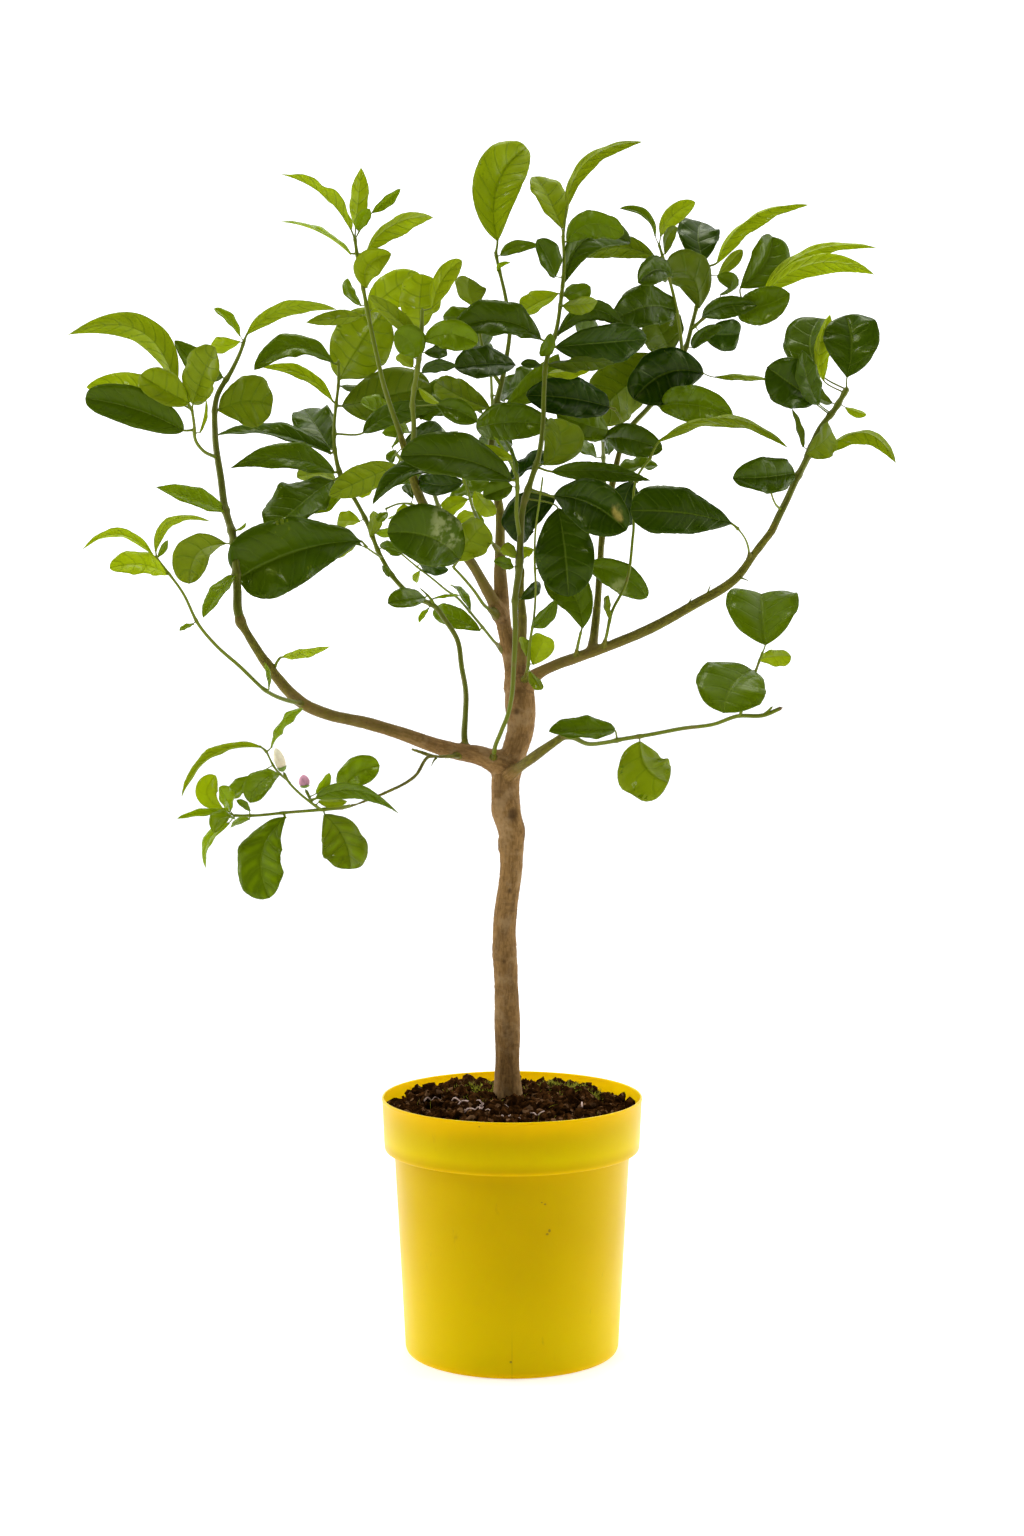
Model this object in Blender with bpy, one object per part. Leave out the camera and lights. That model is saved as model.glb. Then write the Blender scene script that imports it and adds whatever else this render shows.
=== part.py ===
"""A potted citron tree: plastic pot, soil, woody trunk and limbs, leafy green shoots and two flower buds.

The tree's places are written in centimetres as they are seen from the front: across and up on the plane
through the pot's middle, then the depth behind that plane. A point that is given a depth slides along the
line of sight from EYE, so the front outline stays and the crown still reaches forward and back.
"""
import math
import random

import bpy
import numpy as np
from mathutils.bvhtree import BVHTree

CM = 0.01
EYE = np.array((0.0, -2.19, 0.678))
TRUNK_DEPTH = 1.0
DEPTH_SPREAD = 1.4
GAP = 0.0003

POT_HEIGHT = 0.235
POT_WALL = 0.002
POT_FLOOR = 0.003
RIM_RADIUS = 0.120
COLLAR_FOOT_RADIUS = 0.1175
COLLAR_FOOT_HEIGHT = 0.187
NECK_RADIUS = 0.1086
BASE_RADIUS = 0.0987
EDGE_ROUNDING = 0.002
POT_SIDES = 40
DRAIN_RADIUS = 0.006
DRAIN_CIRCLE = 0.055
DRAIN_COUNT = 4

SOIL_EDGE_HEIGHT = 0.2215
SOIL_RISE = 0.006
SOIL_LUMP = 0.0022
SOIL_RINGS = 3

TRUNK_FOOT = (-0.4, 1.2)
TRUNK_FOOT_RADIUS = 0.0145
TRUNK_FOOT_BOTTOM = 0.165
TRUNK_SIDES = 12

BLADE_THICKNESS = 0.0008
PETIOLE_HALF_WIDTH = 0.0009
PETIOLE_THICKNESS = 0.0015
SHORT_PETIOLE = 0.006
# The rows that give a blade its outline, for a short, a middling and a long blade: the place along the blade
# and the share of the full width there. A citron blade is rounded at the base and blunt at the tip.
COARSE_ROWS = [((0.45, 1.1),), ((0.22, 0.94), (0.74, 0.92)), ((0.14, 0.78), (0.46, 1.03), (0.82, 0.8))]
SMALL_BLADE = 0.024
CLEARANCE = 0.0004
EDGE_WAVES = 2.5

# The trunk, the leader above it and each limb: across, up, depth and thickness in centimetres, from the
# root outwards.
TRUNK = [(-0.39, 23.4, 1.2, 2.9), (-0.42, 25.5, 1.2, 2.5), (-0.46, 31.0, 1.1, 2.37), (-0.6, 35.5, 1.0, 2.19),
         (-0.72, 38.6, 1.0, 2.19), (-0.45, 41.8, 1.0, 2.1), (-0.12, 44.5, 1.0, 2.12), (-0.1, 47.6, 1.0, 2.4),
         (-0.45, 50.0, 1.0, 2.5), (-0.55, 52.8, 1.0, 2.7), (0.2, 55.2, 1.0, 2.4), (0.7, 57.0, 1.0, 2.4),
         (0.75, 60.0, 1.1, 2.6), (0.6, 62.2, 1.1, 2.3)]
LEADER = [(0.5, 61.0, 1.3, 1.8), (-0.1, 63.5, 1.4, 1.5), (-0.6, 66.0, 1.5, 1.4), (-0.9, 68.0, 1.6, 1.4),
          (-1.05, 71.0, 1.7, 1.2), (-1.1, 74.0, 1.8, 1.0), (-1.1, 77.0, 1.8, 0.88), (-1.6, 79.8, 1.7, 0.8),
          (-1.9, 82.0, 1.6, 0.7)]
LIMBS = [
    [(-0.9, 54.1, 0.9, 2.0), (-3.0, 54.9, 0.7, 1.7), (-5.0, 55.3, 0.5, 1.6), (-7.5, 56.0, 0.2, 1.4),
     (-10.0, 56.9, 0.0, 1.25), (-13.0, 57.8, -0.3, 1.15), (-17.2, 58.8, -0.6, 1.05),
     (-18.8, 59.5, -0.8, 1.1), (-21.8, 62.5, -0.9, 0.95), (-23.5, 65.0, -1.0, 0.85),
     (-24.6, 66.9, -1.0, 0.9)],
    [(-1.0, 67.6, 1.4, 1.2), (-2.3, 70.0, 0.6, 1.1), (-3.6, 72.3, -0.3, 1.0), (-5.5, 74.8, -1.4, 0.95),
     (-7.6, 77.0, -2.4, 0.9), (-8.6, 79.0, -3.0, 0.85), (-9.2, 81.0, -3.6, 0.8), (-9.8, 83.0, -4.0, 0.72)],
    [(1.0, 61.2, 1.0, 1.5), (2.4, 62.4, 0.4, 1.2), (4.0, 63.2, -0.2, 1.1), (6.0, 63.9, -0.9, 1.05),
     (8.0, 64.6, -1.4, 1.0), (12.2, 66.3, -2.4, 0.9), (16.6, 68.7, -3.2, 0.85), (20.4, 71.1, -3.6, 0.8),
     (22.2, 73.5, -3.8, 0.75), (23.6, 75.3, -3.9, 0.8)],
    [(7.3, 64.4, -1.2, 0.8), (7.8, 69.0, 0.2, 0.75), (8.0, 72.0, 1.0, 0.72), (8.2, 75.0, 1.6, 0.68),
     (8.8, 78.0, 2.1, 0.65), (9.4, 81.0, 2.6, 0.62), (9.8, 82.8, 2.9, 0.58)],
    [(-0.2, 53.2, 0.2, 1.0), (2.0, 54.8, -1.2, 0.95), (4.7, 56.7, -2.4, 0.8)],
    [(0.6, 61.6, 1.2, 1.3), (0.8, 65.0, 1.0, 1.1), (0.95, 67.5, 0.7, 0.9), (0.8, 69.8, 0.4, 0.65),
     (1.0, 72.0, 0.1, 0.4)],
    [(-4.8, 54.9, 0.2, 0.4), (-6.5, 54.8, -1.6, 0.4), (-7.6, 54.8, -2.4, 0.4), (-8.8, 53.1, -3.6, 0.38),
     (-11.8, 51.4, -5.4, 0.36), (-14.3, 50.4, -6.6, 0.34)],
    [(-7.2, 54.8, -2.2, 0.36), (-8.3, 55.2, -2.0, 0.34), (-9.2, 55.5, -1.8, 0.3)],
]
THORNS = [((20.4, 71.1, -3.6), (21.7, 70.7, -4.3)), ((17.7, 69.3, -3.3), (18.1, 70.5, -3.9)),
          ((-6.9, 54.7, -1.9), (-7.4, 53.9, -2.2)), ((15.9, 68.3, -3.1), (16.4, 69.3, -3.5))]

# Each shoot: its name, its stems as the limbs above, where the first step of the first stem is the brown
# collar that carries it, and its leaves: base across and up, tip across and up, width, turn of the face from the front
# in degrees (180 shows the underside), sideways bow, depth of the tip behind the base, and tone from 0, dark
# green, to 1, yellow-green.
SHOOTS = [
    ("left_tall", [
        [(-24.6, 66.9, -1.0, 0.9), (-24.9, 67.8, -1.0, 0.85), (-25.0, 70.0, -0.6, 0.78),
         (-25.4, 75.0, 0.2, 0.7), (-26.1, 77.5, 0.8, 0.68), (-26.4, 80.0, 1.4, 0.65), (-26.9, 84.0, 2.2, 0.58),
         (-26.7, 87.5, 3.0, 0.5), (-25.3, 89.9, 3.5, 0.42), (-24.5, 91.6, 3.8, 0.34), (-24.2, 92.5, 4.0, 0.3)],
        [(-26.8, 82.0, 1.8, 0.35), (-28.0, 82.6, 0.4, 0.32), (-28.7, 83.6, -0.6, 0.3),
         (-28.8, 85.0, -1.4, 0.28), (-29.0, 86.4, -1.8, 0.24)],
    ], [
        (-30.4, 88.3, -40.1, 93.0, 2.9, 165, -3.0, 1.0, 0.9),
        (-24.6, 92.9, -26.9, 95.4, 1.2, 35, -0.2, -1.0, 0.8),
        (-24.6, 92.4, -27.3, 92.3, 1.7, 165, 0.4, -2.0, 0.95),
        (-24.0, 93.0, -15.8, 95.4, 1.8, 40, 1.5, -2.5, 0.55),
        (-26.2, 89.2, -30.4, 92.5, 2.5, 15, 0.6, -3.0, 0.1),
        (-29.2, 86.9, -33.6, 89.5, 3.4, 20, 0.3, -1.5, 0.35),
        (-28.9, 86.8, -26.9, 91.9, 3.8, -25, 0.0, -2.0, 0.45),
        (-29.8, 84.4, -38.6, 87.2, 3.9, 10, -0.4, -2.0, 0.1),
        (-31.0, 87.4, -38.5, 88.3, 2.8, 175, -0.4, 2.5, 0.9),
        (-26.6, 86.2, -21.8, 86.6, 5.0, 0, 0.6, 2.5, 0.5),
        (-28.3, 84.2, -27.6, 87.2, 0.8, 120, 0.1, 0.5, 0.8),
        (-26.1, 77.2, -32.4, 79.2, 2.4, 35, 0.1, -3.0, 0.3),
        (-26.0, 74.2, -29.4, 70.6, 3.9, 152, -1.2, 1.5, 0.85),
        (-25.1, 75.4, -24.2, 76.1, 0.6, 60, 0.0, -0.6, 0.8),
        (-25.2, 71.4, -28.2, 67.7, 1.8, 40, 0.0, -3.0, 0.4),
    ]),
    ("left_spray", [
        [(-18.9, 59.6, -0.8, 0.5), (-19.9, 59.8, -1.8, 0.4), (-22.1, 60.6, -3.8, 0.35),
         (-25.0, 63.2, -6.0, 0.33), (-27.0, 65.0, -7.2, 0.3), (-28.5, 66.8, -8.0, 0.28),
         (-30.0, 69.8, -8.8, 0.24), (-31.3, 71.6, -9.2, 0.22), (-32.4, 73.0, -9.4, 0.2)],
    ], [
        (-32.4, 73.5, -27.6, 76.0, 1.1, 40, 1.9, -2.0, 0.7),
        (-32.7, 73.2, -39.0, 73.7, 1.1, 140, -1.3, -2.0, 0.75),
        (-31.4, 71.4, -36.6, 71.9, 2.4, 30, -0.5, -2.0, 0.5),
        (-32.2, 73.0, -31.3, 74.5, 0.7, 20, 0.0, 1.0, 0.5),
        (-22.2, 60.9, -22.6, 63.4, 0.8, 60, 0.1, -1.5, 0.6),
        (-29.0, 66.9, -30.3, 66.3, 0.6, 40, 0.0, -0.5, 0.6),
    ]),
    ("limb_sprig", [
        [(-21.7, 62.6, -0.9, 0.4), (-21.5, 63.3, -1.1, 0.26), (-21.1, 63.9, -1.3, 0.2)],
    ], [
        (-20.9, 63.9, -16.6, 64.9, 1.2, 45, 0.2, -3.0, 0.6),
    ]),
    ("left_middle", [
        [(-4.3, 55.6, 0.7, 0.7), (-4.35, 56.7, 0.9, 0.58), (-4.25, 58.5, 1.4, 0.52), (-4.2, 60.6, 1.9, 0.5),
         (-4.6, 63.0, 2.6, 0.5), (-5.0, 65.5, 3.3, 0.48), (-6.1, 67.3, 4.0, 0.48), (-7.0, 68.5, 4.5, 0.5),
         (-9.0, 69.4, 5.2, 0.45), (-10.6, 70.9, 5.8, 0.45), (-12.0, 73.2, 6.4, 0.42),
         (-13.2, 76.2, 6.9, 0.42), (-14.4, 78.4, 7.3, 0.42), (-15.4, 80.0, 7.6, 0.48),
         (-16.0, 82.2, 7.9, 0.4), (-16.1, 85.0, 8.2, 0.34), (-15.9, 87.0, 8.3, 0.3),
         (-15.7, 88.8, 8.3, 0.28), (-15.7, 90.8, 8.2, 0.24)],
        [(-11.8, 72.9, 6.3, 0.22), (-12.6, 73.4, 5.0, 0.2), (-13.3, 73.9, 3.6, 0.18)],
        [(-7.0, 68.5, 4.5, 0.3), (-7.4, 69.2, 4.4, 0.22), (-8.4, 70.2, 4.2, 0.12)],
    ], [
        (-7.9, 69.3, -11.3, 68.8, 2.4, 20, 0.0, -3.0, 0.5),
        (-7.2, 69.2, -4.7, 69.4, 0.8, 60, 0.4, 1.0, 0.6),
        (-7.6, 68.3, -8.5, 67.1, 0.7, 40, 0.0, -1.0, 0.8),
        (-11.2, 71.2, -11.8, 72.2, 0.8, 30, 0.0, -1.0, 0.3),
        (-13.6, 74.4, -25.0, 71.0, 6.2, 5, -0.8, -4.0, 0.1),
        (-13.7, 74.0, -17.9, 75.2, 1.7, 30, -0.4, -2.0, 0.15),
        (-14.2, 74.1, -17.0, 72.8, 1.7, 150, 0.0, 2.0, 0.5),
        (-16.2, 79.9, -21.9, 75.0, 5.4, 35, 0.0, -4.0, 0.2),
        (-15.4, 79.2, -18.2, 77.1, 1.7, 30, 0.6, -1.0, 0.6),
        (-16.0, 79.9, -19.5, 80.2, 2.3, 150, -0.3, 2.5, 0.85),
        (-16.1, 80.6, -25.6, 81.0, 2.9, 25, -1.0, -4.0, 0.1),
        (-16.4, 82.3, -27.3, 84.2, 2.8, 50, -0.6, 1.5, 0.15),
        (-16.4, 82.7, -18.9, 86.6, 4.1, 10, 0.0, 4.0, 0.5),
        (-16.2, 87.0, -22.6, 90.1, 1.4, 30, -1.0, -1.0, 0.75),
        (-16.1, 90.4, -23.3, 89.8, 2.6, 30, -1.7, -2.5, 0.1),
        (-15.6, 89.0, -11.4, 95.2, 6.4, 175, 0.3, 2.0, 0.9),
        (-13.8, 76.2, -15.9, 76.3, 1.9, 150, 0.0, -1.5, 0.8),
        (-12.9, 74.8, -12.4, 77.1, 1.5, 150, 0.0, -2.0, 0.5),
        (-12.5, 75.2, -9.3, 75.6, 1.1, 30, 0.0, -2.0, 0.85),
        (-14.2, 78.6, -12.7, 79.4, 1.2, 150, 0.0, 0.5, 0.9),
        (-15.4, 86.6, -7.4, 88.4, 6.0, 175, 0.0, 1.0, 0.6),
        (-15.5, 88.4, -12.9, 88.4, 1.0, 140, 0.0, 2.0, 0.2),
        (-13.5, 84.2, -6.3, 86.6, 2.2, 10, 0.9, -4.0, 0.05),
        (-11.6, 73.9, -10.0, 73.3, 1.0, 20, 0.0, -1.0, 0.3),
    ]),
    ("low_left", [
        [(-14.3, 50.4, -6.6, 0.34), (-15.2, 50.2, -7.2, 0.32), (-18.0, 49.9, -8.4, 0.28),
         (-20.5, 49.7, -9.2, 0.26), (-23.7, 49.4, -10.0, 0.24), (-25.6, 49.4, -10.4, 0.22)],
        [(-17.4, 49.9, -8.2, 0.24), (-18.4, 50.6, -8.8, 0.22), (-19.5, 51.5, -9.2, 0.22),
         (-20.5, 52.6, -9.5, 0.22), (-20.9, 53.4, -9.6, 0.3)],
        [(-18.3, 50.5, -8.7, 0.2), (-18.6, 51.2, -8.4, 0.22), (-18.9, 51.8, -8.2, 0.34)],
        [(-20.3, 52.4, -9.4, 0.2), (-21.7, 53.8, -8.6, 0.18), (-22.5, 55.4, -8.4, 0.16)],
    ], [
        (-22.9, 55.7, -30.5, 51.3, 1.3, 55, -1.1, -2.0, 0.6),
        (-22.0, 55.6, -19.0, 59.1, 1.5, 60, 0.9, 1.5, 0.7),
        (-21.2, 53.2, -24.0, 50.5, 2.4, 15, -0.6, -2.5, 0.4),
        (-23.6, 53.0, -25.6, 51.2, 1.7, 20, 0.0, 0.5, 0.6),
        (-26.4, 50.0, -27.1, 53.1, 2.1, 0, 1.1, 0.5, 0.8),
        (-25.8, 49.8, -26.8, 52.0, 1.7, 35, 0.0, -2.0, 0.2),
        (-26.3, 49.7, -30.6, 49.0, 1.0, 40, 0.0, -1.0, 0.7),
        (-25.4, 49.1, -27.3, 47.8, 1.7, 35, -0.6, -2.0, 0.35),
        (-25.9, 48.7, -28.0, 44.6, 1.2, 45, -0.8, 1.0, 0.8),
        (-24.0, 49.1, -25.8, 48.3, 0.8, 40, 0.0, 1.5, 0.6),
        (-20.7, 49.3, -22.4, 41.8, 4.3, 25, -1.2, -2.0, 0.45),
        (-17.2, 49.5, -14.8, 44.5, 4.3, 165, 0.6, -1.0, 0.7),
        (-17.9, 51.0, -10.3, 49.7, 1.6, 25, 1.4, -3.0, 0.3),
        (-17.7, 50.7, -15.1, 50.7, 1.1, 150, 0.0, 0.5, 0.6),
        (-15.7, 51.3, -12.1, 54.0, 2.8, -12, 0.6, -1.5, 0.4),
        (-17.9, 51.4, -16.7, 53.3, 1.0, 30, 0.0, -1.0, 0.6),
        (-24.0, 49.8, -25.2, 50.8, 0.8, 30, 0.0, -1.0, 0.5),
    ]),
    ("upper_left", [
        [(-9.8, 83.0, -4.0, 0.72), (-10.2, 84.3, -4.2, 0.5), (-10.9, 86.3, -4.4, 0.45),
         (-11.6, 88.5, -4.6, 0.42), (-12.2, 91.0, -4.8, 0.38), (-12.8, 93.8, -5.0, 0.36),
         (-13.3, 96.5, -5.1, 0.33), (-13.8, 99.0, -5.1, 0.3), (-14.2, 101.8, -5.0, 0.28)],
    ], [
        (-14.5, 102.4, -20.7, 107.3, 2.3, 120, -0.4, -1.5, 0.8),
        (-14.5, 100.2, -20.8, 103.1, 1.3, 70, -0.1, 0.5, 0.7),
        (-14.1, 102.6, -13.6, 107.9, 1.8, 162, 0.0, 1.5, 0.7),
        (-13.8, 102.3, -12.8, 104.2, 1.3, 20, 0.3, -1.5, 0.6),
        (-12.6, 103.9, -10.0, 106.0, 1.1, 30, 0.1, 1.0, 0.6),
        (-13.2, 100.3, -6.9, 103.3, 2.1, 150, 1.3, -2.0, 0.75),
        (-13.1, 97.2, -10.9, 100.2, 2.8, 5, 1.1, -1.5, 0.5),
        (-12.8, 95.1, -8.3, 98.3, 3.4, 175, 0.4, 1.5, 0.95),
        (-13.6, 95.6, -14.8, 98.1, 1.2, 30, 0.6, 1.0, 0.6),
        (-13.6, 94.7, -18.6, 94.1, 1.4, 170, 0.0, 1.0, 0.1),
    ]),
    ("crown_left", [
        [(-9.6, 82.0, -3.8, 0.72), (-9.0, 83.4, -4.9, 0.5), (-8.9, 85.0, -5.6, 0.45), (-9.0, 87.0, -6.2, 0.42),
         (-8.7, 89.0, -6.7, 0.42), (-8.4, 91.0, -7.1, 0.4), (-8.2, 93.0, -7.4, 0.35), (-8.1, 95.4, -7.6, 0.26)],
    ], [
        (-8.2, 93.6, -8.0, 98.4, 3.8, 170, 0.3, 1.5, 0.9),
        (-8.6, 92.8, -12.9, 96.5, 1.6, 155, 0.0, -1.5, 0.2),
        (-8.9, 90.9, -10.6, 93.2, 2.8, 5, -0.6, -2.0, 0.5),
        (-9.0, 90.1, -10.4, 91.2, 1.6, 150, 0.0, -1.5, 0.95),
        (-7.9, 91.4, -5.8, 91.7, 1.3, 10, 0.0, 1.5, 0.05),
        (-7.9, 92.4, -3.2, 92.2, 2.8, 10, 0.8, -1.5, 0.45),
        (-8.1, 89.6, -5.0, 90.3, 1.4, 30, 0.5, -2.0, 0.4),
        (-8.4, 88.2, -6.6, 86.8, 0.9, 150, 0.0, -1.0, 0.7),
        (-6.8, 86.7, -3.1, 85.2, 2.3, 10, 0.3, -1.5, 0.35),
        (-7.2, 95.4, -4.6, 99.6, 1.9, 15, 0.6, 1.0, 0.3),
    ]),
    ("leader_top", [
        [(-1.9, 82.0, 1.6, 0.7), (-1.85, 83.2, 1.6, 0.62), (-1.6, 86.0, 1.5, 0.58), (-1.0, 88.5, 1.3, 0.5),
         (-0.5, 91.0, 1.2, 0.42), (-0.2, 93.5, 1.0, 0.38), (-0.6, 96.5, 0.9, 0.34), (-1.2, 99.0, 0.8, 0.3),
         (-1.5, 100.4, 0.8, 0.28)],
        [(-1.0, 88.5, 1.3, 0.38), (-2.2, 90.5, 0.4, 0.34), (-2.8, 92.5, 0.1, 0.3), (-3.0, 95.0, 0.0, 0.28)],
    ], [
        (-1.3, 101.4, 1.4, 109.8, 5.0, -5, 1.5, 1.5, 0.3),
        (-1.0, 100.1, 2.3, 100.9, 1.3, 10, 0.5, -1.5, 0.7),
        (-3.1, 95.4, -3.8, 98.1, 3.3, 150, 0.5, -1.5, 0.1),
        (-3.4, 94.4, -6.3, 94.7, 1.9, 20, 0.0, 0.5, 0.3),
        (-3.1, 91.8, -6.9, 92.5, 1.8, 30, 0.0, 2.0, 0.4),
        (0.3, 90.3, -5.2, 90.0, 3.4, 20, -0.2, -4.0, 0.1),
        (-2.0, 86.4, -7.0, 88.9, 2.8, 165, 0.3, -3.0, 0.92),
        (-3.2, 84.6, 3.4, 84.9, 3.6, -10, 0.3, -4.0, 0.3),
        (-0.5, 86.8, 4.2, 91.2, 2.6, 5, -0.5, -2.5, 0.4),
        (-1.3, 98.7, -0.2, 99.4, 0.6, 30, 0.4, -1.0, 0.9),
    ]),
    ("front", [
        [(-1.7, 54.6, 0.2, 0.5), (-1.6, 55.5, -0.6, 0.4), (-0.95, 57.2, -1.8, 0.4), (-0.35, 58.7, -2.3, 0.4),
         (0.0, 60.5, -2.6, 0.42), (0.15, 63.0, -2.9, 0.45), (0.3, 66.5, -3.2, 0.5), (0.3, 69.3, -3.4, 0.55),
         (0.6, 71.5, -3.5, 0.62), (0.75, 74.5, -3.6, 0.62), (1.0, 77.5, -3.7, 0.58), (1.7, 79.8, -3.7, 0.52),
         (2.4, 82.0, -3.6, 0.48), (2.8, 85.0, -3.3, 0.45), (2.9, 88.0, -3.0, 0.42), (3.2, 91.0, -2.7, 0.4),
         (3.9, 93.0, -2.4, 0.38), (4.4, 96.0, -2.1, 0.34), (4.7, 99.5, -1.8, 0.3), (4.6, 102.0, -1.6, 0.26)],
        [(0.7, 74.8, -3.6, 0.42), (0.4, 77.0, -4.6, 0.38), (0.5, 79.5, -5.2, 0.35), (0.2, 81.8, -5.6, 0.3)],
    ], [
        (4.5, 102.5, 2.2, 107.3, 3.5, 40, 0.0, 1.5, 0.6),
        (4.9, 104.2, 11.7, 110.2, 1.7, 150, 2.2, 1.0, 0.8),
        (3.9, 98.2, 2.3, 101.5, 2.8, 30, 0.0, -2.0, 0.1),
        (5.0, 101.3, 10.1, 102.0, 2.7, 15, 1.4, -2.0, 0.35),
        (4.6, 97.4, 10.5, 101.2, 3.5, -5, 2.3, 2.0, 0.15),
        (4.2, 96.7, 0.9, 95.1, 2.4, 160, 0.0, -1.5, 0.8),
        (4.7, 96.5, 7.0, 97.2, 2.0, 20, 0.0, -2.5, 0.3),
        (4.6, 95.6, 7.6, 96.0, 1.7, 160, 0.0, -4.0, 0.95),
        (2.6, 92.6, -5.2, 93.6, 3.7, 28, -0.9, -3.0, 0.08),
        (3.9, 91.9, 12.4, 92.5, 4.0, 15, 0.2, 2.5, 0.1),
        (4.1, 92.9, 10.1, 93.6, 2.0, 15, 2.1, -2.0, 0.3),
        (3.2, 90.3, 9.4, 90.3, 1.8, 140, 0.5, -3.0, 0.05),
        (3.2, 89.5, 7.5, 90.2, 1.4, 150, 0.0, 1.0, 0.95),
        (2.8, 91.1, 3.5, 93.0, 1.4, 20, 0.0, -2.5, 0.6),
        (2.6, 90.3, 0.8, 90.4, 0.9, 20, 0.0, -1.0, 0.1),
        (2.9, 81.3, 3.7, 85.3, 4.1, 165, -1.0, -3.0, 1.0),
        (3.6, 80.7, 12.6, 79.9, 1.9, 15, 0.5, -2.0, 0.15),
        (3.8, 78.5, 10.3, 75.4, 5.1, 2, 0.8, -3.5, 0.1),
        (4.2, 77.4, 5.1, 69.4, 5.4, 4, 0.2, -1.0, 0.1),
        (3.9, 78.2, 0.9, 74.2, 3.8, 16, -1.2, 3.0, 0.0),
        (0.0, 79.4, -2.6, 78.5, 2.0, 10, 0.0, -1.0, 0.02),
        (0.0, 79.9, -10.1, 82.2, 4.4, 20, -0.7, -3.0, 0.08),
        (0.5, 80.3, -0.8, 83.9, 0.8, 60, 0.0, -2.0, 0.7),
        (0.4, 80.0, -1.7, 83.8, 0.8, 70, 0.0, 1.0, 0.7),
        (0.1, 81.9, -3.5, 82.9, 1.5, 160, 0.2, 1.0, 0.8),
        (0.2, 80.5, -1.5, 82.2, 1.0, 120, 0.0, 2.0, 0.6),
        (0.1, 72.1, -1.6, 72.6, 1.3, 20, 0.0, -2.0, 0.4),
        (0.4, 72.9, -0.9, 74.0, 1.3, 160, 0.0, -0.5, 0.85),
        (1.0, 72.6, 2.0, 73.7, 1.4, 160, 0.6, 1.0, 0.85),
        (0.8, 69.2, 2.7, 70.7, 1.3, 20, 0.0, 2.0, 0.05),
    ]),
    ("slender", [
        [(1.2, 61.9, 0.3, 0.6), (1.45, 63.0, -0.9, 0.3), (1.6, 65.0, -1.6, 0.26), (2.0, 67.5, -2.6, 0.22),
         (2.15, 70.0, -3.6, 0.2), (2.05, 73.0, -4.6, 0.2), (2.15, 75.5, -5.2, 0.18), (2.5, 78.0, -5.8, 0.18),
         (2.8, 80.3, -6.2, 0.16)],
    ], [
        (1.9, 63.2, 3.0, 65.8, 2.5, 175, 0.0, -1.0, 0.85),
        (2.0, 66.6, 4.0, 69.0, 1.8, 20, 0.0, -1.5, 0.3),
        (2.3, 71.9, 3.3, 74.9, 1.6, 140, 0.0, -1.5, 0.3),
        (1.6, 62.6, 2.7, 61.0, 1.2, 150, 0.0, -1.5, 0.8),
        (1.3, 64.0, 0.9, 65.8, 1.0, 150, 0.0, -0.5, 0.85),
    ]),
    ("right_inner", [
        [(8.0, 72.0, 1.0, 0.6), (7.4, 72.3, 0.2, 0.28), (6.9, 72.4, -0.3, 0.22), (6.4, 72.4, -0.6, 0.2)],
    ], [
        (6.8, 72.1, 12.3, 69.3, 3.3, 25, 0.9, -2.0, 0.2),
        (6.2, 72.6, 5.4, 74.4, 1.6, 30, 0.0, 1.0, 0.3),
    ]),
    ("right_leaf", [
        [(5.8, 63.9, -0.9, 0.7), (6.0, 65.0, -1.9, 0.3), (6.3, 66.3, -2.6, 0.22)],
    ], [
        (6.4, 66.5, 3.0, 71.3, 3.7, 10, -1.0, 0.5, 0.25),
    ]),
    ("inner_left", [
        [(-0.9, 64.6, 1.4, 0.8), (-1.6, 65.3, 2.6, 0.3), (-2.5, 66.4, 4.0, 0.28), (-4.0, 68.2, 6.0, 0.26),
         (-5.0, 69.3, 7.4, 0.24), (-6.0, 70.0, 8.4, 0.22), (-7.2, 71.0, 9.4, 0.2), (-8.9, 72.3, 10.6, 0.18),
         (-10.2, 73.4, 11.4, 0.16)],
    ], [
        (-2.9, 66.3, -7.2, 68.3, 2.2, 15, 0.0, 2.0, 0.45),
        (-8.4, 72.4, -5.8, 71.8, 1.5, 20, 0.0, -2.0, 0.2),
        (-8.4, 71.7, -8.8, 70.7, 0.9, 150, 0.0, -1.0, 0.9),
        (-10.3, 73.5, -12.0, 74.2, 1.1, 20, 0.0, 1.0, 0.3),
        (-3.8, 68.2, -5.6, 70.6, 1.2, 40, 0.0, 3.0, 0.4),
    ]),
    ("low_crown", [
        [(-1.1, 67.5, 1.5, 1.2), (-2.4, 68.5, -0.3, 0.32), (-3.5, 70.0, -1.8, 0.28), (-5.0, 71.7, -3.2, 0.24),
         (-5.4, 72.1, -3.5, 0.22)],
    ], [
        (-4.8, 72.8, -11.3, 75.2, 5.5, 12, -0.8, -3.5, 0.1),
        (-5.2, 72.6, -2.5, 76.0, 3.5, 160, 0.2, -2.0, 0.55),
    ]),
    ("mid_crown", [
        [(-1.1, 73.4, 1.7, 0.9), (-1.9, 74.4, 0.2, 0.3), (-2.5, 75.5, -1.4, 0.28), (-3.6, 77.5, -3.8, 0.26),
         (-4.0, 79.0, -5.0, 0.24), (-4.5, 80.3, -5.8, 0.22)],
    ], [
        (-5.2, 80.7, -12.7, 77.8, 2.4, 42, -1.1, -2.5, 0.2),
        (-4.4, 79.8, -8.4, 80.1, 2.1, 5, 0.5, 2.5, 0.02),
        (-3.4, 78.9, -1.7, 76.8, 1.7, 160, 0.0, -2.5, 0.95),
        (-4.0, 78.2, -6.1, 77.1, 1.9, 160, 0.0, -1.0, 0.9),
        (-3.4, 76.9, -5.0, 76.2, 1.3, 150, 0.0, 1.5, 0.95),
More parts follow.
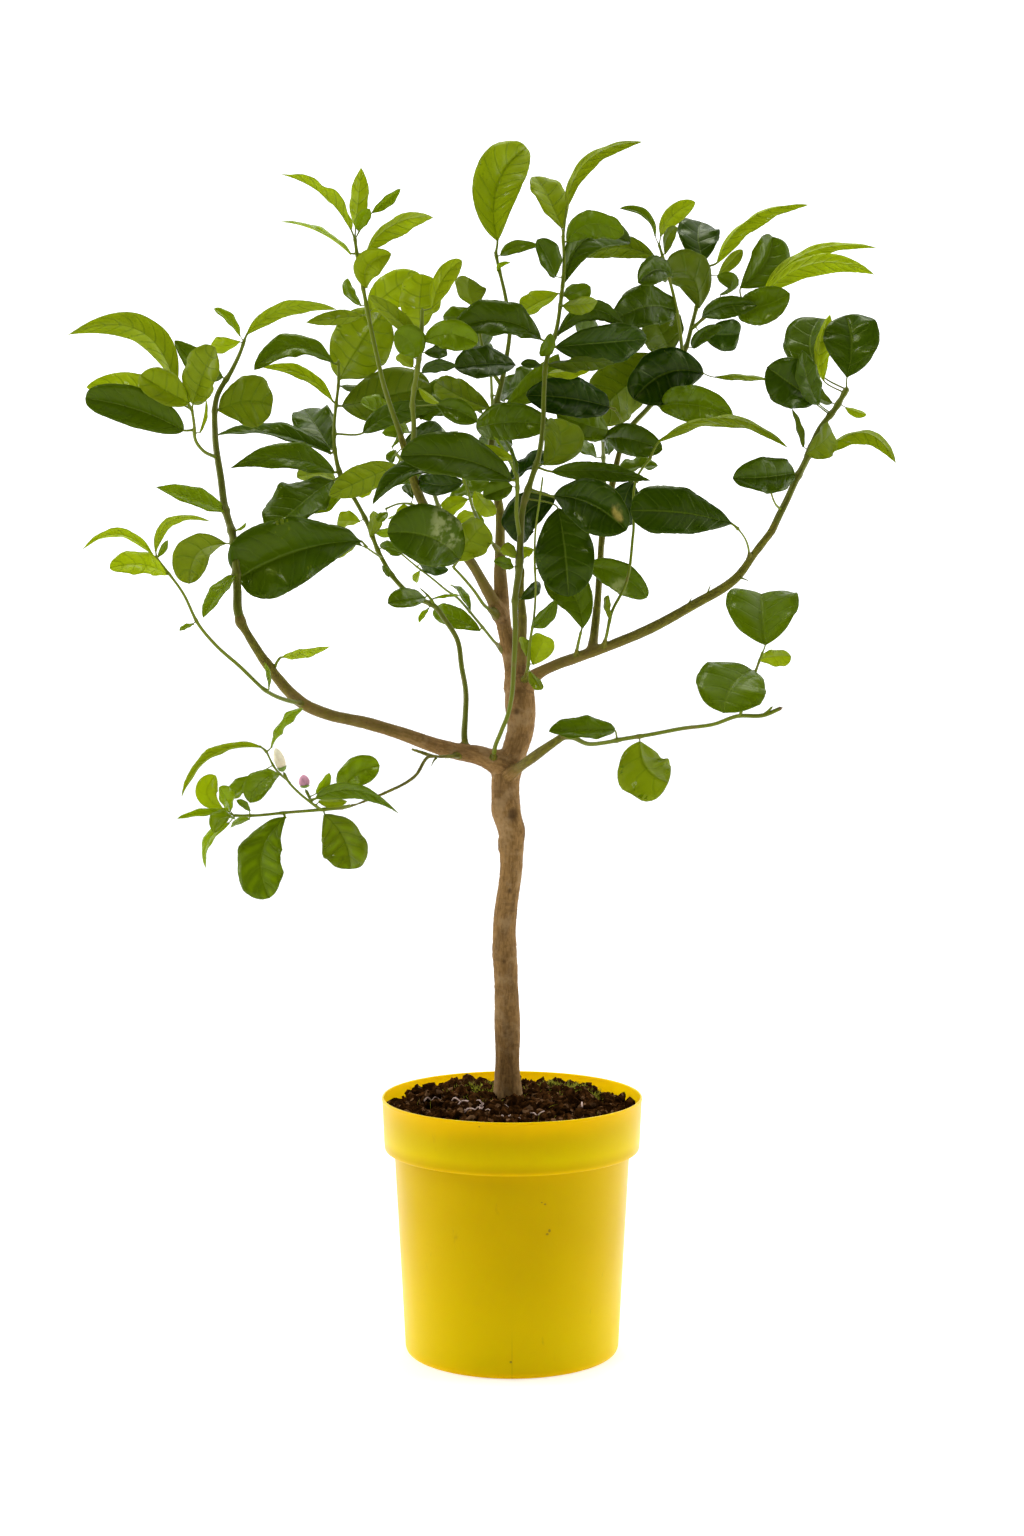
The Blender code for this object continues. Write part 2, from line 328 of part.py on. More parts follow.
        (-2.7, 75.3, -3.4, 77.6, 0.8, 60, 0.0, 1.0, 0.6),
    ]),
    ("limb_left_a", [
        [(-9.2, 81.0, -3.6, 0.8), (-10.0, 81.8, -3.0, 0.3), (-10.6, 82.4, -2.6, 0.24)],
    ], [
        (-10.4, 81.3, -16.6, 78.5, 2.8, 165, 0.0, -1.0, 0.6),
        (-10.9, 82.9, -11.8, 84.2, 1.2, 20, -1.2, -1.0, 0.5),
        (-10.5, 82.6, -11.2, 81.6, 1.0, 20, 0.0, 1.0, 0.4),
        (-10.0, 82.8, -6.4, 84.6, 2.2, 15, 0.3, 3.5, 0.1),
    ]),
    ("limb_left_b", [
        [(-7.6, 77.0, -2.4, 0.9), (-8.5, 77.5, -1.4, 0.22), (-9.3, 77.8, -0.9, 0.2), (-10.3, 77.8, -0.4, 0.18),
         (-11.6, 77.3, 0.0, 0.16)],
    ], [
        (-8.7, 76.6, -10.6, 76.9, 1.8, 150, 0.0, -1.5, 0.85),
        (-9.4, 76.9, -11.3, 76.4, 0.7, 60, 0.0, 1.0, 0.85),
        (-9.0, 78.3, -9.8, 79.5, 1.1, 20, 0.0, 1.0, 0.1),
        (-11.3, 77.0, -12.2, 76.2, 1.0, 20, 0.0, -1.0, 0.5),
    ]),
    ("right_tall", [
        [(23.6, 75.3, -3.9, 0.8), (24.1, 76.4, -3.9, 0.66), (24.9, 78.0, -3.8, 0.62), (25.8, 80.0, -3.6, 0.6),
         (26.6, 81.6, -3.4, 0.6), (27.9, 84.6, -3.0, 0.52), (29.3, 86.4, -2.6, 0.5), (30.4, 88.3, -2.2, 0.46)],
        [(24.5, 77.2, -3.8, 0.24), (23.8, 78.0, -5.0, 0.18), (23.4, 79.2, -5.6, 0.16)],
    ], [
        (30.3, 89.2, 30.1, 94.9, 5.3, 0, -0.5, 1.0, 0.12),
        (28.0, 89.4, 27.8, 94.6, 5.0, -18, 0.9, 3.5, 0.3),
        (28.2, 88.9, 28.9, 94.6, 2.1, 140, 0.8, 0.5, 0.95),
        (27.4, 86.9, 23.1, 90.1, 4.7, 10, 0.0, -2.0, 0.08),
        (27.8, 86.8, 26.4, 91.5, 2.3, 22, 0.5, -3.0, 0.15),
        (29.0, 86.9, 26.9, 88.8, 1.6, 140, 0.5, 1.5, 0.1),
        (30.2, 86.5, 32.1, 85.8, 1.0, 150, 0.0, -0.5, 0.9),
        (26.7, 82.3, 29.2, 84.3, 3.0, 150, 0.0, -3.0, 0.1),
        (26.4, 82.9, 25.4, 86.4, 1.1, 120, 0.2, -1.5, 0.1),
        (25.6, 80.6, 20.0, 80.1, 3.6, 10, 0.2, -3.0, 0.12),
        (28.4, 82.4, 34.8, 81.5, 2.2, 140, 2.3, -2.0, 0.6),
    ]),
    ("right_single", [
        [(21.6, 72.8, -3.7, 0.7), (21.5, 73.7, -4.5, 0.2), (21.1, 74.8, -5.4, 0.17), (20.5, 75.6, -5.9, 0.15)],
    ], [
        (20.0, 76.0, 10.8, 77.3, 4.6, 22, -0.1, -2.5, 0.2),
    ]),
    ("right_upper", [
        [(9.8, 82.8, 2.9, 0.58), (10.0, 83.7, 3.1, 0.52), (10.9, 84.9, 3.6, 0.5), (12.4, 86.5, 4.3, 0.48),
         (14.3, 89.3, 5.4, 0.46), (15.6, 91.5, 6.2, 0.44), (16.3, 94.0, 6.8, 0.4), (17.0, 97.0, 7.2, 0.34),
         (17.4, 99.3, 7.4, 0.28)],
        [(15.4, 91.3, 6.1, 0.36), (15.1, 94.0, 4.6, 0.32), (14.6, 96.5, 3.6, 0.3), (13.9, 99.0, 3.0, 0.26),
         (13.2, 101.2, 2.6, 0.22)],
        [(16.2, 93.5, 6.7, 0.3), (18.0, 95.0, 6.0, 0.28), (20.0, 96.0, 5.4, 0.25), (22.2, 96.3, 5.0, 0.22)],
        [(10.0, 83.9, 3.1, 0.28), (9.9, 85.3, 2.2, 0.22), (9.3, 86.4, 1.6, 0.2)],
    ], [
        (12.9, 101.8, 9.7, 104.3, 1.1, 45, -0.7, -1.0, 0.6),
        (13.4, 101.8, 16.5, 104.8, 1.8, 175, 0.6, 1.0, 0.8),
        (13.8, 100.2, 14.9, 102.6, 1.4, 150, 0.5, -1.0, 0.2),
        (13.0, 99.8, 6.6, 99.9, 2.3, 165, -0.9, -1.0, 0.75),
        (17.3, 99.6, 17.1, 103.2, 4.2, 10, 0.5, 3.0, 0.1),
        (14.5, 98.2, 11.5, 97.7, 2.8, 15, -0.8, -3.5, 0.15),
        (18.5, 99.4, 26.7, 104.4, 2.4, 130, 2.3, -1.0, 0.85),
        (20.6, 97.2, 23.4, 101.7, 4.5, 15, -0.7, 2.5, 0.1),
        (22.8, 96.9, 32.8, 100.5, 1.6, 143, 2.3, 1.0, 0.85),
        (22.9, 96.7, 32.7, 98.4, 2.2, 162, 2.0, -2.0, 0.85),
        (20.3, 95.4, 25.1, 96.7, 3.9, 2, -0.4, -3.0, 0.3),
        (18.6, 98.3, 20.8, 100.6, 1.4, 175, 0.0, -1.0, 1.0),
        (18.8, 96.6, 18.5, 98.2, 1.6, 50, -1.2, -1.5, 0.8),
        (16.9, 95.4, 13.2, 98.4, 4.5, 160, -1.7, -3.0, 0.85),
        (17.2, 94.6, 22.1, 95.6, 2.4, 5, 0.5, -3.0, 0.3),
        (17.2, 93.0, 20.5, 93.1, 3.4, 10, 0.0, 1.5, 0.15),
        (16.4, 91.8, 18.9, 93.8, 1.6, 12, 0.5, -2.0, 0.15),
        (14.8, 95.1, 9.4, 94.4, 4.1, 15, -0.7, -4.0, 0.12),
        (14.4, 91.4, 12.5, 94.9, 4.6, 160, 0.0, 1.5, 0.55),
        (13.6, 91.0, 7.5, 85.8, 5.6, 165, 0.0, -2.0, 0.55),
        (17.3, 89.5, 11.1, 87.2, 5.4, -5, -1.3, -2.0, 0.0),
        (18.4, 89.2, 23.3, 88.8, 1.2, 120, 0.4, -2.0, 0.5),
        (13.3, 86.6, 20.0, 85.7, 3.9, -5, 0.5, -2.0, 0.35),
        (8.6, 83.7, 13.5, 82.7, 3.1, 5, 0.4, -4.5, 0.15),
        (8.7, 84.4, 4.2, 85.9, 3.3, 20, 0.2, -3.0, 0.3),
        (8.8, 86.5, 1.4, 87.6, 4.1, 10, -0.2, -2.0, 0.0),
    ]),
    ("right_back", [
        [(8.3, 64.7, -1.5, 0.8), (8.6, 65.8, -2.5, 0.3), (9.1, 68.0, -2.8, 0.28), (10.3, 70.4, -2.6, 0.28),
         (11.0, 75.0, -2.2, 0.26), (11.5, 80.5, -2.4, 0.22), (12.6, 82.0, -2.8, 0.2)],
    ], [
        (13.3, 83.4, 25.0, 82.9, 2.1, 120, 2.5, -1.0, 0.3),
        (11.0, 79.8, 10.5, 75.9, 3.5, 10, -0.5, 2.5, 0.05),
        (9.0, 67.2, 8.8, 69.5, 1.1, 130, 0.5, -1.0, 0.3),
    ]),
    ("right_low", [
        [(4.7, 56.7, -2.4, 0.8), (5.7, 56.5, -3.4, 0.46), (6.8, 56.0, -4.2, 0.4), (8.5, 56.1, -5.2, 0.37),
         (10.0, 56.4, -5.9, 0.38), (12.5, 56.8, -6.8, 0.35), (15.7, 57.4, -7.8, 0.35), (18.5, 57.8, -8.6, 0.33),
         (20.5, 58.5, -9.0, 0.35), (23.0, 58.6, -9.6, 0.37), (24.7, 59.3, -9.9, 0.34)],
        [(22.9, 58.6, -9.6, 0.24), (23.3, 58.9, -9.7, 0.22), (23.8, 59.4, -9.9, 0.2)],
        [(20.8, 58.5, -9.1, 0.28), (21.3, 60.1, -9.6, 0.26), (22.0, 62.0, -9.8, 0.23), (22.9, 64.5, -9.9, 0.2)],
    ], [
        (23.1, 65.0, 22.7, 69.7, 6.9, 0, 0.0, 3.0, 0.35),
        (22.5, 63.6, 25.4, 63.9, 1.9, 150, 0.2, 1.0, 0.9),
        (21.9, 62.7, 19.3, 58.8, 6.2, 15, -0.6, -3.0, 0.35),
        (11.7, 56.2, 14.3, 52.4, 5.5, 160, -0.8, -1.0, 0.75),
        (9.4, 57.3, 3.4, 57.2, 2.5, 32, 0.2, -2.0, 0.3),
    ]),
]

# Shoots behind the others: where each leaves the wood, where it ends, and how many leaves stand round it.
BACK_SHOOTS = [
    ("back_left", (-5.5, 74.8, -1.4), (-9.5, 87.5, 12.5), 7),
    ("back_middle", (-1.1, 75.5, 1.8), (-2.0, 91.5, 14.5), 8),
    ("back_right", (8.5, 76.8, 1.9), (8.0, 92.0, 15.5), 8),
]
BACK_LEAF_LENGTH = 6.5
BACK_LEAF_WIDTH = 3.4
GOLDEN_ANGLE = math.radians(137.5)

CREAM_BUD = ((-20.95, 53.5, -9.62), (-21.6, 55.6, -9.7), 0.95)
PINK_BUD = ((-18.93, 51.95, -8.18), (-19.1, 53.15, -8.1), 0.98)
BUD_SIDES = 8

# Ways a blade is swung until it clears its neighbours: depth of the tip in centimetres, turn in degrees.
SWINGS = [(0, 0), (1, 0), (-1, 0), (0, 15), (0, -15), (2, 0), (-2, 0), (1, 20), (-1, -20), (3, 0), (-3, 0),
          (0, 30), (0, -30), (2, 25), (-2, -25), (4, 0), (-4, 0), (3, 30), (-3, -30), (5, 0), (-5, 0),
          (0, 45), (0, -45), (6, 20), (-6, -20), (7, 0), (-7, 0), (4, 50), (-4, -50)]
SHRINK = 0.8


def place(across, up, depth):
    """The point seen at (across, up) in centimetres, moved along the line of sight to its depth, which is
    spread out from the trunk's."""
    flat = np.array((across * CM, 0.0, up * CM))
    spread = TRUNK_DEPTH + (depth - TRUNK_DEPTH) * DEPTH_SPREAD
    return EYE + (flat - EYE) * (spread * CM - EYE[1]) / -EYE[1]


def unit(vector):
    return vector / np.linalg.norm(vector)


def material(name, colour, roughness):
    made = bpy.data.materials.new(name)
    made.use_nodes = True
    shader = made.node_tree.nodes["Principled BSDF"]
    shader.inputs["Base Color"].default_value = (*colour, 1.0)
    shader.inputs["Roughness"].default_value = roughness
    shader.inputs["Metallic"].default_value = 0.0
    return made


def mesh_object(name, points, faces):
    mesh = bpy.data.meshes.new(name)
    mesh.from_pydata([tuple(point) for point in points], [], faces)
    made = bpy.data.objects.new(name, mesh)
    bpy.context.scene.collection.objects.link(made)
    return made


def drop(made):
    bpy.data.objects.remove(made, do_unlink=True)


def finish(made, name, colour, roughness):
    """Give a finished solid its name, its one material and smooth shading over its round faces."""
    made.name = name
    made.data.name = name
    made.data.materials.clear()
    made.data.materials.append(material(name, colour, roughness))
    made.data.polygons.foreach_set("material_index", [0] * len(made.data.polygons))
    made.data.shade_smooth()
    made.data.set_sharp_from_angle(angle=math.radians(35.0))
    return made


def combine(base, others, operation, solver="MANIFOLD"):
    """Join or cut the base with all the others in one Boolean, apply it and remove the others."""
    group = bpy.data.collections.new("others")
    bpy.context.scene.collection.children.link(group)
    for other in others:
        bpy.context.scene.collection.objects.unlink(other)
        group.objects.link(other)
    step = base.modifiers.new("join", "BOOLEAN")
    step.operation = operation
    step.operand_type = "COLLECTION"
    step.collection = group
    step.solver = solver
    result = bpy.data.meshes.new_from_object(base.evaluated_get(bpy.context.evaluated_depsgraph_get()))
    base.modifiers.clear()
    base.data = result
    for other in others:
        drop(other)
    bpy.data.collections.remove(group)
    return base


def tube_shape(path, radii, sides, start=None, end=None):
    """Rings of a tapered round stem along a path, capped at both ends; start and end fix the end directions."""
    path = np.array(path)
    steps = np.diff(path, axis=0)
    steps /= np.linalg.norm(steps, axis=1)[:, None]
    along = np.vstack((steps[:1], steps[:-1] + steps[1:], steps[-1:]))
    along[0] = steps[0] if start is None else start
    along[-1] = steps[-1] if end is None else end
    along /= np.linalg.norm(along, axis=1)[:, None]
    side = unit(np.cross(along[0], (0.0, 1.0, 0.0)))
    angles = np.arange(sides) * 2.0 * math.pi / sides
    points = []
    for centre, direction, radius in zip(path, along, radii):
        side = unit(side - direction * side.dot(direction))
        third = np.cross(direction, side)
        points.extend(centre + radius * (math.cos(a) * side + math.sin(a) * third) for a in angles)
    faces = []
    for ring in range(len(path) - 1):
        for k in range(sides):
            low, high = ring * sides + k, ring * sides + (k + 1) % sides
            faces.append((low, high, high + sides, low + sides))
    faces.append(tuple(reversed(range(sides))))
    faces.append(tuple(range((len(path) - 1) * sides, len(path) * sides)))
    return points, faces


def stem_shape(stem, sides, start=None, end=None):
    path = [place(across, up, depth) for across, up, depth, thickness in stem]
    radii = [thickness * CM / 2.0 for across, up, depth, thickness in stem]
    return tube_shape(path, radii, sides, start, end)


def stem_sides(stem):
    return 7 if stem[0][3] > 0.6 else 5 if stem[0][3] > 0.36 else 4


def shoot_start(stems):
    """Where a shoot's first stem leaves its collar, and the direction it starts in."""
    first, second = (place(*point[:3]) for point in stems[0][1:3])
    return first, unit(second - first)


def leaf_frame(leaf, root, reach, turn, draw):
    """The base, bend and tip of a leaf's curved midrib, and the direction its face looks in."""
    base_across, base_up, tip_across, tip_up = leaf[:4]
    seen_petiole = math.hypot(base_across - root[0], base_up - root[1])
    seen_blade = math.hypot(tip_across - base_across, tip_up - base_up)
    base = place(base_across, base_up, root[2] + reach * seen_petiole / (seen_petiole + seen_blade))
    tip = place(tip_across, tip_up, root[2] + reach)
    straight = unit(tip - base)
    towards = unit(EYE - base)
    face = unit(towards - straight * towards.dot(straight))
    face = turned(face, straight, math.radians(turn))
    across = unit(np.array((base_up - tip_up, 0.0, tip_across - base_across)))
    length = np.linalg.norm(tip - base)
    bend = (base + tip) / 2.0 + 2.0 * leaf[6] * CM * across + draw["arch"] * length * face
    return base, bend, tip, face


def turned(vector, axis, angle):
    """A vector turned about a unit axis."""
    return (vector * math.cos(angle) + np.cross(axis, vector) * math.sin(angle)
            + axis * axis.dot(vector) * (1.0 - math.cos(angle)))


def leaf_draw(shoot_name, number):
    """The seeded small differences from leaf to leaf."""
    dice = random.Random(shoot_name + str(number))
    return {"arch": dice.uniform(0.04, 0.16), "fold": dice.uniform(8.0, 26.0), "twist": dice.uniform(-18.0, 18.0),
            "wave": dice.uniform(0.3, 1.0), "phase": dice.uniform(0.0, 2.0 * math.pi)}


def blade_row(frame, u, half_width, draw):
    """Left edge, midrib and right edge of the blade at u, with the face direction there: the midrib is a
    quadratic curve, the two halves fold up from it, and the edges rise and fall in waves."""
    base, bend, tip, face = frame
    middle = (1 - u) ** 2 * base + 2 * u * (1 - u) * bend + u ** 2 * tip
    along = unit(2 * (1 - u) * (bend - base) + 2 * u * (tip - bend))
    normal = unit(face - along * face.dot(along))
    normal = turned(normal, along, math.radians(draw["twist"] * (u - 0.5)))
    right = np.cross(along, normal)
    fold = math.radians(draw["fold"])
    row = []
    for side in (-1.0, 1.0):
        wave = 0.16 * draw["wave"] * math.sin(2 * math.pi * EDGE_WAVES * u + draw["phase"] + side)
        row.append(middle + half_width * (side * math.cos(fold) * right + (math.sin(fold) + wave) * normal))
    return row[0], middle, row[1], normal


def leaf_shape(leaf, root, draw, reach, turn, scale=1.0, margin=0.0, blade_only=False):
    """A flat petiole and a blade of even thickness, split into triangles alike on both faces."""
    frame = leaf_frame(leaf, root, reach, turn, draw)
    if scale != 1.0:
        frame = (frame[0], frame[0] + (frame[1] - frame[0]) * scale, frame[0] + (frame[2] - frame[0]) * scale,
                 frame[3])
    length = np.linalg.norm(frame[2] - frame[0])
    inner = COARSE_ROWS[0 if length < 0.034 else 1 if length < 0.085 else 2]
    blade_half = leaf[4] * CM / 2.0 * scale
    if blade_only:
        left, middle, right, normal = blade_row(frame, 0.0, PETIOLE_HALF_WIDTH * 1.2, draw)
        rows = [((left, right), normal, PETIOLE_THICKNESS)]
    else:
        rows = petiole_rows(frame, place(*root), draw)
    for u, share in inner:
        left, middle, right, normal = blade_row(frame, u, blade_half * share + margin, draw)
        chain = (left, right) if length < SMALL_BLADE else (left, middle, right)
        rows.append((chain, normal, BLADE_THICKNESS))
    left, middle, right, normal = blade_row(frame, 1.0, 0.0, draw)
    rows.append(((middle,), normal, BLADE_THICKNESS))
    return loft(rows, margin)


def petiole_rows(frame, anchor, draw):
    """The petiole as a narrow ribbon from the stem's middle to the blade, turned with its path so that it
    stays a ribbon where the blade folds back over it. A short one runs straight into the blade."""
    base = frame[0]
    normal = blade_row(frame, 0.0, 0.0, draw)[3]
    run = unit(base - anchor)
    along = unit(frame[1] - base)
    side = np.cross(along, normal)
    if np.linalg.norm(base - anchor) < SHORT_PETIOLE:
        run = unit(base + along * 0.01 - anchor)
        side = unit(side - run * side.dot(run))
        return [((anchor - side * PETIOLE_HALF_WIDTH, anchor + side * PETIOLE_HALF_WIDTH), np.cross(side, run),
                 PETIOLE_THICKNESS)]
    bisector = unit(run + along + 0.4 * normal)
    side = unit(side - bisector * side.dot(bisector))
    start = unit(side - run * side.dot(run))
    half = PETIOLE_HALF_WIDTH
    return [((anchor - start * half, anchor + start * half), np.cross(start, run), PETIOLE_THICKNESS),
            ((base - side * half * 1.2, base + side * half * 1.2), np.cross(side, bisector), PETIOLE_THICKNESS)]


def loft(rows, margin):
    """Solid through rows of one, two or three points: each row is doubled above and below its middle."""
    points, above, below = [], [], []
    for chain, normal, thickness in rows:
        lift = normal * (thickness / 2.0 + margin)
        above.append(range(len(points), len(points) + len(chain)))
        points.extend(point + lift for point in chain)
        below.append(range(len(points), len(points) + len(chain)))
        points.extend(point - lift for point in chain)
    top, bottom = above[0], below[0]
    faces = [(top[0], bottom[0], top[-1]), (bottom[0], bottom[-1], top[-1])]
    for k in range(len(rows) - 1):
        a, b, c, d = above[k], above[k + 1], below[k], below[k + 1]
        faces.extend(strip(a, b))
        faces.extend(tuple(reversed(face)) for face in strip(c, d))
        faces.extend(((a[0], b[0], c[0]), (b[0], d[0], c[0])))
        faces.extend(((a[-1], c[-1], b[-1]), (b[-1], c[-1], d[-1])))
    return points, faces


def strip(first, second):
    """Triangles between two rows that may differ in their number of points."""
    faces, i, j = [], 0, 0
    ends = len(first) - 1, len(second) - 1
    while (i, j) != ends:
        if i < ends[0] and (j == ends[1] or i * max(ends[1], 1) <= j * ends[0]):
            faces.append((first[i], first[i + 1], second[j]))
            i += 1
        else:
            faces.append((first[i], second[j + 1], second[j]))
            j += 1
    return faces


def nearest_on_stems(stems, across, up):
    """The point of a shoot's stems that is seen nearest to a leaf's base."""
    best = None
    for number, stem in enumerate(stems):
        points = stem[1:] if number == 0 else stem
        for first, second in zip(points, points[1:]):
            run = (second[0] - first[0], second[1] - first[1])
            size = run[0] ** 2 + run[1] ** 2
            share = ((across - first[0]) * run[0] + (up - first[1]) * run[1]) / max(size, 1e-9)
            share = min(max(share, 0.15), 0.9)
            point = [first[k] + share * (second[k] - first[k]) for k in range(3)]
            distance = math.hypot(point[0] - across, point[1] - up)
            if best is None or distance < best[0]:
                best = (distance, tuple(point))
    return best[1]


class Neighbours:
    """The solids placed so far, each with its box and its tree of faces."""

    def __init__(self):
        self.items = []

    def add(self, owner, points, faces):
        cloud = np.array(points)
        tree = BVHTree.FromPolygons([tuple(point) for point in points], faces)
        self.items.append((owner, cloud.min(axis=0), cloud.max(axis=0), tree))

    def touched(self, owner, points, faces, own):
        """Whether a shape crosses anything of its own shoot, if own is set, or else of the others."""
        cloud = np.array(points)
        low, high = cloud.min(axis=0) - CLEARANCE, cloud.max(axis=0) + CLEARANCE
        tree = None
        for item_owner, item_low, item_high, item_tree in self.items:
            if (item_owner == owner) != own or (item_low > high).any() or (item_high < low).any():
                continue
            if tree is None:
                tree = BVHTree.FromPolygons([tuple(point) for point in points], faces)
            if tree.overlap(item_tree):
                return True
        return False


def settle_leaf(shoot_name, number, leaf, root, draw, solids, blades):
    """Swing a blade, and at worst shorten it, until it clears the solids of the other nodes, and where it can
    the blades of its own shoot too."""
    for scale in (1.0, SHRINK, SHRINK ** 2, SHRINK ** 3):
        spare = None
        for depth, angle in SWINGS:
            chosen = (leaf[7] + depth, leaf[5] + angle, scale)
            whole = leaf_shape(leaf, root, draw, *chosen, margin=CLEARANCE)
            if solids.touched(shoot_name, *whole, own=False):
                continue
            blade = leaf_shape(leaf, root, draw, *chosen, margin=CLEARANCE, blade_only=True)
            if not blades.touched(shoot_name, *blade, own=True):
                return chosen
            spare = spare or chosen
        if spare:
            return spare
    raise RuntimeError(f"leaf {number} of {shoot_name} has no room")


def back_shoot(name, start, end, count):
    """A shoot that rises in an arc from the wood to its end, with leaves round it at the golden angle."""
    dice = random.Random(name)
    share = np.linspace(0.0, 1.0, 7)
    stem = []
    for s in share:
        across = start[0] + (end[0] - start[0]) * s
        up = start[1] + (end[1] - start[1]) * s ** 1.25
        depth = start[2] + (end[2] - start[2]) * s ** 0.8
        stem.append((across, up, depth, 0.5 - 0.25 * s))
    leaves = []
    for k in range(count):
        s = 0.3 + 0.68 * k / (count - 1)
        place_on = [float(np.interp(s, share, [point[j] for point in stem])) for j in range(3)]
        angle = k * GOLDEN_ANGLE + dice.uniform(-0.3, 0.3)
        length = BACK_LEAF_LENGTH * dice.uniform(0.75, 1.15)
        flat = length * 0.88
        base_share = 0.16
        rise = length * dice.uniform(0.15, 0.6)
        run = flat * math.cos(angle)
        leaves.append((place_on[0] + base_share * run, place_on[1] + base_share * rise, place_on[0] + run,
                       place_on[1] + rise, BACK_LEAF_WIDTH * length / BACK_LEAF_LENGTH, -60 * math.cos(angle),
                       0.0, flat * math.sin(angle), dice.uniform(0.05, 0.6)))
    return name, [stem], leaves


def make_pot():
    """The pot's wall as one turned outline, closed at the middle of its floor, with drain holes."""
    wall = POT_WALL
    profile = [(BASE_RADIUS - EDGE_ROUNDING, 0.0), (BASE_RADIUS, EDGE_ROUNDING),
               (NECK_RADIUS, COLLAR_FOOT_HEIGHT - 0.001), (COLLAR_FOOT_RADIUS - 0.0015, COLLAR_FOOT_HEIGHT),
               (COLLAR_FOOT_RADIUS, COLLAR_FOOT_HEIGHT + 0.002), (RIM_RADIUS, POT_HEIGHT - 0.001),
               (RIM_RADIUS - 0.0008, POT_HEIGHT), (RIM_RADIUS - wall, POT_HEIGHT),
               (COLLAR_FOOT_RADIUS - wall, COLLAR_FOOT_HEIGHT + wall),
               (NECK_RADIUS - wall, COLLAR_FOOT_HEIGHT + wall - 0.001),
               (BASE_RADIUS - wall, POT_FLOOR)]
    points = []
    for radius, height in profile:
        for k in range(POT_SIDES):
            angle = 2 * math.pi * k / POT_SIDES
            points.append((radius * math.cos(angle), radius * math.sin(angle), height))
    faces = turned_faces(len(profile), POT_SIDES)
    pot = mesh_object("pot", points, faces)
    cutters = []
    for k in range(DRAIN_COUNT):
        angle = 2 * math.pi * (k + 0.5) / DRAIN_COUNT
        x, y = DRAIN_CIRCLE * math.cos(angle), DRAIN_CIRCLE * math.sin(angle)
        shape = tube_shape([(x, y, -0.01), (x, y, POT_FLOOR + 0.01)], [DRAIN_RADIUS] * 2, 12)
        cutters.append(mesh_object("drain", *shape))
    combine(pot, cutters, "DIFFERENCE")
    return finish(pot, "pot", (0.62, 0.36, 0.0), 0.35)


def turned_faces(rings, sides):
    """Faces of a turned outline whose first and last rings are closed by flat ends."""
    faces = []
    for ring in range(rings - 1):
        for k in range(sides):
            low, high = ring * sides + k, ring * sides + (k + 1) % sides
            faces.append((low, high, high + sides, low + sides))
    faces.append(tuple(reversed(range(sides))))
    faces.append(tuple(range((rings - 1) * sides, rings * sides)))
    return faces


def make_soil():
    """Soil with a lumpy top that rises to the trunk, and the plain hole that the trunk stands in."""
    dice = random.Random("soil")
    wall = POT_WALL + GAP
    shift = COLLAR_FOOT_HEIGHT + POT_WALL
    slope = (RIM_RADIUS - COLLAR_FOOT_RADIUS) / (POT_HEIGHT - COLLAR_FOOT_HEIGHT)
    edge_radius = COLLAR_FOOT_RADIUS - wall + slope * (SOIL_EDGE_HEIGHT - 0.004 - shift)
    rings = [(BASE_RADIUS - wall, POT_FLOOR + GAP), (NECK_RADIUS - wall, shift - 0.001 + GAP),
             (COLLAR_FOOT_RADIUS - wall, shift + GAP), (edge_radius, SOIL_EDGE_HEIGHT - 0.004)]
    points = []
    for radius, height in rings:
        for k in range(POT_SIDES):
            angle = 2 * math.pi * k / POT_SIDES
            points.append((radius * math.cos(angle), radius * math.sin(angle), height))
    for ring in range(SOIL_RINGS):
        share = 1.0 - ring / SOIL_RINGS
        for k in range(POT_SIDES):
            angle = 2 * math.pi * k / POT_SIDES
            radius = edge_radius * share * (0.995 if ring == 0 else 1.0)
            height = SOIL_EDGE_HEIGHT + SOIL_RISE * (1.0 - share ** 1.6) + dice.uniform(-1, 1) * SOIL_LUMP
            points.append((radius * math.cos(angle), radius * math.sin(angle), height))
    count = len(rings) + SOIL_RINGS
    faces = turned_faces(count, POT_SIDES)[:-1]
    points.append((0.0, 0.0, SOIL_EDGE_HEIGHT + SOIL_RISE))
    last = (count - 1) * POT_SIDES
    faces.extend((last + k, last + (k + 1) % POT_SIDES, len(points) - 1) for k in range(POT_SIDES))
    soil = mesh_object("soil", points, faces)
    x, y = (value * CM for value in TRUNK_FOOT)
    hole = tube_shape([(x, y, TRUNK_FOOT_BOTTOM - GAP), (x, y, POT_HEIGHT + 0.03)],
                      [TRUNK_FOOT_RADIUS + GAP * 1.2] * 2, TRUNK_SIDES)
    combine(soil, [mesh_object("trunk_hole", *hole)], "DIFFERENCE")
    return finish(soil, "soil", (0.045, 0.03, 0.018), 0.95)


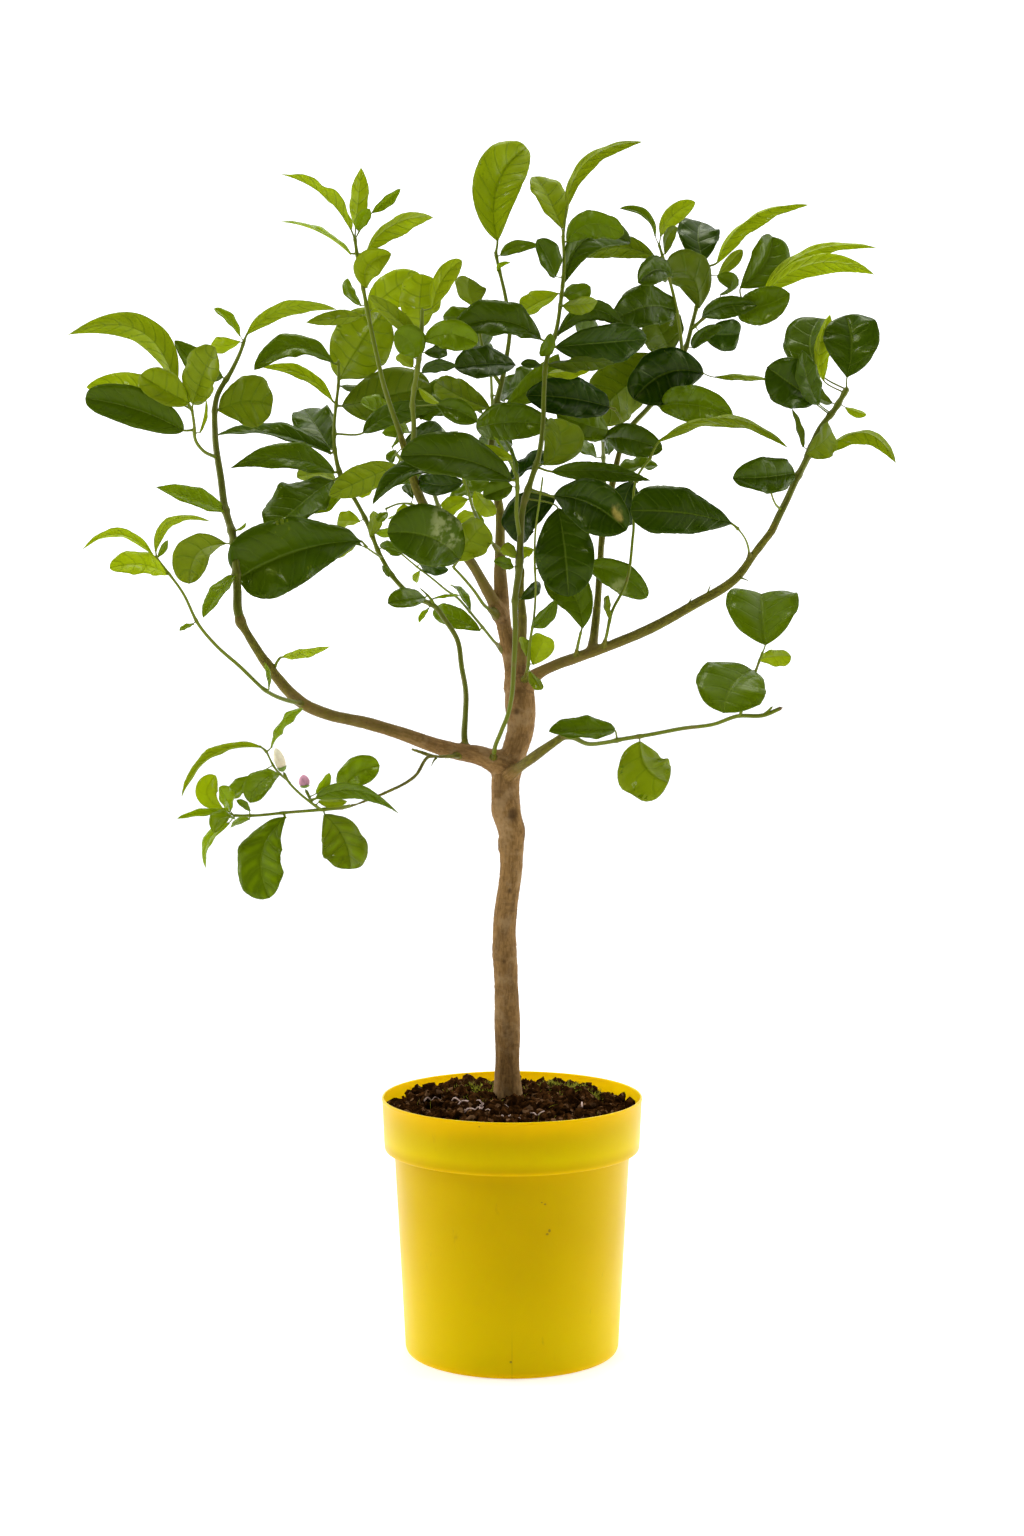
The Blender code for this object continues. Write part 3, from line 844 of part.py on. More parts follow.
def make_wood(shoots, solids):
    """Trunk, leader, limbs, thorns and the collars that carry the shoots, joined into one."""
    x, y = (value * CM for value in TRUNK_FOOT)
    foot = [np.array((x, y, TRUNK_FOOT_BOTTOM)), np.array((x, y, SOIL_EDGE_HEIGHT + 0.0115))]
    path = foot + [place(*point[:3]) for point in TRUNK[1:]]
    radii = [TRUNK_FOOT_RADIUS] * 2 + [point[3] * CM / 2.0 for point in TRUNK[1:]]
    shapes = [tube_shape(path, radii, TRUNK_SIDES, start=np.array((0.0, 0.0, 1.0))), stem_shape(LEADER, 8)]
    shapes.extend(stem_shape(limb, 8 if limb[0][3] > 1.3 else 6 if limb[0][3] > 0.6 else 5) for limb in LIMBS)
    for root, tip in THORNS:
        shapes.append(tube_shape([place(*root), place(*tip)], [0.0009, 0.0002], 4))
    for name, stems, leaves in shoots:
        first, direction = shoot_start(stems)
        collar = stems[0][:2]
        shapes.append(stem_shape(collar, stem_sides(stems[0][1:]), end=direction))
    made = [mesh_object("wood", *shape) for shape in shapes]
    for shape in shapes:
        solids.add("wood", *shape)
    wood = combine(made[0], made[1:], "UNION")
    return finish(wood, "wood", (0.29, 0.2, 0.11), 0.8)


def shoot_stems(stems):
    """The stem shapes of a shoot; the first starts a hair's breadth past its collar."""
    start, direction = shoot_start(stems)
    path = [start + direction * GAP] + [place(*point[:3]) for point in stems[0][2:]]
    radii = [point[3] * CM / 2.0 for point in stems[0][1:]]
    shapes = [tube_shape(path, radii, stem_sides(stems[0][1:]), start=direction)]
    shapes.extend(stem_shape(stem, stem_sides(stem)) for stem in stems[1:])
    return shapes


def leafy_colour(leaves):
    """One green for a shoot, between dark and yellow-green by the mean tone of its leaves."""
    tone = sum(leaf[8] for leaf in leaves) / len(leaves)
    dark, light = (0.035, 0.1, 0.008), (0.3, 0.4, 0.015)
    return tuple(a + (b - a) * tone for a, b in zip(dark, light))


def make_shoot(name, stems, leaves, stem_shapes, solids, blades):
    made = [mesh_object(name, *shape) for shape in stem_shapes]
    for number, leaf in enumerate(leaves):
        root = nearest_on_stems(stems, leaf[0], leaf[1])
        draw = leaf_draw(name, number)
        chosen = settle_leaf(name, number, leaf, root, draw, solids, blades)
        shape = leaf_shape(leaf, root, draw, *chosen)
        solids.add(name, *shape)
        blades.add(name, *leaf_shape(leaf, root, draw, *chosen, blade_only=True))
        made.append(mesh_object(name + "_leaf", *shape))
    shoot = combine(made[0], made[1:], "UNION")
    return finish(shoot, name, leafy_colour(leaves), 0.4)


def bud_shape(bud):
    """A plump bud turned about its own axis: round below, drawn to a blunt point above."""
    root, tip = place(*bud[0]), place(*bud[1])
    along = tip - root
    share = np.array((0.0, 0.12, 0.3, 0.52, 0.74, 0.92, 1.0))
    swell = np.array((0.32, 0.72, 0.95, 1.0, 0.8, 0.42, 0.1))
    return tube_shape([root + along * s for s in share], swell * bud[2] * CM / 2.0, BUD_SIDES)


def make_bud(name, bud, colour, solids):
    shape = bud_shape(bud)
    solids.add(name, *shape)
    return finish(mesh_object(name, *shape), name, colour, 0.5)


def main():
    for old in list(bpy.data.objects):
        bpy.data.objects.remove(old, do_unlink=True)
    shoots = SHOOTS + [back_shoot(*back) for back in BACK_SHOOTS]
    solids, blades = Neighbours(), Neighbours()
    make_pot()
    make_soil()
    make_wood(shoots, solids)
    make_bud("bud_cream", CREAM_BUD, (0.85, 0.78, 0.55), solids)
    make_bud("bud_pink", PINK_BUD, (0.55, 0.3, 0.33), solids)
    stem_shapes = {name: shoot_stems(stems) for name, stems, leaves in shoots}
    for name, shapes in stem_shapes.items():
        for shape in shapes:
            solids.add(name, *shape)
    for name, stems, leaves in shoots:
        make_shoot(name, stems, leaves, stem_shapes[name], solids, blades)


main()
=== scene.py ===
"""Looks of a potted citron tree: leafy shoots, bark, potting soil with moss, flower buds and a plastic pot.

The tree's places are written in centimetres as they are seen from the front: across and up on the plane
through the pot's middle, then the depth behind that plane. A point that is given a depth slides along the
line of sight from EYE, so the front outline stays and the crown still reaches forward and back.
"""

import math
import random

import bpy
import numpy as np
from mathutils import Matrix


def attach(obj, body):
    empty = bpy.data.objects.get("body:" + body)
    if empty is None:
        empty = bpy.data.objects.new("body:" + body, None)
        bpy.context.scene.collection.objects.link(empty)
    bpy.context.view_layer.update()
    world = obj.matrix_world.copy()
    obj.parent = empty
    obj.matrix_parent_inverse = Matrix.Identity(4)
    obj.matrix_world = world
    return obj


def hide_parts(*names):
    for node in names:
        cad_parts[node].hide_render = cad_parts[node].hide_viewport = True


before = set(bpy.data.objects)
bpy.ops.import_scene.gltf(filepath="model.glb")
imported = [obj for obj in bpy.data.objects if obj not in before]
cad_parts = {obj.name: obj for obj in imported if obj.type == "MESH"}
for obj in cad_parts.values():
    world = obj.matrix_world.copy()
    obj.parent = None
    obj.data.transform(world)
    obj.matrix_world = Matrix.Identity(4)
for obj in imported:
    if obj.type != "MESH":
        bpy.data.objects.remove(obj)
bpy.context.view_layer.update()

bl_info = {
    "name": "Potted citron tree",
    "version": (1, 0, 0),
    "blender": (4, 5, 0),
    "location": "3D View > Sidebar > Citron",
    "description": "Makes the shoots, bark, soil, buds and pot of a citron tree and its studio",
    "category": "Add Mesh",
}

CM = 0.01
EYE = np.array((0.0, -2.19, 0.678))
VIEW_PITCH = 0.064
LENS, SENSOR_WIDTH = 56.25, 36.0
TRUNK_DEPTH = 1.0
DEPTH_SPREAD = 1.4
TAU = 2.0 * math.pi
LATTICE = 32
BLOCK = 4000

# The trunk, the leader above it and each limb: across, up, depth and thickness in centimetres, from the
# root outwards.
TRUNK = [(-0.39, 23.4, 1.2, 2.9), (-0.42, 25.5, 1.2, 2.5), (-0.46, 31, 1.1, 2.37), (-0.6, 35.5, 1, 2.19),
         (-0.72, 38.6, 1, 2.19), (-0.45, 41.8, 1, 2.1), (-0.12, 44.5, 1, 2.12), (-0.1, 47.6, 1, 2.4),
         (-0.45, 50, 1, 2.5), (-0.55, 52.8, 1, 2.7), (0.2, 55.2, 1, 2.4), (0.7, 57, 1, 2.4),
         (0.75, 60, 1.1, 2.6), (0.6, 62.2, 1.1, 2.3)]
LEADER = [(0.5, 61, 1.3, 1.8), (-0.1, 63.5, 1.4, 1.5), (-0.6, 66, 1.5, 1.4), (-0.9, 68, 1.6, 1.4),
          (-1.05, 71, 1.7, 1.2), (-1.1, 74, 1.8, 1), (-1.1, 77, 1.8, 0.88), (-1.6, 79.8, 1.7, 0.8),
          (-1.9, 82, 1.6, 0.7)]
LIMBS = [
    [(-0.9, 54.1, 0.9, 2), (-3, 54.9, 0.7, 1.7), (-5, 55.3, 0.5, 1.6), (-7.5, 56, 0.2, 1.4),
     (-10, 56.9, 0, 1.25), (-13, 57.8, -0.3, 1.15), (-17.2, 58.8, -0.6, 1.05),
     (-18.8, 59.5, -0.8, 1.1), (-21.8, 62.5, -0.9, 0.95), (-23.5, 65, -1, 0.85),
     (-24.6, 66.9, -1, 0.9)],
    [(-1, 67.6, 1.4, 1.2), (-2.3, 70, 0.6, 1.1), (-3.6, 72.3, -0.3, 1), (-5.5, 74.8, -1.4, 0.95),
     (-7.6, 77, -2.4, 0.9), (-8.6, 79, -3, 0.85), (-9.2, 81, -3.6, 0.8), (-9.8, 83, -4, 0.72)],
    [(1, 61.2, 1, 1.5), (2.4, 62.4, 0.4, 1.2), (4, 63.2, -0.2, 1.1), (6, 63.9, -0.9, 1.05),
     (8, 64.6, -1.4, 1), (12.2, 66.3, -2.4, 0.9), (16.6, 68.7, -3.2, 0.85), (20.4, 71.1, -3.6, 0.8),
     (22.2, 73.5, -3.8, 0.75), (23.6, 75.3, -3.9, 0.8)],
    [(7.3, 64.4, -1.2, 0.8), (7.8, 69, 0.2, 0.75), (8, 72, 1, 0.72), (8.2, 75, 1.6, 0.68),
     (8.8, 78, 2.1, 0.65), (9.4, 81, 2.6, 0.62), (9.8, 82.8, 2.9, 0.58)],
    [(-0.2, 53.2, 0.2, 1), (2, 54.8, -1.2, 0.95), (4.7, 56.7, -2.4, 0.8)],
    [(0.6, 61.6, 1.2, 1.3), (0.8, 65, 1, 1.1), (0.95, 67.5, 0.7, 0.9), (0.8, 69.8, 0.4, 0.65),
     (1, 72, 0.1, 0.4)],
    [(-4.8, 54.9, 0.2, 0.4), (-6.5, 54.8, -1.6, 0.4), (-7.6, 54.8, -2.4, 0.4), (-8.8, 53.1, -3.6, 0.38),
     (-11.8, 51.4, -5.4, 0.36), (-14.3, 50.4, -6.6, 0.34)],
    [(-7.2, 54.8, -2.2, 0.36), (-8.3, 55.2, -2, 0.34), (-9.2, 55.5, -1.8, 0.3)],
]
THORNS = [((20.4, 71.1, -3.6), (21.7, 70.7, -4.3)), ((17.7, 69.3, -3.3), (18.1, 70.5, -3.9)),
          ((-6.9, 54.7, -1.9), (-7.4, 53.9, -2.2)), ((15.9, 68.3, -3.1), (16.4, 69.3, -3.5))]

# Each shoot: its name, its stems as the limbs above, where the first step of the first stem is the brown
# collar that carries it, and its leaves: base across and up, tip across and up, width, turn of the face from
# the front in degrees (180 shows the underside), sideways bow, depth of the tip behind the base, and tone
# from 0, dark green, to 1, yellow-green.
SHOOTS = [
    ("left_tall", [
        [(-24.6, 66.9, -1, 0.9), (-24.9, 67.8, -1, 0.85), (-25, 70, -0.6, 0.78), (-25.4, 75, 0.2, 0.7),
         (-26.1, 77.5, 0.8, 0.68), (-26.4, 80, 1.4, 0.65), (-26.9, 84, 2.2, 0.58), (-26.7, 87.5, 3, 0.5),
         (-25.3, 89.9, 3.5, 0.42), (-24.5, 91.6, 3.8, 0.34), (-24.2, 92.5, 4, 0.3)],
        [(-26.8, 82, 1.8, 0.35), (-28, 82.6, 0.4, 0.32), (-28.7, 83.6, -0.6, 0.3), (-28.8, 85, -1.4, 0.28),
         (-29, 86.4, -1.8, 0.24)],
    ], [
        (-30.4, 88.3, -40.1, 93, 2.9, 165, -3, 1, 0.9), (-24.6, 92.9, -26.9, 95.4, 1.2, 35, -0.2, -1, 0.8),
        (-24.6, 92.4, -27.3, 92.3, 1.7, 165, 0.4, -2, 0.95), (-24, 93, -15.8, 95.4, 1.8, 40, 1.5, -2.5, 0.55),
        (-26.2, 89.2, -30.4, 92.5, 2.5, 15, 0.6, -3, 0.1), (-29.2, 86.9, -33.6, 89.5, 3.4, 20, 0.3, -1.5, 0.35),
        (-28.9, 86.8, -26.9, 91.9, 3.8, -25, 0, -2, 0.45), (-29.8, 84.4, -38.6, 87.2, 3.9, 10, -0.4, -2, 0.1),
        (-31, 87.4, -38.5, 88.3, 2.8, 175, -0.4, 2.5, 0.9), (-26.6, 86.2, -21.8, 86.6, 5, 0, 0.6, 2.5, 0.5),
        (-28.3, 84.2, -27.6, 87.2, 0.8, 120, 0.1, 0.5, 0.8), (-26.1, 77.2, -32.4, 79.2, 2.4, 35, 0.1, -3, 0.3),
        (-26, 74.2, -29.4, 70.6, 3.9, 152, -1.2, 1.5, 0.85), (-25.1, 75.4, -24.2, 76.1, 0.6, 60, 0, -0.6, 0.8),
        (-25.2, 71.4, -28.2, 67.7, 1.8, 40, 0, -3, 0.4),
    ]),
    ("left_spray", [
        [(-18.9, 59.6, -0.8, 0.5), (-19.9, 59.8, -1.8, 0.4), (-22.1, 60.6, -3.8, 0.35), (-25, 63.2, -6, 0.33),
         (-27, 65, -7.2, 0.3), (-28.5, 66.8, -8, 0.28), (-30, 69.8, -8.8, 0.24), (-31.3, 71.6, -9.2, 0.22),
         (-32.4, 73, -9.4, 0.2)],
    ], [
        (-32.4, 73.5, -27.6, 76, 1.1, 40, 1.9, -2, 0.7), (-32.7, 73.2, -39, 73.7, 1.1, 140, -1.3, -2, 0.75),
        (-31.4, 71.4, -36.6, 71.9, 2.4, 30, -0.5, -2, 0.5), (-32.2, 73, -31.3, 74.5, 0.7, 20, 0, 1, 0.5),
        (-22.2, 60.9, -22.6, 63.4, 0.8, 60, 0.1, -1.5, 0.6), (-29, 66.9, -30.3, 66.3, 0.6, 40, 0, -0.5, 0.6),
    ]),
    ("limb_sprig", [
        [(-21.7, 62.6, -0.9, 0.4), (-21.5, 63.3, -1.1, 0.26), (-21.1, 63.9, -1.3, 0.2)],
    ], [
        (-20.9, 63.9, -16.6, 64.9, 1.2, 45, 0.2, -3, 0.6),
    ]),
    ("left_middle", [
        [(-4.3, 55.6, 0.7, 0.7), (-4.35, 56.7, 0.9, 0.58), (-4.25, 58.5, 1.4, 0.52), (-4.2, 60.6, 1.9, 0.5),
         (-4.6, 63, 2.6, 0.5), (-5, 65.5, 3.3, 0.48), (-6.1, 67.3, 4, 0.48), (-7, 68.5, 4.5, 0.5),
         (-9, 69.4, 5.2, 0.45), (-10.6, 70.9, 5.8, 0.45), (-12, 73.2, 6.4, 0.42), (-13.2, 76.2, 6.9, 0.42),
         (-14.4, 78.4, 7.3, 0.42), (-15.4, 80, 7.6, 0.48), (-16, 82.2, 7.9, 0.4), (-16.1, 85, 8.2, 0.34),
         (-15.9, 87, 8.3, 0.3), (-15.7, 88.8, 8.3, 0.28), (-15.7, 90.8, 8.2, 0.24)],
        [(-11.8, 72.9, 6.3, 0.22), (-12.6, 73.4, 5, 0.2), (-13.3, 73.9, 3.6, 0.18)],
        [(-7, 68.5, 4.5, 0.3), (-7.4, 69.2, 4.4, 0.22), (-8.4, 70.2, 4.2, 0.12)],
    ], [
        (-7.9, 69.3, -11.3, 68.8, 2.4, 20, 0, -3, 0.5), (-7.2, 69.2, -4.7, 69.4, 0.8, 60, 0.4, 1, 0.6),
        (-7.6, 68.3, -8.5, 67.1, 0.7, 40, 0, -1, 0.8), (-11.2, 71.2, -11.8, 72.2, 0.8, 30, 0, -1, 0.3),
        (-13.6, 74.4, -25, 71, 6.2, 5, -0.8, -4, 0.1), (-13.7, 74, -17.9, 75.2, 1.7, 30, -0.4, -2, 0.15),
        (-14.2, 74.1, -17, 72.8, 1.7, 150, 0, 2, 0.5), (-16.2, 79.9, -21.9, 75, 5.4, 35, 0, -4, 0.2),
        (-15.4, 79.2, -18.2, 77.1, 1.7, 30, 0.6, -1, 0.6), (-16, 79.9, -19.5, 80.2, 2.3, 150, -0.3, 2.5, 0.85),
        (-16.1, 80.6, -25.6, 81, 2.9, 25, -1, -4, 0.1), (-16.4, 82.3, -27.3, 84.2, 2.8, 50, -0.6, 1.5, 0.15),
        (-16.4, 82.7, -18.9, 86.6, 4.1, 10, 0, 4, 0.5), (-16.2, 87, -22.6, 90.1, 1.4, 30, -1, -1, 0.75),
        (-16.1, 90.4, -23.3, 89.8, 2.6, 30, -1.7, -2.5, 0.1), (-15.6, 89, -11.4, 95.2, 6.4, 175, 0.3, 2, 0.9),
        (-13.8, 76.2, -15.9, 76.3, 1.9, 150, 0, -1.5, 0.8), (-12.9, 74.8, -12.4, 77.1, 1.5, 150, 0, -2, 0.5),
        (-12.5, 75.2, -9.3, 75.6, 1.1, 30, 0, -2, 0.85), (-14.2, 78.6, -12.7, 79.4, 1.2, 150, 0, 0.5, 0.9),
        (-15.4, 86.6, -7.4, 88.4, 6, 175, 0, 1, 0.6), (-15.5, 88.4, -12.9, 88.4, 1, 140, 0, 2, 0.2),
        (-13.5, 84.2, -6.3, 86.6, 2.2, 10, 0.9, -4, 0.05), (-11.6, 73.9, -10, 73.3, 1, 20, 0, -1, 0.3),
    ]),
    ("low_left", [
        [(-14.3, 50.4, -6.6, 0.34), (-15.2, 50.2, -7.2, 0.32), (-18, 49.9, -8.4, 0.28), (-20.5, 49.7, -9.2, 0.26),
         (-23.7, 49.4, -10, 0.24), (-25.6, 49.4, -10.4, 0.22)],
        [(-17.4, 49.9, -8.2, 0.24), (-18.4, 50.6, -8.8, 0.22), (-19.5, 51.5, -9.2, 0.22), (-20.5, 52.6, -9.5, 0.22),
         (-20.9, 53.4, -9.6, 0.3)],
        [(-18.3, 50.5, -8.7, 0.2), (-18.6, 51.2, -8.4, 0.22), (-18.9, 51.8, -8.2, 0.34)],
        [(-20.3, 52.4, -9.4, 0.2), (-21.7, 53.8, -8.6, 0.18), (-22.5, 55.4, -8.4, 0.16)],
    ], [
        (-22.9, 55.7, -30.5, 51.3, 1.3, 55, -1.1, -2, 0.6), (-22, 55.6, -19, 59.1, 1.5, 60, 0.9, 1.5, 0.7),
        (-21.2, 53.2, -24, 50.5, 2.4, 15, -0.6, -2.5, 0.4), (-23.6, 53, -25.6, 51.2, 1.7, 20, 0, 0.5, 0.6),
        (-26.4, 50, -27.1, 53.1, 2.1, 0, 1.1, 0.5, 0.8), (-25.8, 49.8, -26.8, 52, 1.7, 35, 0, -2, 0.2),
        (-26.3, 49.7, -30.6, 49, 1, 40, 0, -1, 0.7), (-25.4, 49.1, -27.3, 47.8, 1.7, 35, -0.6, -2, 0.35),
        (-25.9, 48.7, -28, 44.6, 1.2, 45, -0.8, 1, 0.8), (-24, 49.1, -25.8, 48.3, 0.8, 40, 0, 1.5, 0.6),
        (-20.7, 49.3, -22.4, 41.8, 4.3, 25, -1.2, -2, 0.45), (-17.2, 49.5, -14.8, 44.5, 4.3, 165, 0.6, -1, 0.7),
        (-17.9, 51, -10.3, 49.7, 1.6, 25, 1.4, -3, 0.3), (-17.7, 50.7, -15.1, 50.7, 1.1, 150, 0, 0.5, 0.6),
        (-15.7, 51.3, -12.1, 54, 2.8, -12, 0.6, -1.5, 0.4), (-17.9, 51.4, -16.7, 53.3, 1, 30, 0, -1, 0.6),
        (-24, 49.8, -25.2, 50.8, 0.8, 30, 0, -1, 0.5),
    ]),
    ("upper_left", [
        [(-9.8, 83, -4, 0.72), (-10.2, 84.3, -4.2, 0.5), (-10.9, 86.3, -4.4, 0.45), (-11.6, 88.5, -4.6, 0.42),
         (-12.2, 91, -4.8, 0.38), (-12.8, 93.8, -5, 0.36), (-13.3, 96.5, -5.1, 0.33), (-13.8, 99, -5.1, 0.3),
         (-14.2, 101.8, -5, 0.28)],
    ], [
        (-14.5, 102.4, -20.7, 107.3, 2.3, 120, -0.4, -1.5, 0.8),
        (-14.5, 100.2, -20.8, 103.1, 1.3, 70, -0.1, 0.5, 0.7), (-14.1, 102.6, -13.6, 107.9, 1.8, 162, 0, 1.5, 0.7),
        (-13.8, 102.3, -12.8, 104.2, 1.3, 20, 0.3, -1.5, 0.6), (-12.6, 103.9, -10, 106, 1.1, 30, 0.1, 1, 0.6),
        (-13.2, 100.3, -6.9, 103.3, 2.1, 150, 1.3, -2, 0.75), (-13.1, 97.2, -10.9, 100.2, 2.8, 5, 1.1, -1.5, 0.5),
        (-12.8, 95.1, -8.3, 98.3, 3.4, 175, 0.4, 1.5, 0.95), (-13.6, 95.6, -14.8, 98.1, 1.2, 30, 0.6, 1, 0.6),
        (-13.6, 94.7, -18.6, 94.1, 1.4, 170, 0, 1, 0.1),
    ]),
    ("crown_left", [
        [(-9.6, 82, -3.8, 0.72), (-9, 83.4, -4.9, 0.5), (-8.9, 85, -5.6, 0.45), (-9, 87, -6.2, 0.42),
         (-8.7, 89, -6.7, 0.42), (-8.4, 91, -7.1, 0.4), (-8.2, 93, -7.4, 0.35), (-8.1, 95.4, -7.6, 0.26)],
    ], [
        (-8.2, 93.6, -8, 98.4, 3.8, 170, 0.3, 1.5, 0.9), (-8.6, 92.8, -12.9, 96.5, 1.6, 155, 0, -1.5, 0.2),
        (-8.9, 90.9, -10.6, 93.2, 2.8, 5, -0.6, -2, 0.5), (-9, 90.1, -10.4, 91.2, 1.6, 150, 0, -1.5, 0.95),
        (-7.9, 91.4, -5.8, 91.7, 1.3, 10, 0, 1.5, 0.05), (-7.9, 92.4, -3.2, 92.2, 2.8, 10, 0.8, -1.5, 0.45),
        (-8.1, 89.6, -5, 90.3, 1.4, 30, 0.5, -2, 0.4), (-8.4, 88.2, -6.6, 86.8, 0.9, 150, 0, -1, 0.7),
        (-6.8, 86.7, -3.1, 85.2, 2.3, 10, 0.3, -1.5, 0.35), (-7.2, 95.4, -4.6, 99.6, 1.9, 15, 0.6, 1, 0.3),
    ]),
    ("leader_top", [
        [(-1.9, 82, 1.6, 0.7), (-1.85, 83.2, 1.6, 0.62), (-1.6, 86, 1.5, 0.58), (-1, 88.5, 1.3, 0.5),
         (-0.5, 91, 1.2, 0.42), (-0.2, 93.5, 1, 0.38), (-0.6, 96.5, 0.9, 0.34), (-1.2, 99, 0.8, 0.3),
         (-1.5, 100.4, 0.8, 0.28)],
        [(-1, 88.5, 1.3, 0.38), (-2.2, 90.5, 0.4, 0.34), (-2.8, 92.5, 0.1, 0.3), (-3, 95, 0, 0.28)],
    ], [
        (-1.3, 101.4, 1.4, 109.8, 5, -5, 1.5, 1.5, 0.3), (-1, 100.1, 2.3, 100.9, 1.3, 10, 0.5, -1.5, 0.7),
        (-3.1, 95.4, -3.8, 98.1, 3.3, 150, 0.5, -1.5, 0.1), (-3.4, 94.4, -6.3, 94.7, 1.9, 20, 0, 0.5, 0.3),
        (-3.1, 91.8, -6.9, 92.5, 1.8, 30, 0, 2, 0.4), (0.3, 90.3, -5.2, 90, 3.4, 20, -0.2, -4, 0.1),
        (-2, 86.4, -7, 88.9, 2.8, 165, 0.3, -3, 0.92), (-3.2, 84.6, 3.4, 84.9, 3.6, -10, 0.3, -4, 0.3),
        (-0.5, 86.8, 4.2, 91.2, 2.6, 5, -0.5, -2.5, 0.4), (-1.3, 98.7, -0.2, 99.4, 0.6, 30, 0.4, -1, 0.9),
    ]),
    ("front", [
        [(-1.7, 54.6, 0.2, 0.5), (-1.6, 55.5, -0.6, 0.4), (-0.95, 57.2, -1.8, 0.4), (-0.35, 58.7, -2.3, 0.4),
         (0, 60.5, -2.6, 0.42), (0.15, 63, -2.9, 0.45), (0.3, 66.5, -3.2, 0.5), (0.3, 69.3, -3.4, 0.55),
         (0.6, 71.5, -3.5, 0.62), (0.75, 74.5, -3.6, 0.62), (1, 77.5, -3.7, 0.58), (1.7, 79.8, -3.7, 0.52),
         (2.4, 82, -3.6, 0.48), (2.8, 85, -3.3, 0.45), (2.9, 88, -3, 0.42), (3.2, 91, -2.7, 0.4),
         (3.9, 93, -2.4, 0.38), (4.4, 96, -2.1, 0.34), (4.7, 99.5, -1.8, 0.3), (4.6, 102, -1.6, 0.26)],
        [(0.7, 74.8, -3.6, 0.42), (0.4, 77, -4.6, 0.38), (0.5, 79.5, -5.2, 0.35), (0.2, 81.8, -5.6, 0.3)],
    ], [
        (4.5, 102.5, 2.2, 107.3, 3.5, 40, 0, 1.5, 0.6), (4.9, 104.2, 11.7, 110.2, 1.7, 150, 2.2, 1, 0.8),
        (3.9, 98.2, 2.3, 101.5, 2.8, 30, 0, -2, 0.1), (5, 101.3, 10.1, 102, 2.7, 15, 1.4, -2, 0.35),
        (4.6, 97.4, 10.5, 101.2, 3.5, -5, 2.3, 2, 0.15), (4.2, 96.7, 0.9, 95.1, 2.4, 160, 0, -1.5, 0.8),
        (4.7, 96.5, 7, 97.2, 2, 20, 0, -2.5, 0.3), (4.6, 95.6, 7.6, 96, 1.7, 160, 0, -4, 0.95),
        (2.6, 92.6, -5.2, 93.6, 3.7, 28, -0.9, -3, 0.08), (3.9, 91.9, 12.4, 92.5, 4, 15, 0.2, 2.5, 0.1),
        (4.1, 92.9, 10.1, 93.6, 2, 15, 2.1, -2, 0.3), (3.2, 90.3, 9.4, 90.3, 1.8, 140, 0.5, -3, 0.05),
        (3.2, 89.5, 7.5, 90.2, 1.4, 150, 0, 1, 0.95), (2.8, 91.1, 3.5, 93, 1.4, 20, 0, -2.5, 0.6),
        (2.6, 90.3, 0.8, 90.4, 0.9, 20, 0, -1, 0.1), (2.9, 81.3, 3.7, 85.3, 4.1, 165, -1, -3, 1),
        (3.6, 80.7, 12.6, 79.9, 1.9, 15, 0.5, -2, 0.15), (3.8, 78.5, 10.3, 75.4, 5.1, 2, 0.8, -3.5, 0.1),
        (4.2, 77.4, 5.1, 69.4, 5.4, 4, 0.2, -1, 0.1), (3.9, 78.2, 0.9, 74.2, 3.8, 16, -1.2, 3, 0),
        (0, 79.4, -2.6, 78.5, 2, 10, 0, -1, 0.02), (0, 79.9, -10.1, 82.2, 4.4, 20, -0.7, -3, 0.08),
        (0.5, 80.3, -0.8, 83.9, 0.8, 60, 0, -2, 0.7), (0.4, 80, -1.7, 83.8, 0.8, 70, 0, 1, 0.7),
        (0.1, 81.9, -3.5, 82.9, 1.5, 160, 0.2, 1, 0.8), (0.2, 80.5, -1.5, 82.2, 1, 120, 0, 2, 0.6),
        (0.1, 72.1, -1.6, 72.6, 1.3, 20, 0, -2, 0.4), (0.4, 72.9, -0.9, 74, 1.3, 160, 0, -0.5, 0.85),
        (1, 72.6, 2, 73.7, 1.4, 160, 0.6, 1, 0.85), (0.8, 69.2, 2.7, 70.7, 1.3, 20, 0, 2, 0.05),
    ]),
    ("slender", [
        [(1.2, 61.9, 0.3, 0.6), (1.45, 63, -0.9, 0.3), (1.6, 65, -1.6, 0.26), (2, 67.5, -2.6, 0.22),
         (2.15, 70, -3.6, 0.2), (2.05, 73, -4.6, 0.2), (2.15, 75.5, -5.2, 0.18), (2.5, 78, -5.8, 0.18),
         (2.8, 80.3, -6.2, 0.16)],
    ], [
        (1.9, 63.2, 3, 65.8, 2.5, 175, 0, -1, 0.85), (2, 66.6, 4, 69, 1.8, 20, 0, -1.5, 0.3),
        (2.3, 71.9, 3.3, 74.9, 1.6, 140, 0, -1.5, 0.3), (1.6, 62.6, 2.7, 61, 1.2, 150, 0, -1.5, 0.8),
        (1.3, 64, 0.9, 65.8, 1, 150, 0, -0.5, 0.85),
    ]),
    ("right_inner", [
        [(8, 72, 1, 0.6), (7.4, 72.3, 0.2, 0.28), (6.9, 72.4, -0.3, 0.22), (6.4, 72.4, -0.6, 0.2)],
    ], [
        (6.8, 72.1, 12.3, 69.3, 3.3, 25, 0.9, -2, 0.2), (6.2, 72.6, 5.4, 74.4, 1.6, 30, 0, 1, 0.3),
    ]),
    ("right_leaf", [
        [(5.8, 63.9, -0.9, 0.7), (6, 65, -1.9, 0.3), (6.3, 66.3, -2.6, 0.22)],
    ], [
        (6.4, 66.5, 3, 71.3, 3.7, 10, -1, 0.5, 0.25),
    ]),
    ("inner_left", [
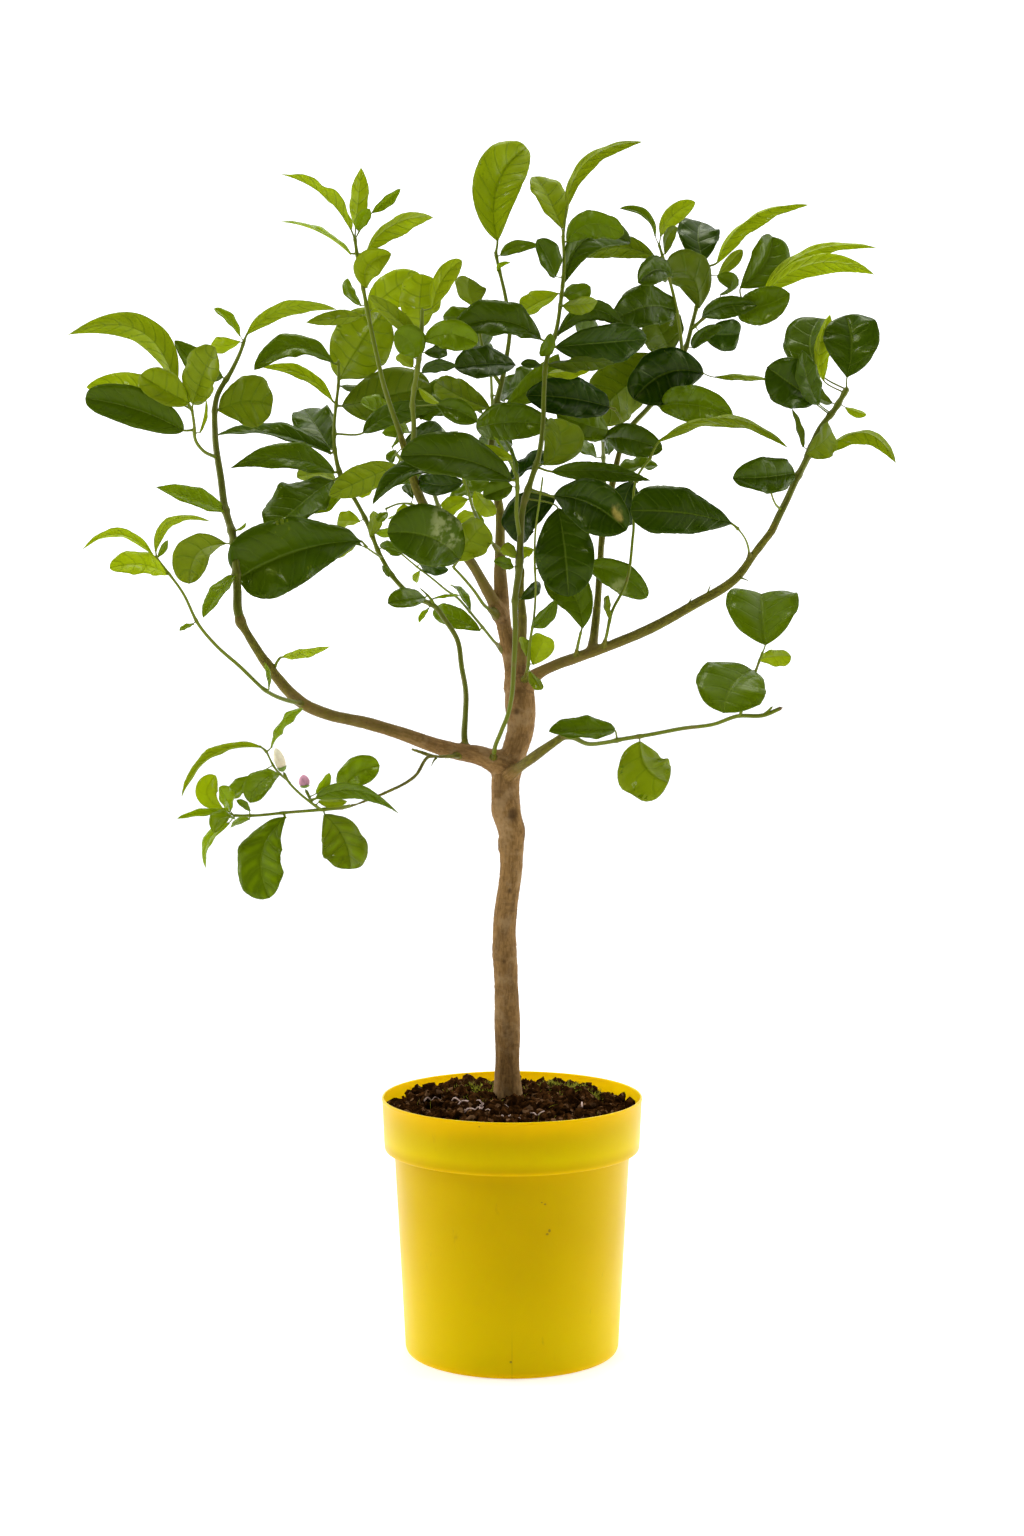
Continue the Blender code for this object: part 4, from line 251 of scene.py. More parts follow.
        [(-0.9, 64.6, 1.4, 0.8), (-1.6, 65.3, 2.6, 0.3), (-2.5, 66.4, 4, 0.28), (-4, 68.2, 6, 0.26),
         (-5, 69.3, 7.4, 0.24), (-6, 70, 8.4, 0.22), (-7.2, 71, 9.4, 0.2), (-8.9, 72.3, 10.6, 0.18),
         (-10.2, 73.4, 11.4, 0.16)],
    ], [
        (-2.9, 66.3, -7.2, 68.3, 2.2, 15, 0, 2, 0.45), (-8.4, 72.4, -5.8, 71.8, 1.5, 20, 0, -2, 0.2),
        (-8.4, 71.7, -8.8, 70.7, 0.9, 150, 0, -1, 0.9), (-10.3, 73.5, -12, 74.2, 1.1, 20, 0, 1, 0.3),
        (-3.8, 68.2, -5.6, 70.6, 1.2, 40, 0, 3, 0.4),
    ]),
    ("low_crown", [
        [(-1.1, 67.5, 1.5, 1.2), (-2.4, 68.5, -0.3, 0.32), (-3.5, 70, -1.8, 0.28), (-5, 71.7, -3.2, 0.24),
         (-5.4, 72.1, -3.5, 0.22)],
    ], [
        (-4.8, 72.8, -11.3, 75.2, 5.5, 12, -0.8, -3.5, 0.1), (-5.2, 72.6, -2.5, 76, 3.5, 160, 0.2, -2, 0.55),
    ]),
    ("mid_crown", [
        [(-1.1, 73.4, 1.7, 0.9), (-1.9, 74.4, 0.2, 0.3), (-2.5, 75.5, -1.4, 0.28), (-3.6, 77.5, -3.8, 0.26),
         (-4, 79, -5, 0.24), (-4.5, 80.3, -5.8, 0.22)],
    ], [
        (-5.2, 80.7, -12.7, 77.8, 2.4, 42, -1.1, -2.5, 0.2), (-4.4, 79.8, -8.4, 80.1, 2.1, 5, 0.5, 2.5, 0.02),
        (-3.4, 78.9, -1.7, 76.8, 1.7, 160, 0, -2.5, 0.95), (-4, 78.2, -6.1, 77.1, 1.9, 160, 0, -1, 0.9),
        (-3.4, 76.9, -5, 76.2, 1.3, 150, 0, 1.5, 0.95), (-2.7, 75.3, -3.4, 77.6, 0.8, 60, 0, 1, 0.6),
    ]),
    ("limb_left_a", [
        [(-9.2, 81, -3.6, 0.8), (-10, 81.8, -3, 0.3), (-10.6, 82.4, -2.6, 0.24)],
    ], [
        (-10.4, 81.3, -16.6, 78.5, 2.8, 165, 0, -1, 0.6), (-10.9, 82.9, -11.8, 84.2, 1.2, 20, -1.2, -1, 0.5),
        (-10.5, 82.6, -11.2, 81.6, 1, 20, 0, 1, 0.4), (-10, 82.8, -6.4, 84.6, 2.2, 15, 0.3, 3.5, 0.1),
    ]),
    ("limb_left_b", [
        [(-7.6, 77, -2.4, 0.9), (-8.5, 77.5, -1.4, 0.22), (-9.3, 77.8, -0.9, 0.2), (-10.3, 77.8, -0.4, 0.18),
         (-11.6, 77.3, 0, 0.16)],
    ], [
        (-8.7, 76.6, -10.6, 76.9, 1.8, 150, 0, -1.5, 0.85), (-9.4, 76.9, -11.3, 76.4, 0.7, 60, 0, 1, 0.85),
        (-9, 78.3, -9.8, 79.5, 1.1, 20, 0, 1, 0.1), (-11.3, 77, -12.2, 76.2, 1, 20, 0, -1, 0.5),
    ]),
    ("right_tall", [
        [(23.6, 75.3, -3.9, 0.8), (24.1, 76.4, -3.9, 0.66), (24.9, 78, -3.8, 0.62), (25.8, 80, -3.6, 0.6),
         (26.6, 81.6, -3.4, 0.6), (27.9, 84.6, -3, 0.52), (29.3, 86.4, -2.6, 0.5), (30.4, 88.3, -2.2, 0.46)],
        [(24.5, 77.2, -3.8, 0.24), (23.8, 78, -5, 0.18), (23.4, 79.2, -5.6, 0.16)],
    ], [
        (30.3, 89.2, 30.1, 94.9, 5.3, 0, -0.5, 1, 0.12), (28, 89.4, 27.8, 94.6, 5, -18, 0.9, 3.5, 0.3),
        (28.2, 88.9, 28.9, 94.6, 2.1, 140, 0.8, 0.5, 0.95), (27.4, 86.9, 23.1, 90.1, 4.7, 10, 0, -2, 0.08),
        (27.8, 86.8, 26.4, 91.5, 2.3, 22, 0.5, -3, 0.15), (29, 86.9, 26.9, 88.8, 1.6, 140, 0.5, 1.5, 0.1),
        (30.2, 86.5, 32.1, 85.8, 1, 150, 0, -0.5, 0.9), (26.7, 82.3, 29.2, 84.3, 3, 150, 0, -3, 0.1),
        (26.4, 82.9, 25.4, 86.4, 1.1, 120, 0.2, -1.5, 0.1), (25.6, 80.6, 20, 80.1, 3.6, 10, 0.2, -3, 0.12),
        (28.4, 82.4, 34.8, 81.5, 2.2, 140, 2.3, -2, 0.6),
    ]),
    ("right_single", [
        [(21.6, 72.8, -3.7, 0.7), (21.5, 73.7, -4.5, 0.2), (21.1, 74.8, -5.4, 0.17), (20.5, 75.6, -5.9, 0.15)],
    ], [
        (20, 76, 10.8, 77.3, 4.6, 22, -0.1, -2.5, 0.2),
    ]),
    ("right_upper", [
        [(9.8, 82.8, 2.9, 0.58), (10, 83.7, 3.1, 0.52), (10.9, 84.9, 3.6, 0.5), (12.4, 86.5, 4.3, 0.48),
         (14.3, 89.3, 5.4, 0.46), (15.6, 91.5, 6.2, 0.44), (16.3, 94, 6.8, 0.4), (17, 97, 7.2, 0.34),
         (17.4, 99.3, 7.4, 0.28)],
        [(15.4, 91.3, 6.1, 0.36), (15.1, 94, 4.6, 0.32), (14.6, 96.5, 3.6, 0.3), (13.9, 99, 3, 0.26),
         (13.2, 101.2, 2.6, 0.22)],
        [(16.2, 93.5, 6.7, 0.3), (18, 95, 6, 0.28), (20, 96, 5.4, 0.25), (22.2, 96.3, 5, 0.22)],
        [(10, 83.9, 3.1, 0.28), (9.9, 85.3, 2.2, 0.22), (9.3, 86.4, 1.6, 0.2)],
    ], [
        (12.9, 101.8, 9.7, 104.3, 1.1, 45, -0.7, -1, 0.6), (13.4, 101.8, 16.5, 104.8, 1.8, 175, 0.6, 1, 0.8),
        (13.8, 100.2, 14.9, 102.6, 1.4, 150, 0.5, -1, 0.2), (13, 99.8, 6.6, 99.9, 2.3, 165, -0.9, -1, 0.75),
        (17.3, 99.6, 17.1, 103.2, 4.2, 10, 0.5, 3, 0.1), (14.5, 98.2, 11.5, 97.7, 2.8, 15, -0.8, -3.5, 0.15),
        (18.5, 99.4, 26.7, 104.4, 2.4, 130, 2.3, -1, 0.85), (20.6, 97.2, 23.4, 101.7, 4.5, 15, -0.7, 2.5, 0.1),
        (22.8, 96.9, 32.8, 100.5, 1.6, 143, 2.3, 1, 0.85), (22.9, 96.7, 32.7, 98.4, 2.2, 162, 2, -2, 0.85),
        (20.3, 95.4, 25.1, 96.7, 3.9, 2, -0.4, -3, 0.3), (18.6, 98.3, 20.8, 100.6, 1.4, 175, 0, -1, 1),
        (18.8, 96.6, 18.5, 98.2, 1.6, 50, -1.2, -1.5, 0.8), (16.9, 95.4, 13.2, 98.4, 4.5, 160, -1.7, -3, 0.85),
        (17.2, 94.6, 22.1, 95.6, 2.4, 5, 0.5, -3, 0.3), (17.2, 93, 20.5, 93.1, 3.4, 10, 0, 1.5, 0.15),
        (16.4, 91.8, 18.9, 93.8, 1.6, 12, 0.5, -2, 0.15), (14.8, 95.1, 9.4, 94.4, 4.1, 15, -0.7, -4, 0.12),
        (14.4, 91.4, 12.5, 94.9, 4.6, 160, 0, 1.5, 0.55), (13.6, 91, 7.5, 85.8, 5.6, 165, 0, -2, 0.55),
        (17.3, 89.5, 11.1, 87.2, 5.4, -5, -1.3, -2, 0), (18.4, 89.2, 23.3, 88.8, 1.2, 120, 0.4, -2, 0.5),
        (13.3, 86.6, 20, 85.7, 3.9, -5, 0.5, -2, 0.35), (8.6, 83.7, 13.5, 82.7, 3.1, 5, 0.4, -4.5, 0.15),
        (8.7, 84.4, 4.2, 85.9, 3.3, 20, 0.2, -3, 0.3), (8.8, 86.5, 1.4, 87.6, 4.1, 10, -0.2, -2, 0),
    ]),
    ("right_back", [
        [(8.3, 64.7, -1.5, 0.8), (8.6, 65.8, -2.5, 0.3), (9.1, 68, -2.8, 0.28), (10.3, 70.4, -2.6, 0.28),
         (11, 75, -2.2, 0.26), (11.5, 80.5, -2.4, 0.22), (12.6, 82, -2.8, 0.2)],
    ], [
        (13.3, 83.4, 25, 82.9, 2.1, 120, 2.5, -1, 0.3), (11, 79.8, 10.5, 75.9, 3.5, 10, -0.5, 2.5, 0.05),
        (9, 67.2, 8.8, 69.5, 1.1, 130, 0.5, -1, 0.3),
    ]),
    ("right_low", [
        [(4.7, 56.7, -2.4, 0.8), (5.7, 56.5, -3.4, 0.46), (6.8, 56, -4.2, 0.4), (8.5, 56.1, -5.2, 0.37),
         (10, 56.4, -5.9, 0.38), (12.5, 56.8, -6.8, 0.35), (15.7, 57.4, -7.8, 0.35), (18.5, 57.8, -8.6, 0.33),
         (20.5, 58.5, -9, 0.35), (23, 58.6, -9.6, 0.37), (24.7, 59.3, -9.9, 0.34)],
        [(22.9, 58.6, -9.6, 0.24), (23.3, 58.9, -9.7, 0.22), (23.8, 59.4, -9.9, 0.2)],
        [(20.8, 58.5, -9.1, 0.28), (21.3, 60.1, -9.6, 0.26), (22, 62, -9.8, 0.23), (22.9, 64.5, -9.9, 0.2)],
    ], [
        (23.1, 65, 22.7, 69.7, 6.9, 0, 0, 3, 0.35), (22.5, 63.6, 25.4, 63.9, 1.9, 150, 0.2, 1, 0.9),
        (21.9, 62.7, 19.3, 58.8, 6.2, 15, -0.6, -3, 0.35), (11.7, 56.2, 14.3, 52.4, 5.5, 160, -0.8, -1, 0.75),
        (9.4, 57.3, 3.4, 57.2, 2.5, 32, 0.2, -2, 0.3),
    ]),
]

# Shoots behind the others: where each leaves the wood, where it ends, and how many leaves stand round it.
BACK_SHOOTS = [
    ("back_left", (-5.5, 74.8, -1.4), (-9.5, 87.5, 12.5), 7),
    ("back_middle", (-1.1, 75.5, 1.8), (-2, 91.5, 14.5), 8),
    ("back_right", (8.5, 76.8, 1.9), (8, 92, 15.5), 8),
]
BACK_LEAF_LENGTH = 6.5
BACK_LEAF_WIDTH = 3.4
STALK_SHARE = 0.16
GOLDEN_ANGLE = math.radians(137.5)

CREAM_BUD = ((-20.95, 53.5, -9.62), (-21.6, 55.6, -9.7), 0.95)
PINK_BUD = ((-18.93, 51.95, -8.18), (-19.1, 53.15, -8.1), 0.98)

# Ways a blade may be swung to clear its neighbours, tried in turn here until the blade lies on the solid node: depth of
# the tip in centimetres, turn in degrees.
SWINGS = [(0, 0), (1, 0), (-1, 0), (0, 15), (0, -15), (2, 0), (-2, 0), (1, 20), (-1, -20), (3, 0), (-3, 0),
          (0, 30), (0, -30), (2, 25), (-2, -25), (4, 0), (-4, 0), (3, 30), (-3, -30), (5, 0), (-5, 0),
          (0, 45), (0, -45), (6, 20), (-6, -20), (7, 0), (-7, 0), (4, 50), (-4, -50)]

POT_HEIGHT = 0.235
POT_WALL = 0.002
POT_FLOOR = 0.003
RIM_RADIUS = 0.120
COLLAR_FOOT_RADIUS = 0.1175
COLLAR_FOOT_HEIGHT = 0.187
NECK_RADIUS = 0.1086
BASE_RADIUS = 0.0987
DRAIN_RADIUS = 0.006
DRAIN_CIRCLE = 0.055
DRAIN_COUNT = 4
GAP = 0.0003

SOIL_EDGE_HEIGHT = 0.2215
SOIL_RISE = 0.006
SOIL_RADIUS = 0.1166
# How far from the middle crumbs, fibres and moss, and grass hairs may lie.
CRUMB_REACH, LOOSE_REACH, HAIR_REACH = 0.1158, 0.113, 0.108
TRUNK_FOOT = (-0.4, 1.2)
TRUNK_FOOT_RADIUS = 0.0145
TRUNK_FOOT_BOTTOM = 0.165

# The rows that the solid leaf has inside its outline: the place along the blade and the share of its width.
COARSE_ROWS = [((0.45, 1.1),), ((0.22, 0.94), (0.74, 0.92)), ((0.14, 0.78), (0.46, 1.03), (0.82, 0.8))]
COARSE_THICKNESS = 0.0008
EDGE_WAVES = 2.5
VEIN_SLANT = 0.17
# Points along and across a blade that is longer than so many metres.
BLADE_GRIDS = [(0.07, 46, 13), (0.045, 34, 11), (0.025, 22, 9), (0.0, 13, 7)]
BLADE_THICKNESS = 0.0003
STALK_RADIUS = 0.0011

# Marks on the front of the pot in metres: across, up, and how wide and tall each is.
POT_MARKS = [(0.0331, 0.1345, 0.0012, 0.0016), (0.0311, 0.1315, 0.0014, 0.0011), (0.0292, 0.1588, 0.0012, 0.0008),
             (0.0262, 0.1606, 0.0009, 0.0006), (-0.0286, 0.2308, 0.0009, 0.0007), (-0.0010, 0.0160, 0.0012, 0.0012)]
# Scars on the trunk in metres: the place, how far each reaches, and how high its lip stands.
SCARS = [(0.0005, -0.0030, 0.4955, 0.0095, 0.0016), (0.0075, -0.0010, 0.4800, 0.0042, 0.0010),
         (-0.0020, -0.0010, 0.4250, 0.0040, 0.0006), (-0.0118, 0.0060, 0.4660, 0.0048, 0.0009),
         (0.0050, -0.0010, 0.5900, 0.0050, 0.0008), (-0.0070, 0.0000, 0.3600, 0.0032, 0.0005)]
# Knobs and swellings of the wood in metres: the place, the reach and the height.
KNOBS = [(-0.0135, 0.004, 0.497, 0.013, 0.0028), (0.0105, 0.002, 0.481, 0.010, 0.0030),
         (-0.0125, 0.004, 0.466, 0.007, 0.0016), (0.008, 0.002, 0.595, 0.012, 0.0022),
         (0.013, 0.006, 0.640, 0.012, 0.0024), (-0.012, 0.003, 0.362, 0.012, 0.0014),
         (0.010, 0.001, 0.432, 0.013, 0.0014), (0.008, 0.002, 0.300, 0.015, 0.0012),
         (-0.246, -0.018, 0.670, 0.006, 0.0016), (-0.216, -0.017, 0.637, 0.005, 0.0012),
         (-0.030, 0.006, 0.551, 0.008, 0.0014), (0.160, -0.020, 0.680, 0.005, 0.0010)]
# Moss cushions in centimetres: across, depth, reach.
MOSS_CLUMPS = [(-3.4, 7.2, 2.3), (-5.0, 4.6, 1.7), (-2.2, 4.0, 1.5), (3.6, 6.6, 2.2), (6.0, 5.0, 1.9),
               (8.0, 3.2, 1.3), (2.6, 1.6, 1.7), (-7.4, 5.0, 1.1), (1.4, -1.6, 1.3), (-2.4, -0.6, 1.1),
               (4.6, 2.6, 1.5), (-3.6, 1.6, 1.1)]
# Heaps of soil in centimetres: across, depth, reach, height.
HEAPS = [(-3.6, 6.6, 2.2, 0.45), (5.0, 5.8, 2.4, 0.4), (-8.2, 3.2, 1.6, 0.4), (8.8, 1.0, 1.6, 0.25)]
# Root fibres on the soil: across and depth of one end in centimetres, heading in radians, length in centimetres.
ROOT_FIBRES = [(-5.2, -2.2, 0.3, 4.6), (-4.4, -4.4, 1.2, 3.4), (-5.6, -0.8, -0.5, 3.6), (-3.4, -3.6, 0.4, 3.6),
               (-2.8, -5.0, 1.9, 3.2), (-5.4, -5.2, 0.5, 3.6), (3.4, -6.2, 2.6, 3.4),
               (6.4, -3.6, 1.9, 2.6), (-1.6, -7.4, 0.2, 3.0), (-8.2, 0.4, 0.9, 2.6)]
# Marks on single leaves: along the blade, across it from 0 to 1, reach as a share of the blade, and the kind; the pale
# kind is a painted grey sheen on curled and tilted parts.
LEAF_MARKS = {
    ("leader_top", 0): ((1.0, 0.5, 0.11, "pale"),), ("leader_top", 7): ((0.5, 0.4, 0.5, "wet"),),
    ("front", 17): ((0.84, 0.35, 0.09, "brown"),), ("low_crown", 0): ((0.35, 0.8, 0.26, "pale"),),
    ("right_inner", 0): ((0.6, 0.85, 0.2, "pale"),),
    ("right_leaf", 0): ((0.5, 0.5, 0.7, "wet"),), ("left_middle", 22): ((0.6, 0.5, 0.6, "wet"),),
    ("low_left", 10): ((0.5, 0.5, 1.2, "patchy"),), ("low_left", 11): ((0.5, 0.5, 1.2, "patchy"),),
    ("low_left", 14): ((0.5, 0.5, 1.2, "patchy"),),
}
# Blades whose outline isn't a drawn one: the powers at which it starts and ends, and how much wider it is.
SHAPES = {
    ("left_middle", 4): {"foot": 1.05, "point": 0.36, "wide": 1.22}, ("right_single", 0): {"foot": 0.95, "point": 0.42},
    ("low_left", 10): {"foot": 0.95, "point": 0.5}, ("left_tall", 7): {"foot": 0.6, "point": 0.4},
    ("front", 17): {"foot": 0.85, "point": 0.5}, ("left_middle", 10): {"foot": 0.8, "point": 0.8},
}
# Stems that end in a cut.
CUT_ENDS = {("right_low", 0)}
# Blades that turn their underside to the front although their outline was laid out face forward.
SEEN_FROM_BELOW = {
    ("leader_top", 0), ("left_spray", 2), ("crown_left", 9), ("left_tall", 5), ("left_tall", 6), ("left_tall", 9),
    ("left_tall", 3), ("upper_left", 6), ("front", 0), ("left_middle", 13), ("low_left", 0), ("low_left", 4),
    ("left_spray", 0), ("limb_sprig", 0),
}
# Tones that differ from the solid's. Besides each blade's own green they hold painted light and shade: blades are made
# lighter or darker one by one to stand in for the light and shade that fall on them.
TONES_WITH_PAINTED_LIGHT = {
    "back_left": {0: 0.35}, "back_middle": {0: 0, 7: 0.15}, "back_right": {1: 0.25},
    "crown_left": {1: 0.45, 2: 0.38, 3: 0.5, 6: 0.03, 8: 0.18, 9: 0.8},
    "front": {1: 0.65, 2: 0.2, 7: 0.5, 8: 0.13, 9: 0.04, 10: 0.1, 13: 0.35, 15: 0.2, 17: 0.03, 18: 0.05, 20: 0.3,
              21: 0.14, 22: 0.15, 27: 0.5},
    "inner_left": {1: 0.03},
    "leader_top": {0: 0.68, 1: 0.3, 2: 0.3, 5: 0.04, 6: 0.3},
    "left_middle": {0: 0.27, 4: 0.15, 9: 0.45, 10: 0.28, 12: 0.12, 13: 0.9, 14: 0.3, 15: 0.55, 20: 0.2, 22: 0.14},
    "left_spray": {1: 1, 2: 1},
    "left_tall": {0: 0.7, 3: 0.7, 4: 0.3, 5: 0.6, 7: 0.18, 9: 0.35, 11: 0.6, 12: 0.4, 14: 0.6},
    "limb_left_a": {0: 0.45}, "limb_sprig": {0: 0.9}, "low_crown": {0: 0.18},
    "low_left": {0: 0.75, 2: 0.6, 4: 1, 5: 0.8, 6: 0.85, 7: 0.6, 10: 0.38, 11: 0.3, 12: 0.42, 14: 0.55, 15: 0.85},
    "mid_crown": {0: 0.1, 2: 1, 3: 1},
    "right_back": {0: 0.5, 1: 0}, "right_inner": {0: 0.3}, "right_low": {3: 0.5}, "right_single": {0: 0.04},
    "right_tall": {1: 0.15, 2: 1, 7: 0.35},
    "right_upper": {0: 0.4, 3: 0.3, 4: 0.04, 7: 0.3, 8: 1, 9: 1, 11: 0.45, 12: 0.3, 13: 0.15, 14: 0.15, 15: 0.06,
                    18: 0.12, 19: 0.25},
    "slender": {3: 0.5, 4: 0.4},
    "upper_left": {1: 1, 2: 0.9, 5: 0.85, 6: 0.65, 7: 1, 9: 0.4},
}
# Lamps: name, place, the point each looks at, the length of its side, and its power beside the main light's.
LAMPS = [("key", (-1.3, -1.2, 2.5), (0, 0, 0.7), 0.5, 1.1), ("left", (-2.1, 0.3, 0.9), (0, 0, 0.4), 1.1, 1.0),
         ("right", (2.1, 0.2, 0.9), (0, 0, 0.4), 1.1, 1.1), ("top", (0.2, 0.5, 2.6), (0, 0, 0.5), 0.9, 1.2)]


def place(across, up, depth):
    """The point seen at (across, up) in centimetres, moved along the line of sight to its depth, which is
    spread out from the trunk's. Arrays give an array of points."""
    across, up, depth = np.broadcast_arrays(*(np.asarray(value, float) for value in (across, up, depth)))
    flat = np.stack((across * CM, np.zeros_like(across), up * CM), axis=-1)
    spread = TRUNK_DEPTH + (depth - TRUNK_DEPTH) * DEPTH_SPREAD
    return EYE + (flat - EYE) * ((spread * CM - EYE[1]) / -EYE[1])[..., None]


def unit(vectors):
    """Vectors brought to a length of 1."""
    return vectors / np.linalg.norm(vectors, axis=-1, keepdims=True)


def turned(vectors, axes, angles):
    """Vectors turned about unit axes: the part along the axis stays, the part across it goes round."""
    along = (vectors * axes).sum(axis=-1, keepdims=True)
    return vectors * np.cos(angles) + np.cross(axes, vectors) * np.sin(angles) + axes * along * (1 - np.cos(angles))


def smooth_step(low, high, value):
    """0 below low, 1 above high, and 3t^2 - 2t^3 between them."""
    t = np.clip((value - low) / (high - low), 0.0, 1.0)
    return t * t * (3.0 - 2.0 * t)


def cubic(t):
    """The weights of a cubic between two knots: the first knot, its slope, the second knot and its slope."""
    return 2 * t ** 3 - 3 * t ** 2 + 1, t ** 3 - 2 * t ** 2 + t, 3 * t ** 2 - 2 * t ** 3, t ** 3 - t ** 2


def smooth_path(knots, spacing):
    """Rows of numbers carried smoothly through the knots, evenly along their length: between two knots each
    number is a cubic, and its slope at a knot is the mean of the slopes on both sides, each weighted by the
    length of the other side. The first three numbers are the place."""
    knots = np.asarray(knots, float)
    gaps = np.maximum(np.linalg.norm(np.diff(knots[:, :3], axis=0), axis=1), 1e-6)
    slopes = np.diff(knots, axis=0) / gaps[:, None]
    weights = (gaps[:-1] + gaps[1:])[:, None]
    inner = (slopes[:-1] * gaps[1:, None] + slopes[1:] * gaps[:-1, None]) / weights
    lean = np.vstack((slopes[:1], inner, slopes[-1:]))
    reached = np.concatenate(((0.0,), np.cumsum(gaps)))
    steps = max(int(math.ceil(reached[-1] / spacing)), 2) + 1
    at = np.linspace(0.0, reached[-1], steps)
    k = np.clip(np.searchsorted(reached, at, side="right") - 1, 0, len(gaps) - 1)
    gap = gaps[k][:, None]
    start, leave, end, arrive = cubic((at - reached[k])[:, None] / gap)
    return knots[k] * start + lean[k] * gap * leave + knots[k + 1] * end + lean[k + 1] * gap * arrive, at


def cross_frame(centres):
    """The direction of a path at each of its points, and two directions across it, turned as little as the
    path allows: the first is the world axis least along the path, made square to it."""
    along = unit(np.gradient(centres, axis=0))
    reference = np.eye(3)[np.abs(along).mean(axis=0).argmin()]
    side = unit(reference - along * (along @ reference)[:, None])
    return along, side, np.cross(along, side)


def grid_faces(rows, columns, wrap=False):
    """Four-sided faces of a grid of points; with wrap the last column joins the first."""
    row = np.arange(rows - 1)[:, None] * columns
    column = np.arange(columns if wrap else columns - 1)[None, :]
    low, high = row + column, row + (column + 1) % columns
    return np.stack((low, high, high + columns, low + columns), axis=-1).reshape(-1, 4)


def fan(ring, centre):
    """Triangles from each edge of a closed ring to one centre point."""
    return np.stack((ring, np.roll(ring, -1), np.full(len(ring), centre)), axis=1)


def end_fans(last, sides):
    """Fans that close both ends of a tube whose rings hold last points; the two middle points come next."""
    return np.vstack((fan(np.arange(sides), last)[:, ::-1], fan(np.arange(last - sides, last), last + 1)))


def round_angles(sides):
    """Angles spread evenly round a circle."""
    return np.arange(sides) * TAU / sides


def spokes(side, third, sides):
    """Directions round a path at each of its points: cosine times one way across, sine times the other."""
    angles = round_angles(sides)
    return np.cos(angles)[None, :, None] * side[:, None] + np.sin(angles)[None, :, None] * third[:, None]


def tube(centres, radii, sides):
    """A closed round stem: a ring stands across the path at each centre, radii gives one number for each ring
    or one for each point of each ring, and a fan closes each end."""
    _, side, third = cross_frame(centres)
    radii = np.broadcast_to(np.asarray(radii).reshape(len(centres), -1), (len(centres), sides))
    grid = centres[:, None] + radii[..., None] * spokes(side, third, sides)
    points = np.vstack((grid.reshape(-1, 3), centres[:1], centres[-1:]))
    return points, grid_faces(len(centres), sides, wrap=True), end_fans(len(centres) * sides, sides)


def by_ring(values, sides):
    """A number for each point of a tube, from one for each of its rings."""
    values = np.asarray(values, float)
    return np.concatenate((np.repeat(values, sides), values[:1], values[-1:]))


def turned_shape(profile, sides):
    """A profile of radii and heights turned about the z axis, closed by a fan at each end."""
    profile, angles = np.asarray(profile, float), round_angles(sides)
    grid = np.stack((profile[:, :1] * np.cos(angles), profile[:, :1] * np.sin(angles),
                     np.repeat(profile[:, 1:], sides, axis=1)), axis=-1)
    points = np.vstack((grid.reshape(-1, 3), (0.0, 0.0, profile[0, 1]), (0.0, 0.0, profile[-1, 1])))
    return points, grid_faces(len(profile), sides, wrap=True), end_fans(len(profile) * sides, sides)


def copies(shapes, *faces):
    """Many copies of one shape as one set of points and faces; shapes holds the points of each copy."""
    shift = (np.arange(len(shapes)) * shapes.shape[1])[:, None, None]
    return (shapes.reshape(-1, 3), *((group[None] + shift).reshape(-1, group.shape[1]) for group in faces))


def rounded(profile, radius, steps=4):
    """A profile whose corners are each replaced by a curve: the corner is the bend of a quadratic curve that
    starts and ends at most radius away from it. One more point before and after keeps the flats flat."""
    profile = np.asarray(profile, float)
    before, corner, after = profile[:-2], profile[1:-1], profile[2:]
    back, on = radius / np.linalg.norm(before - corner, axis=1), radius / np.linalg.norm(after - corner, axis=1)
    start = corner + (before - corner) * np.minimum(back, 0.4)[:, None]
    end = corner + (after - corner) * np.minimum(on, 0.4)[:, None]
    t = np.linspace(0.0, 1.0, steps + 1)[None, :, None]
    curve = (1 - t) ** 2 * start[:, None] + 2 * t * (1 - t) * corner[:, None] + t ** 2 * end[:, None]
    first = corner + (before - corner) * np.minimum(2.0 * back, 0.47)[:, None]
    last = corner + (after - corner) * np.minimum(2.0 * on, 0.47)[:, None]
    curve = np.concatenate((first[:, None], curve, last[:, None]), axis=1)
    return np.vstack((profile[:1], curve.reshape(-1, 2), profile[-1:]))


def lattice_noise(points, scale, seed):
    """Soft lumps between -1 and 1: a random number stands at each corner of a cubic lattice, and a point
    takes the mean of its cube's eight corners, weighted by smooth steps."""
    numbers = np.random.RandomState(seed).uniform(-1.0, 1.0, (LATTICE,) * 3)
    inside = points * scale + 1000.0
    cell = np.floor(inside).astype(int)
    share = inside - cell
    share = share * share * (3.0 - 2.0 * share)
    total = np.zeros(len(points))
    for corner in np.ndindex(2, 2, 2):
        corner = np.array(corner)
        weight = np.where(corner, share, 1.0 - share).prod(axis=1)
        x, y, z = ((cell + corner) % LATTICE).T
        total += weight * numbers[x, y, z]
    return total


def layered_noise(points, scale, seed, layers=3, rough=0.5):
    """Lattice noise added to itself at twice the scale and rough times the height, layer after layer."""
    total, height, size = np.zeros(len(points)), 1.0, 0.0
    for layer in range(layers):
        total += height * lattice_noise(points, scale * 2.0 ** layer, seed + layer)
        size += height
        height *= rough
    return total / size


def read_rows(items, key, width=3, kind=np.float32):
    """Rows of numbers read from a mesh's points or edges."""
    values = np.empty(len(items) * width, kind)
    items.foreach_get(key, values)
    return values.reshape(-1, width)


def write_points(mesh, points):
    """Moves the points of a mesh."""
    mesh.vertices.foreach_set("co", points.astype(np.float32).reshape(-1))
    mesh.update()


def write_mark(mesh, name, values):
    """Keeps a number for each point of a mesh, for its materials to read."""
    mesh.attributes.new(name, "FLOAT", "POINT").data.foreach_set("value", values.astype(np.float32))


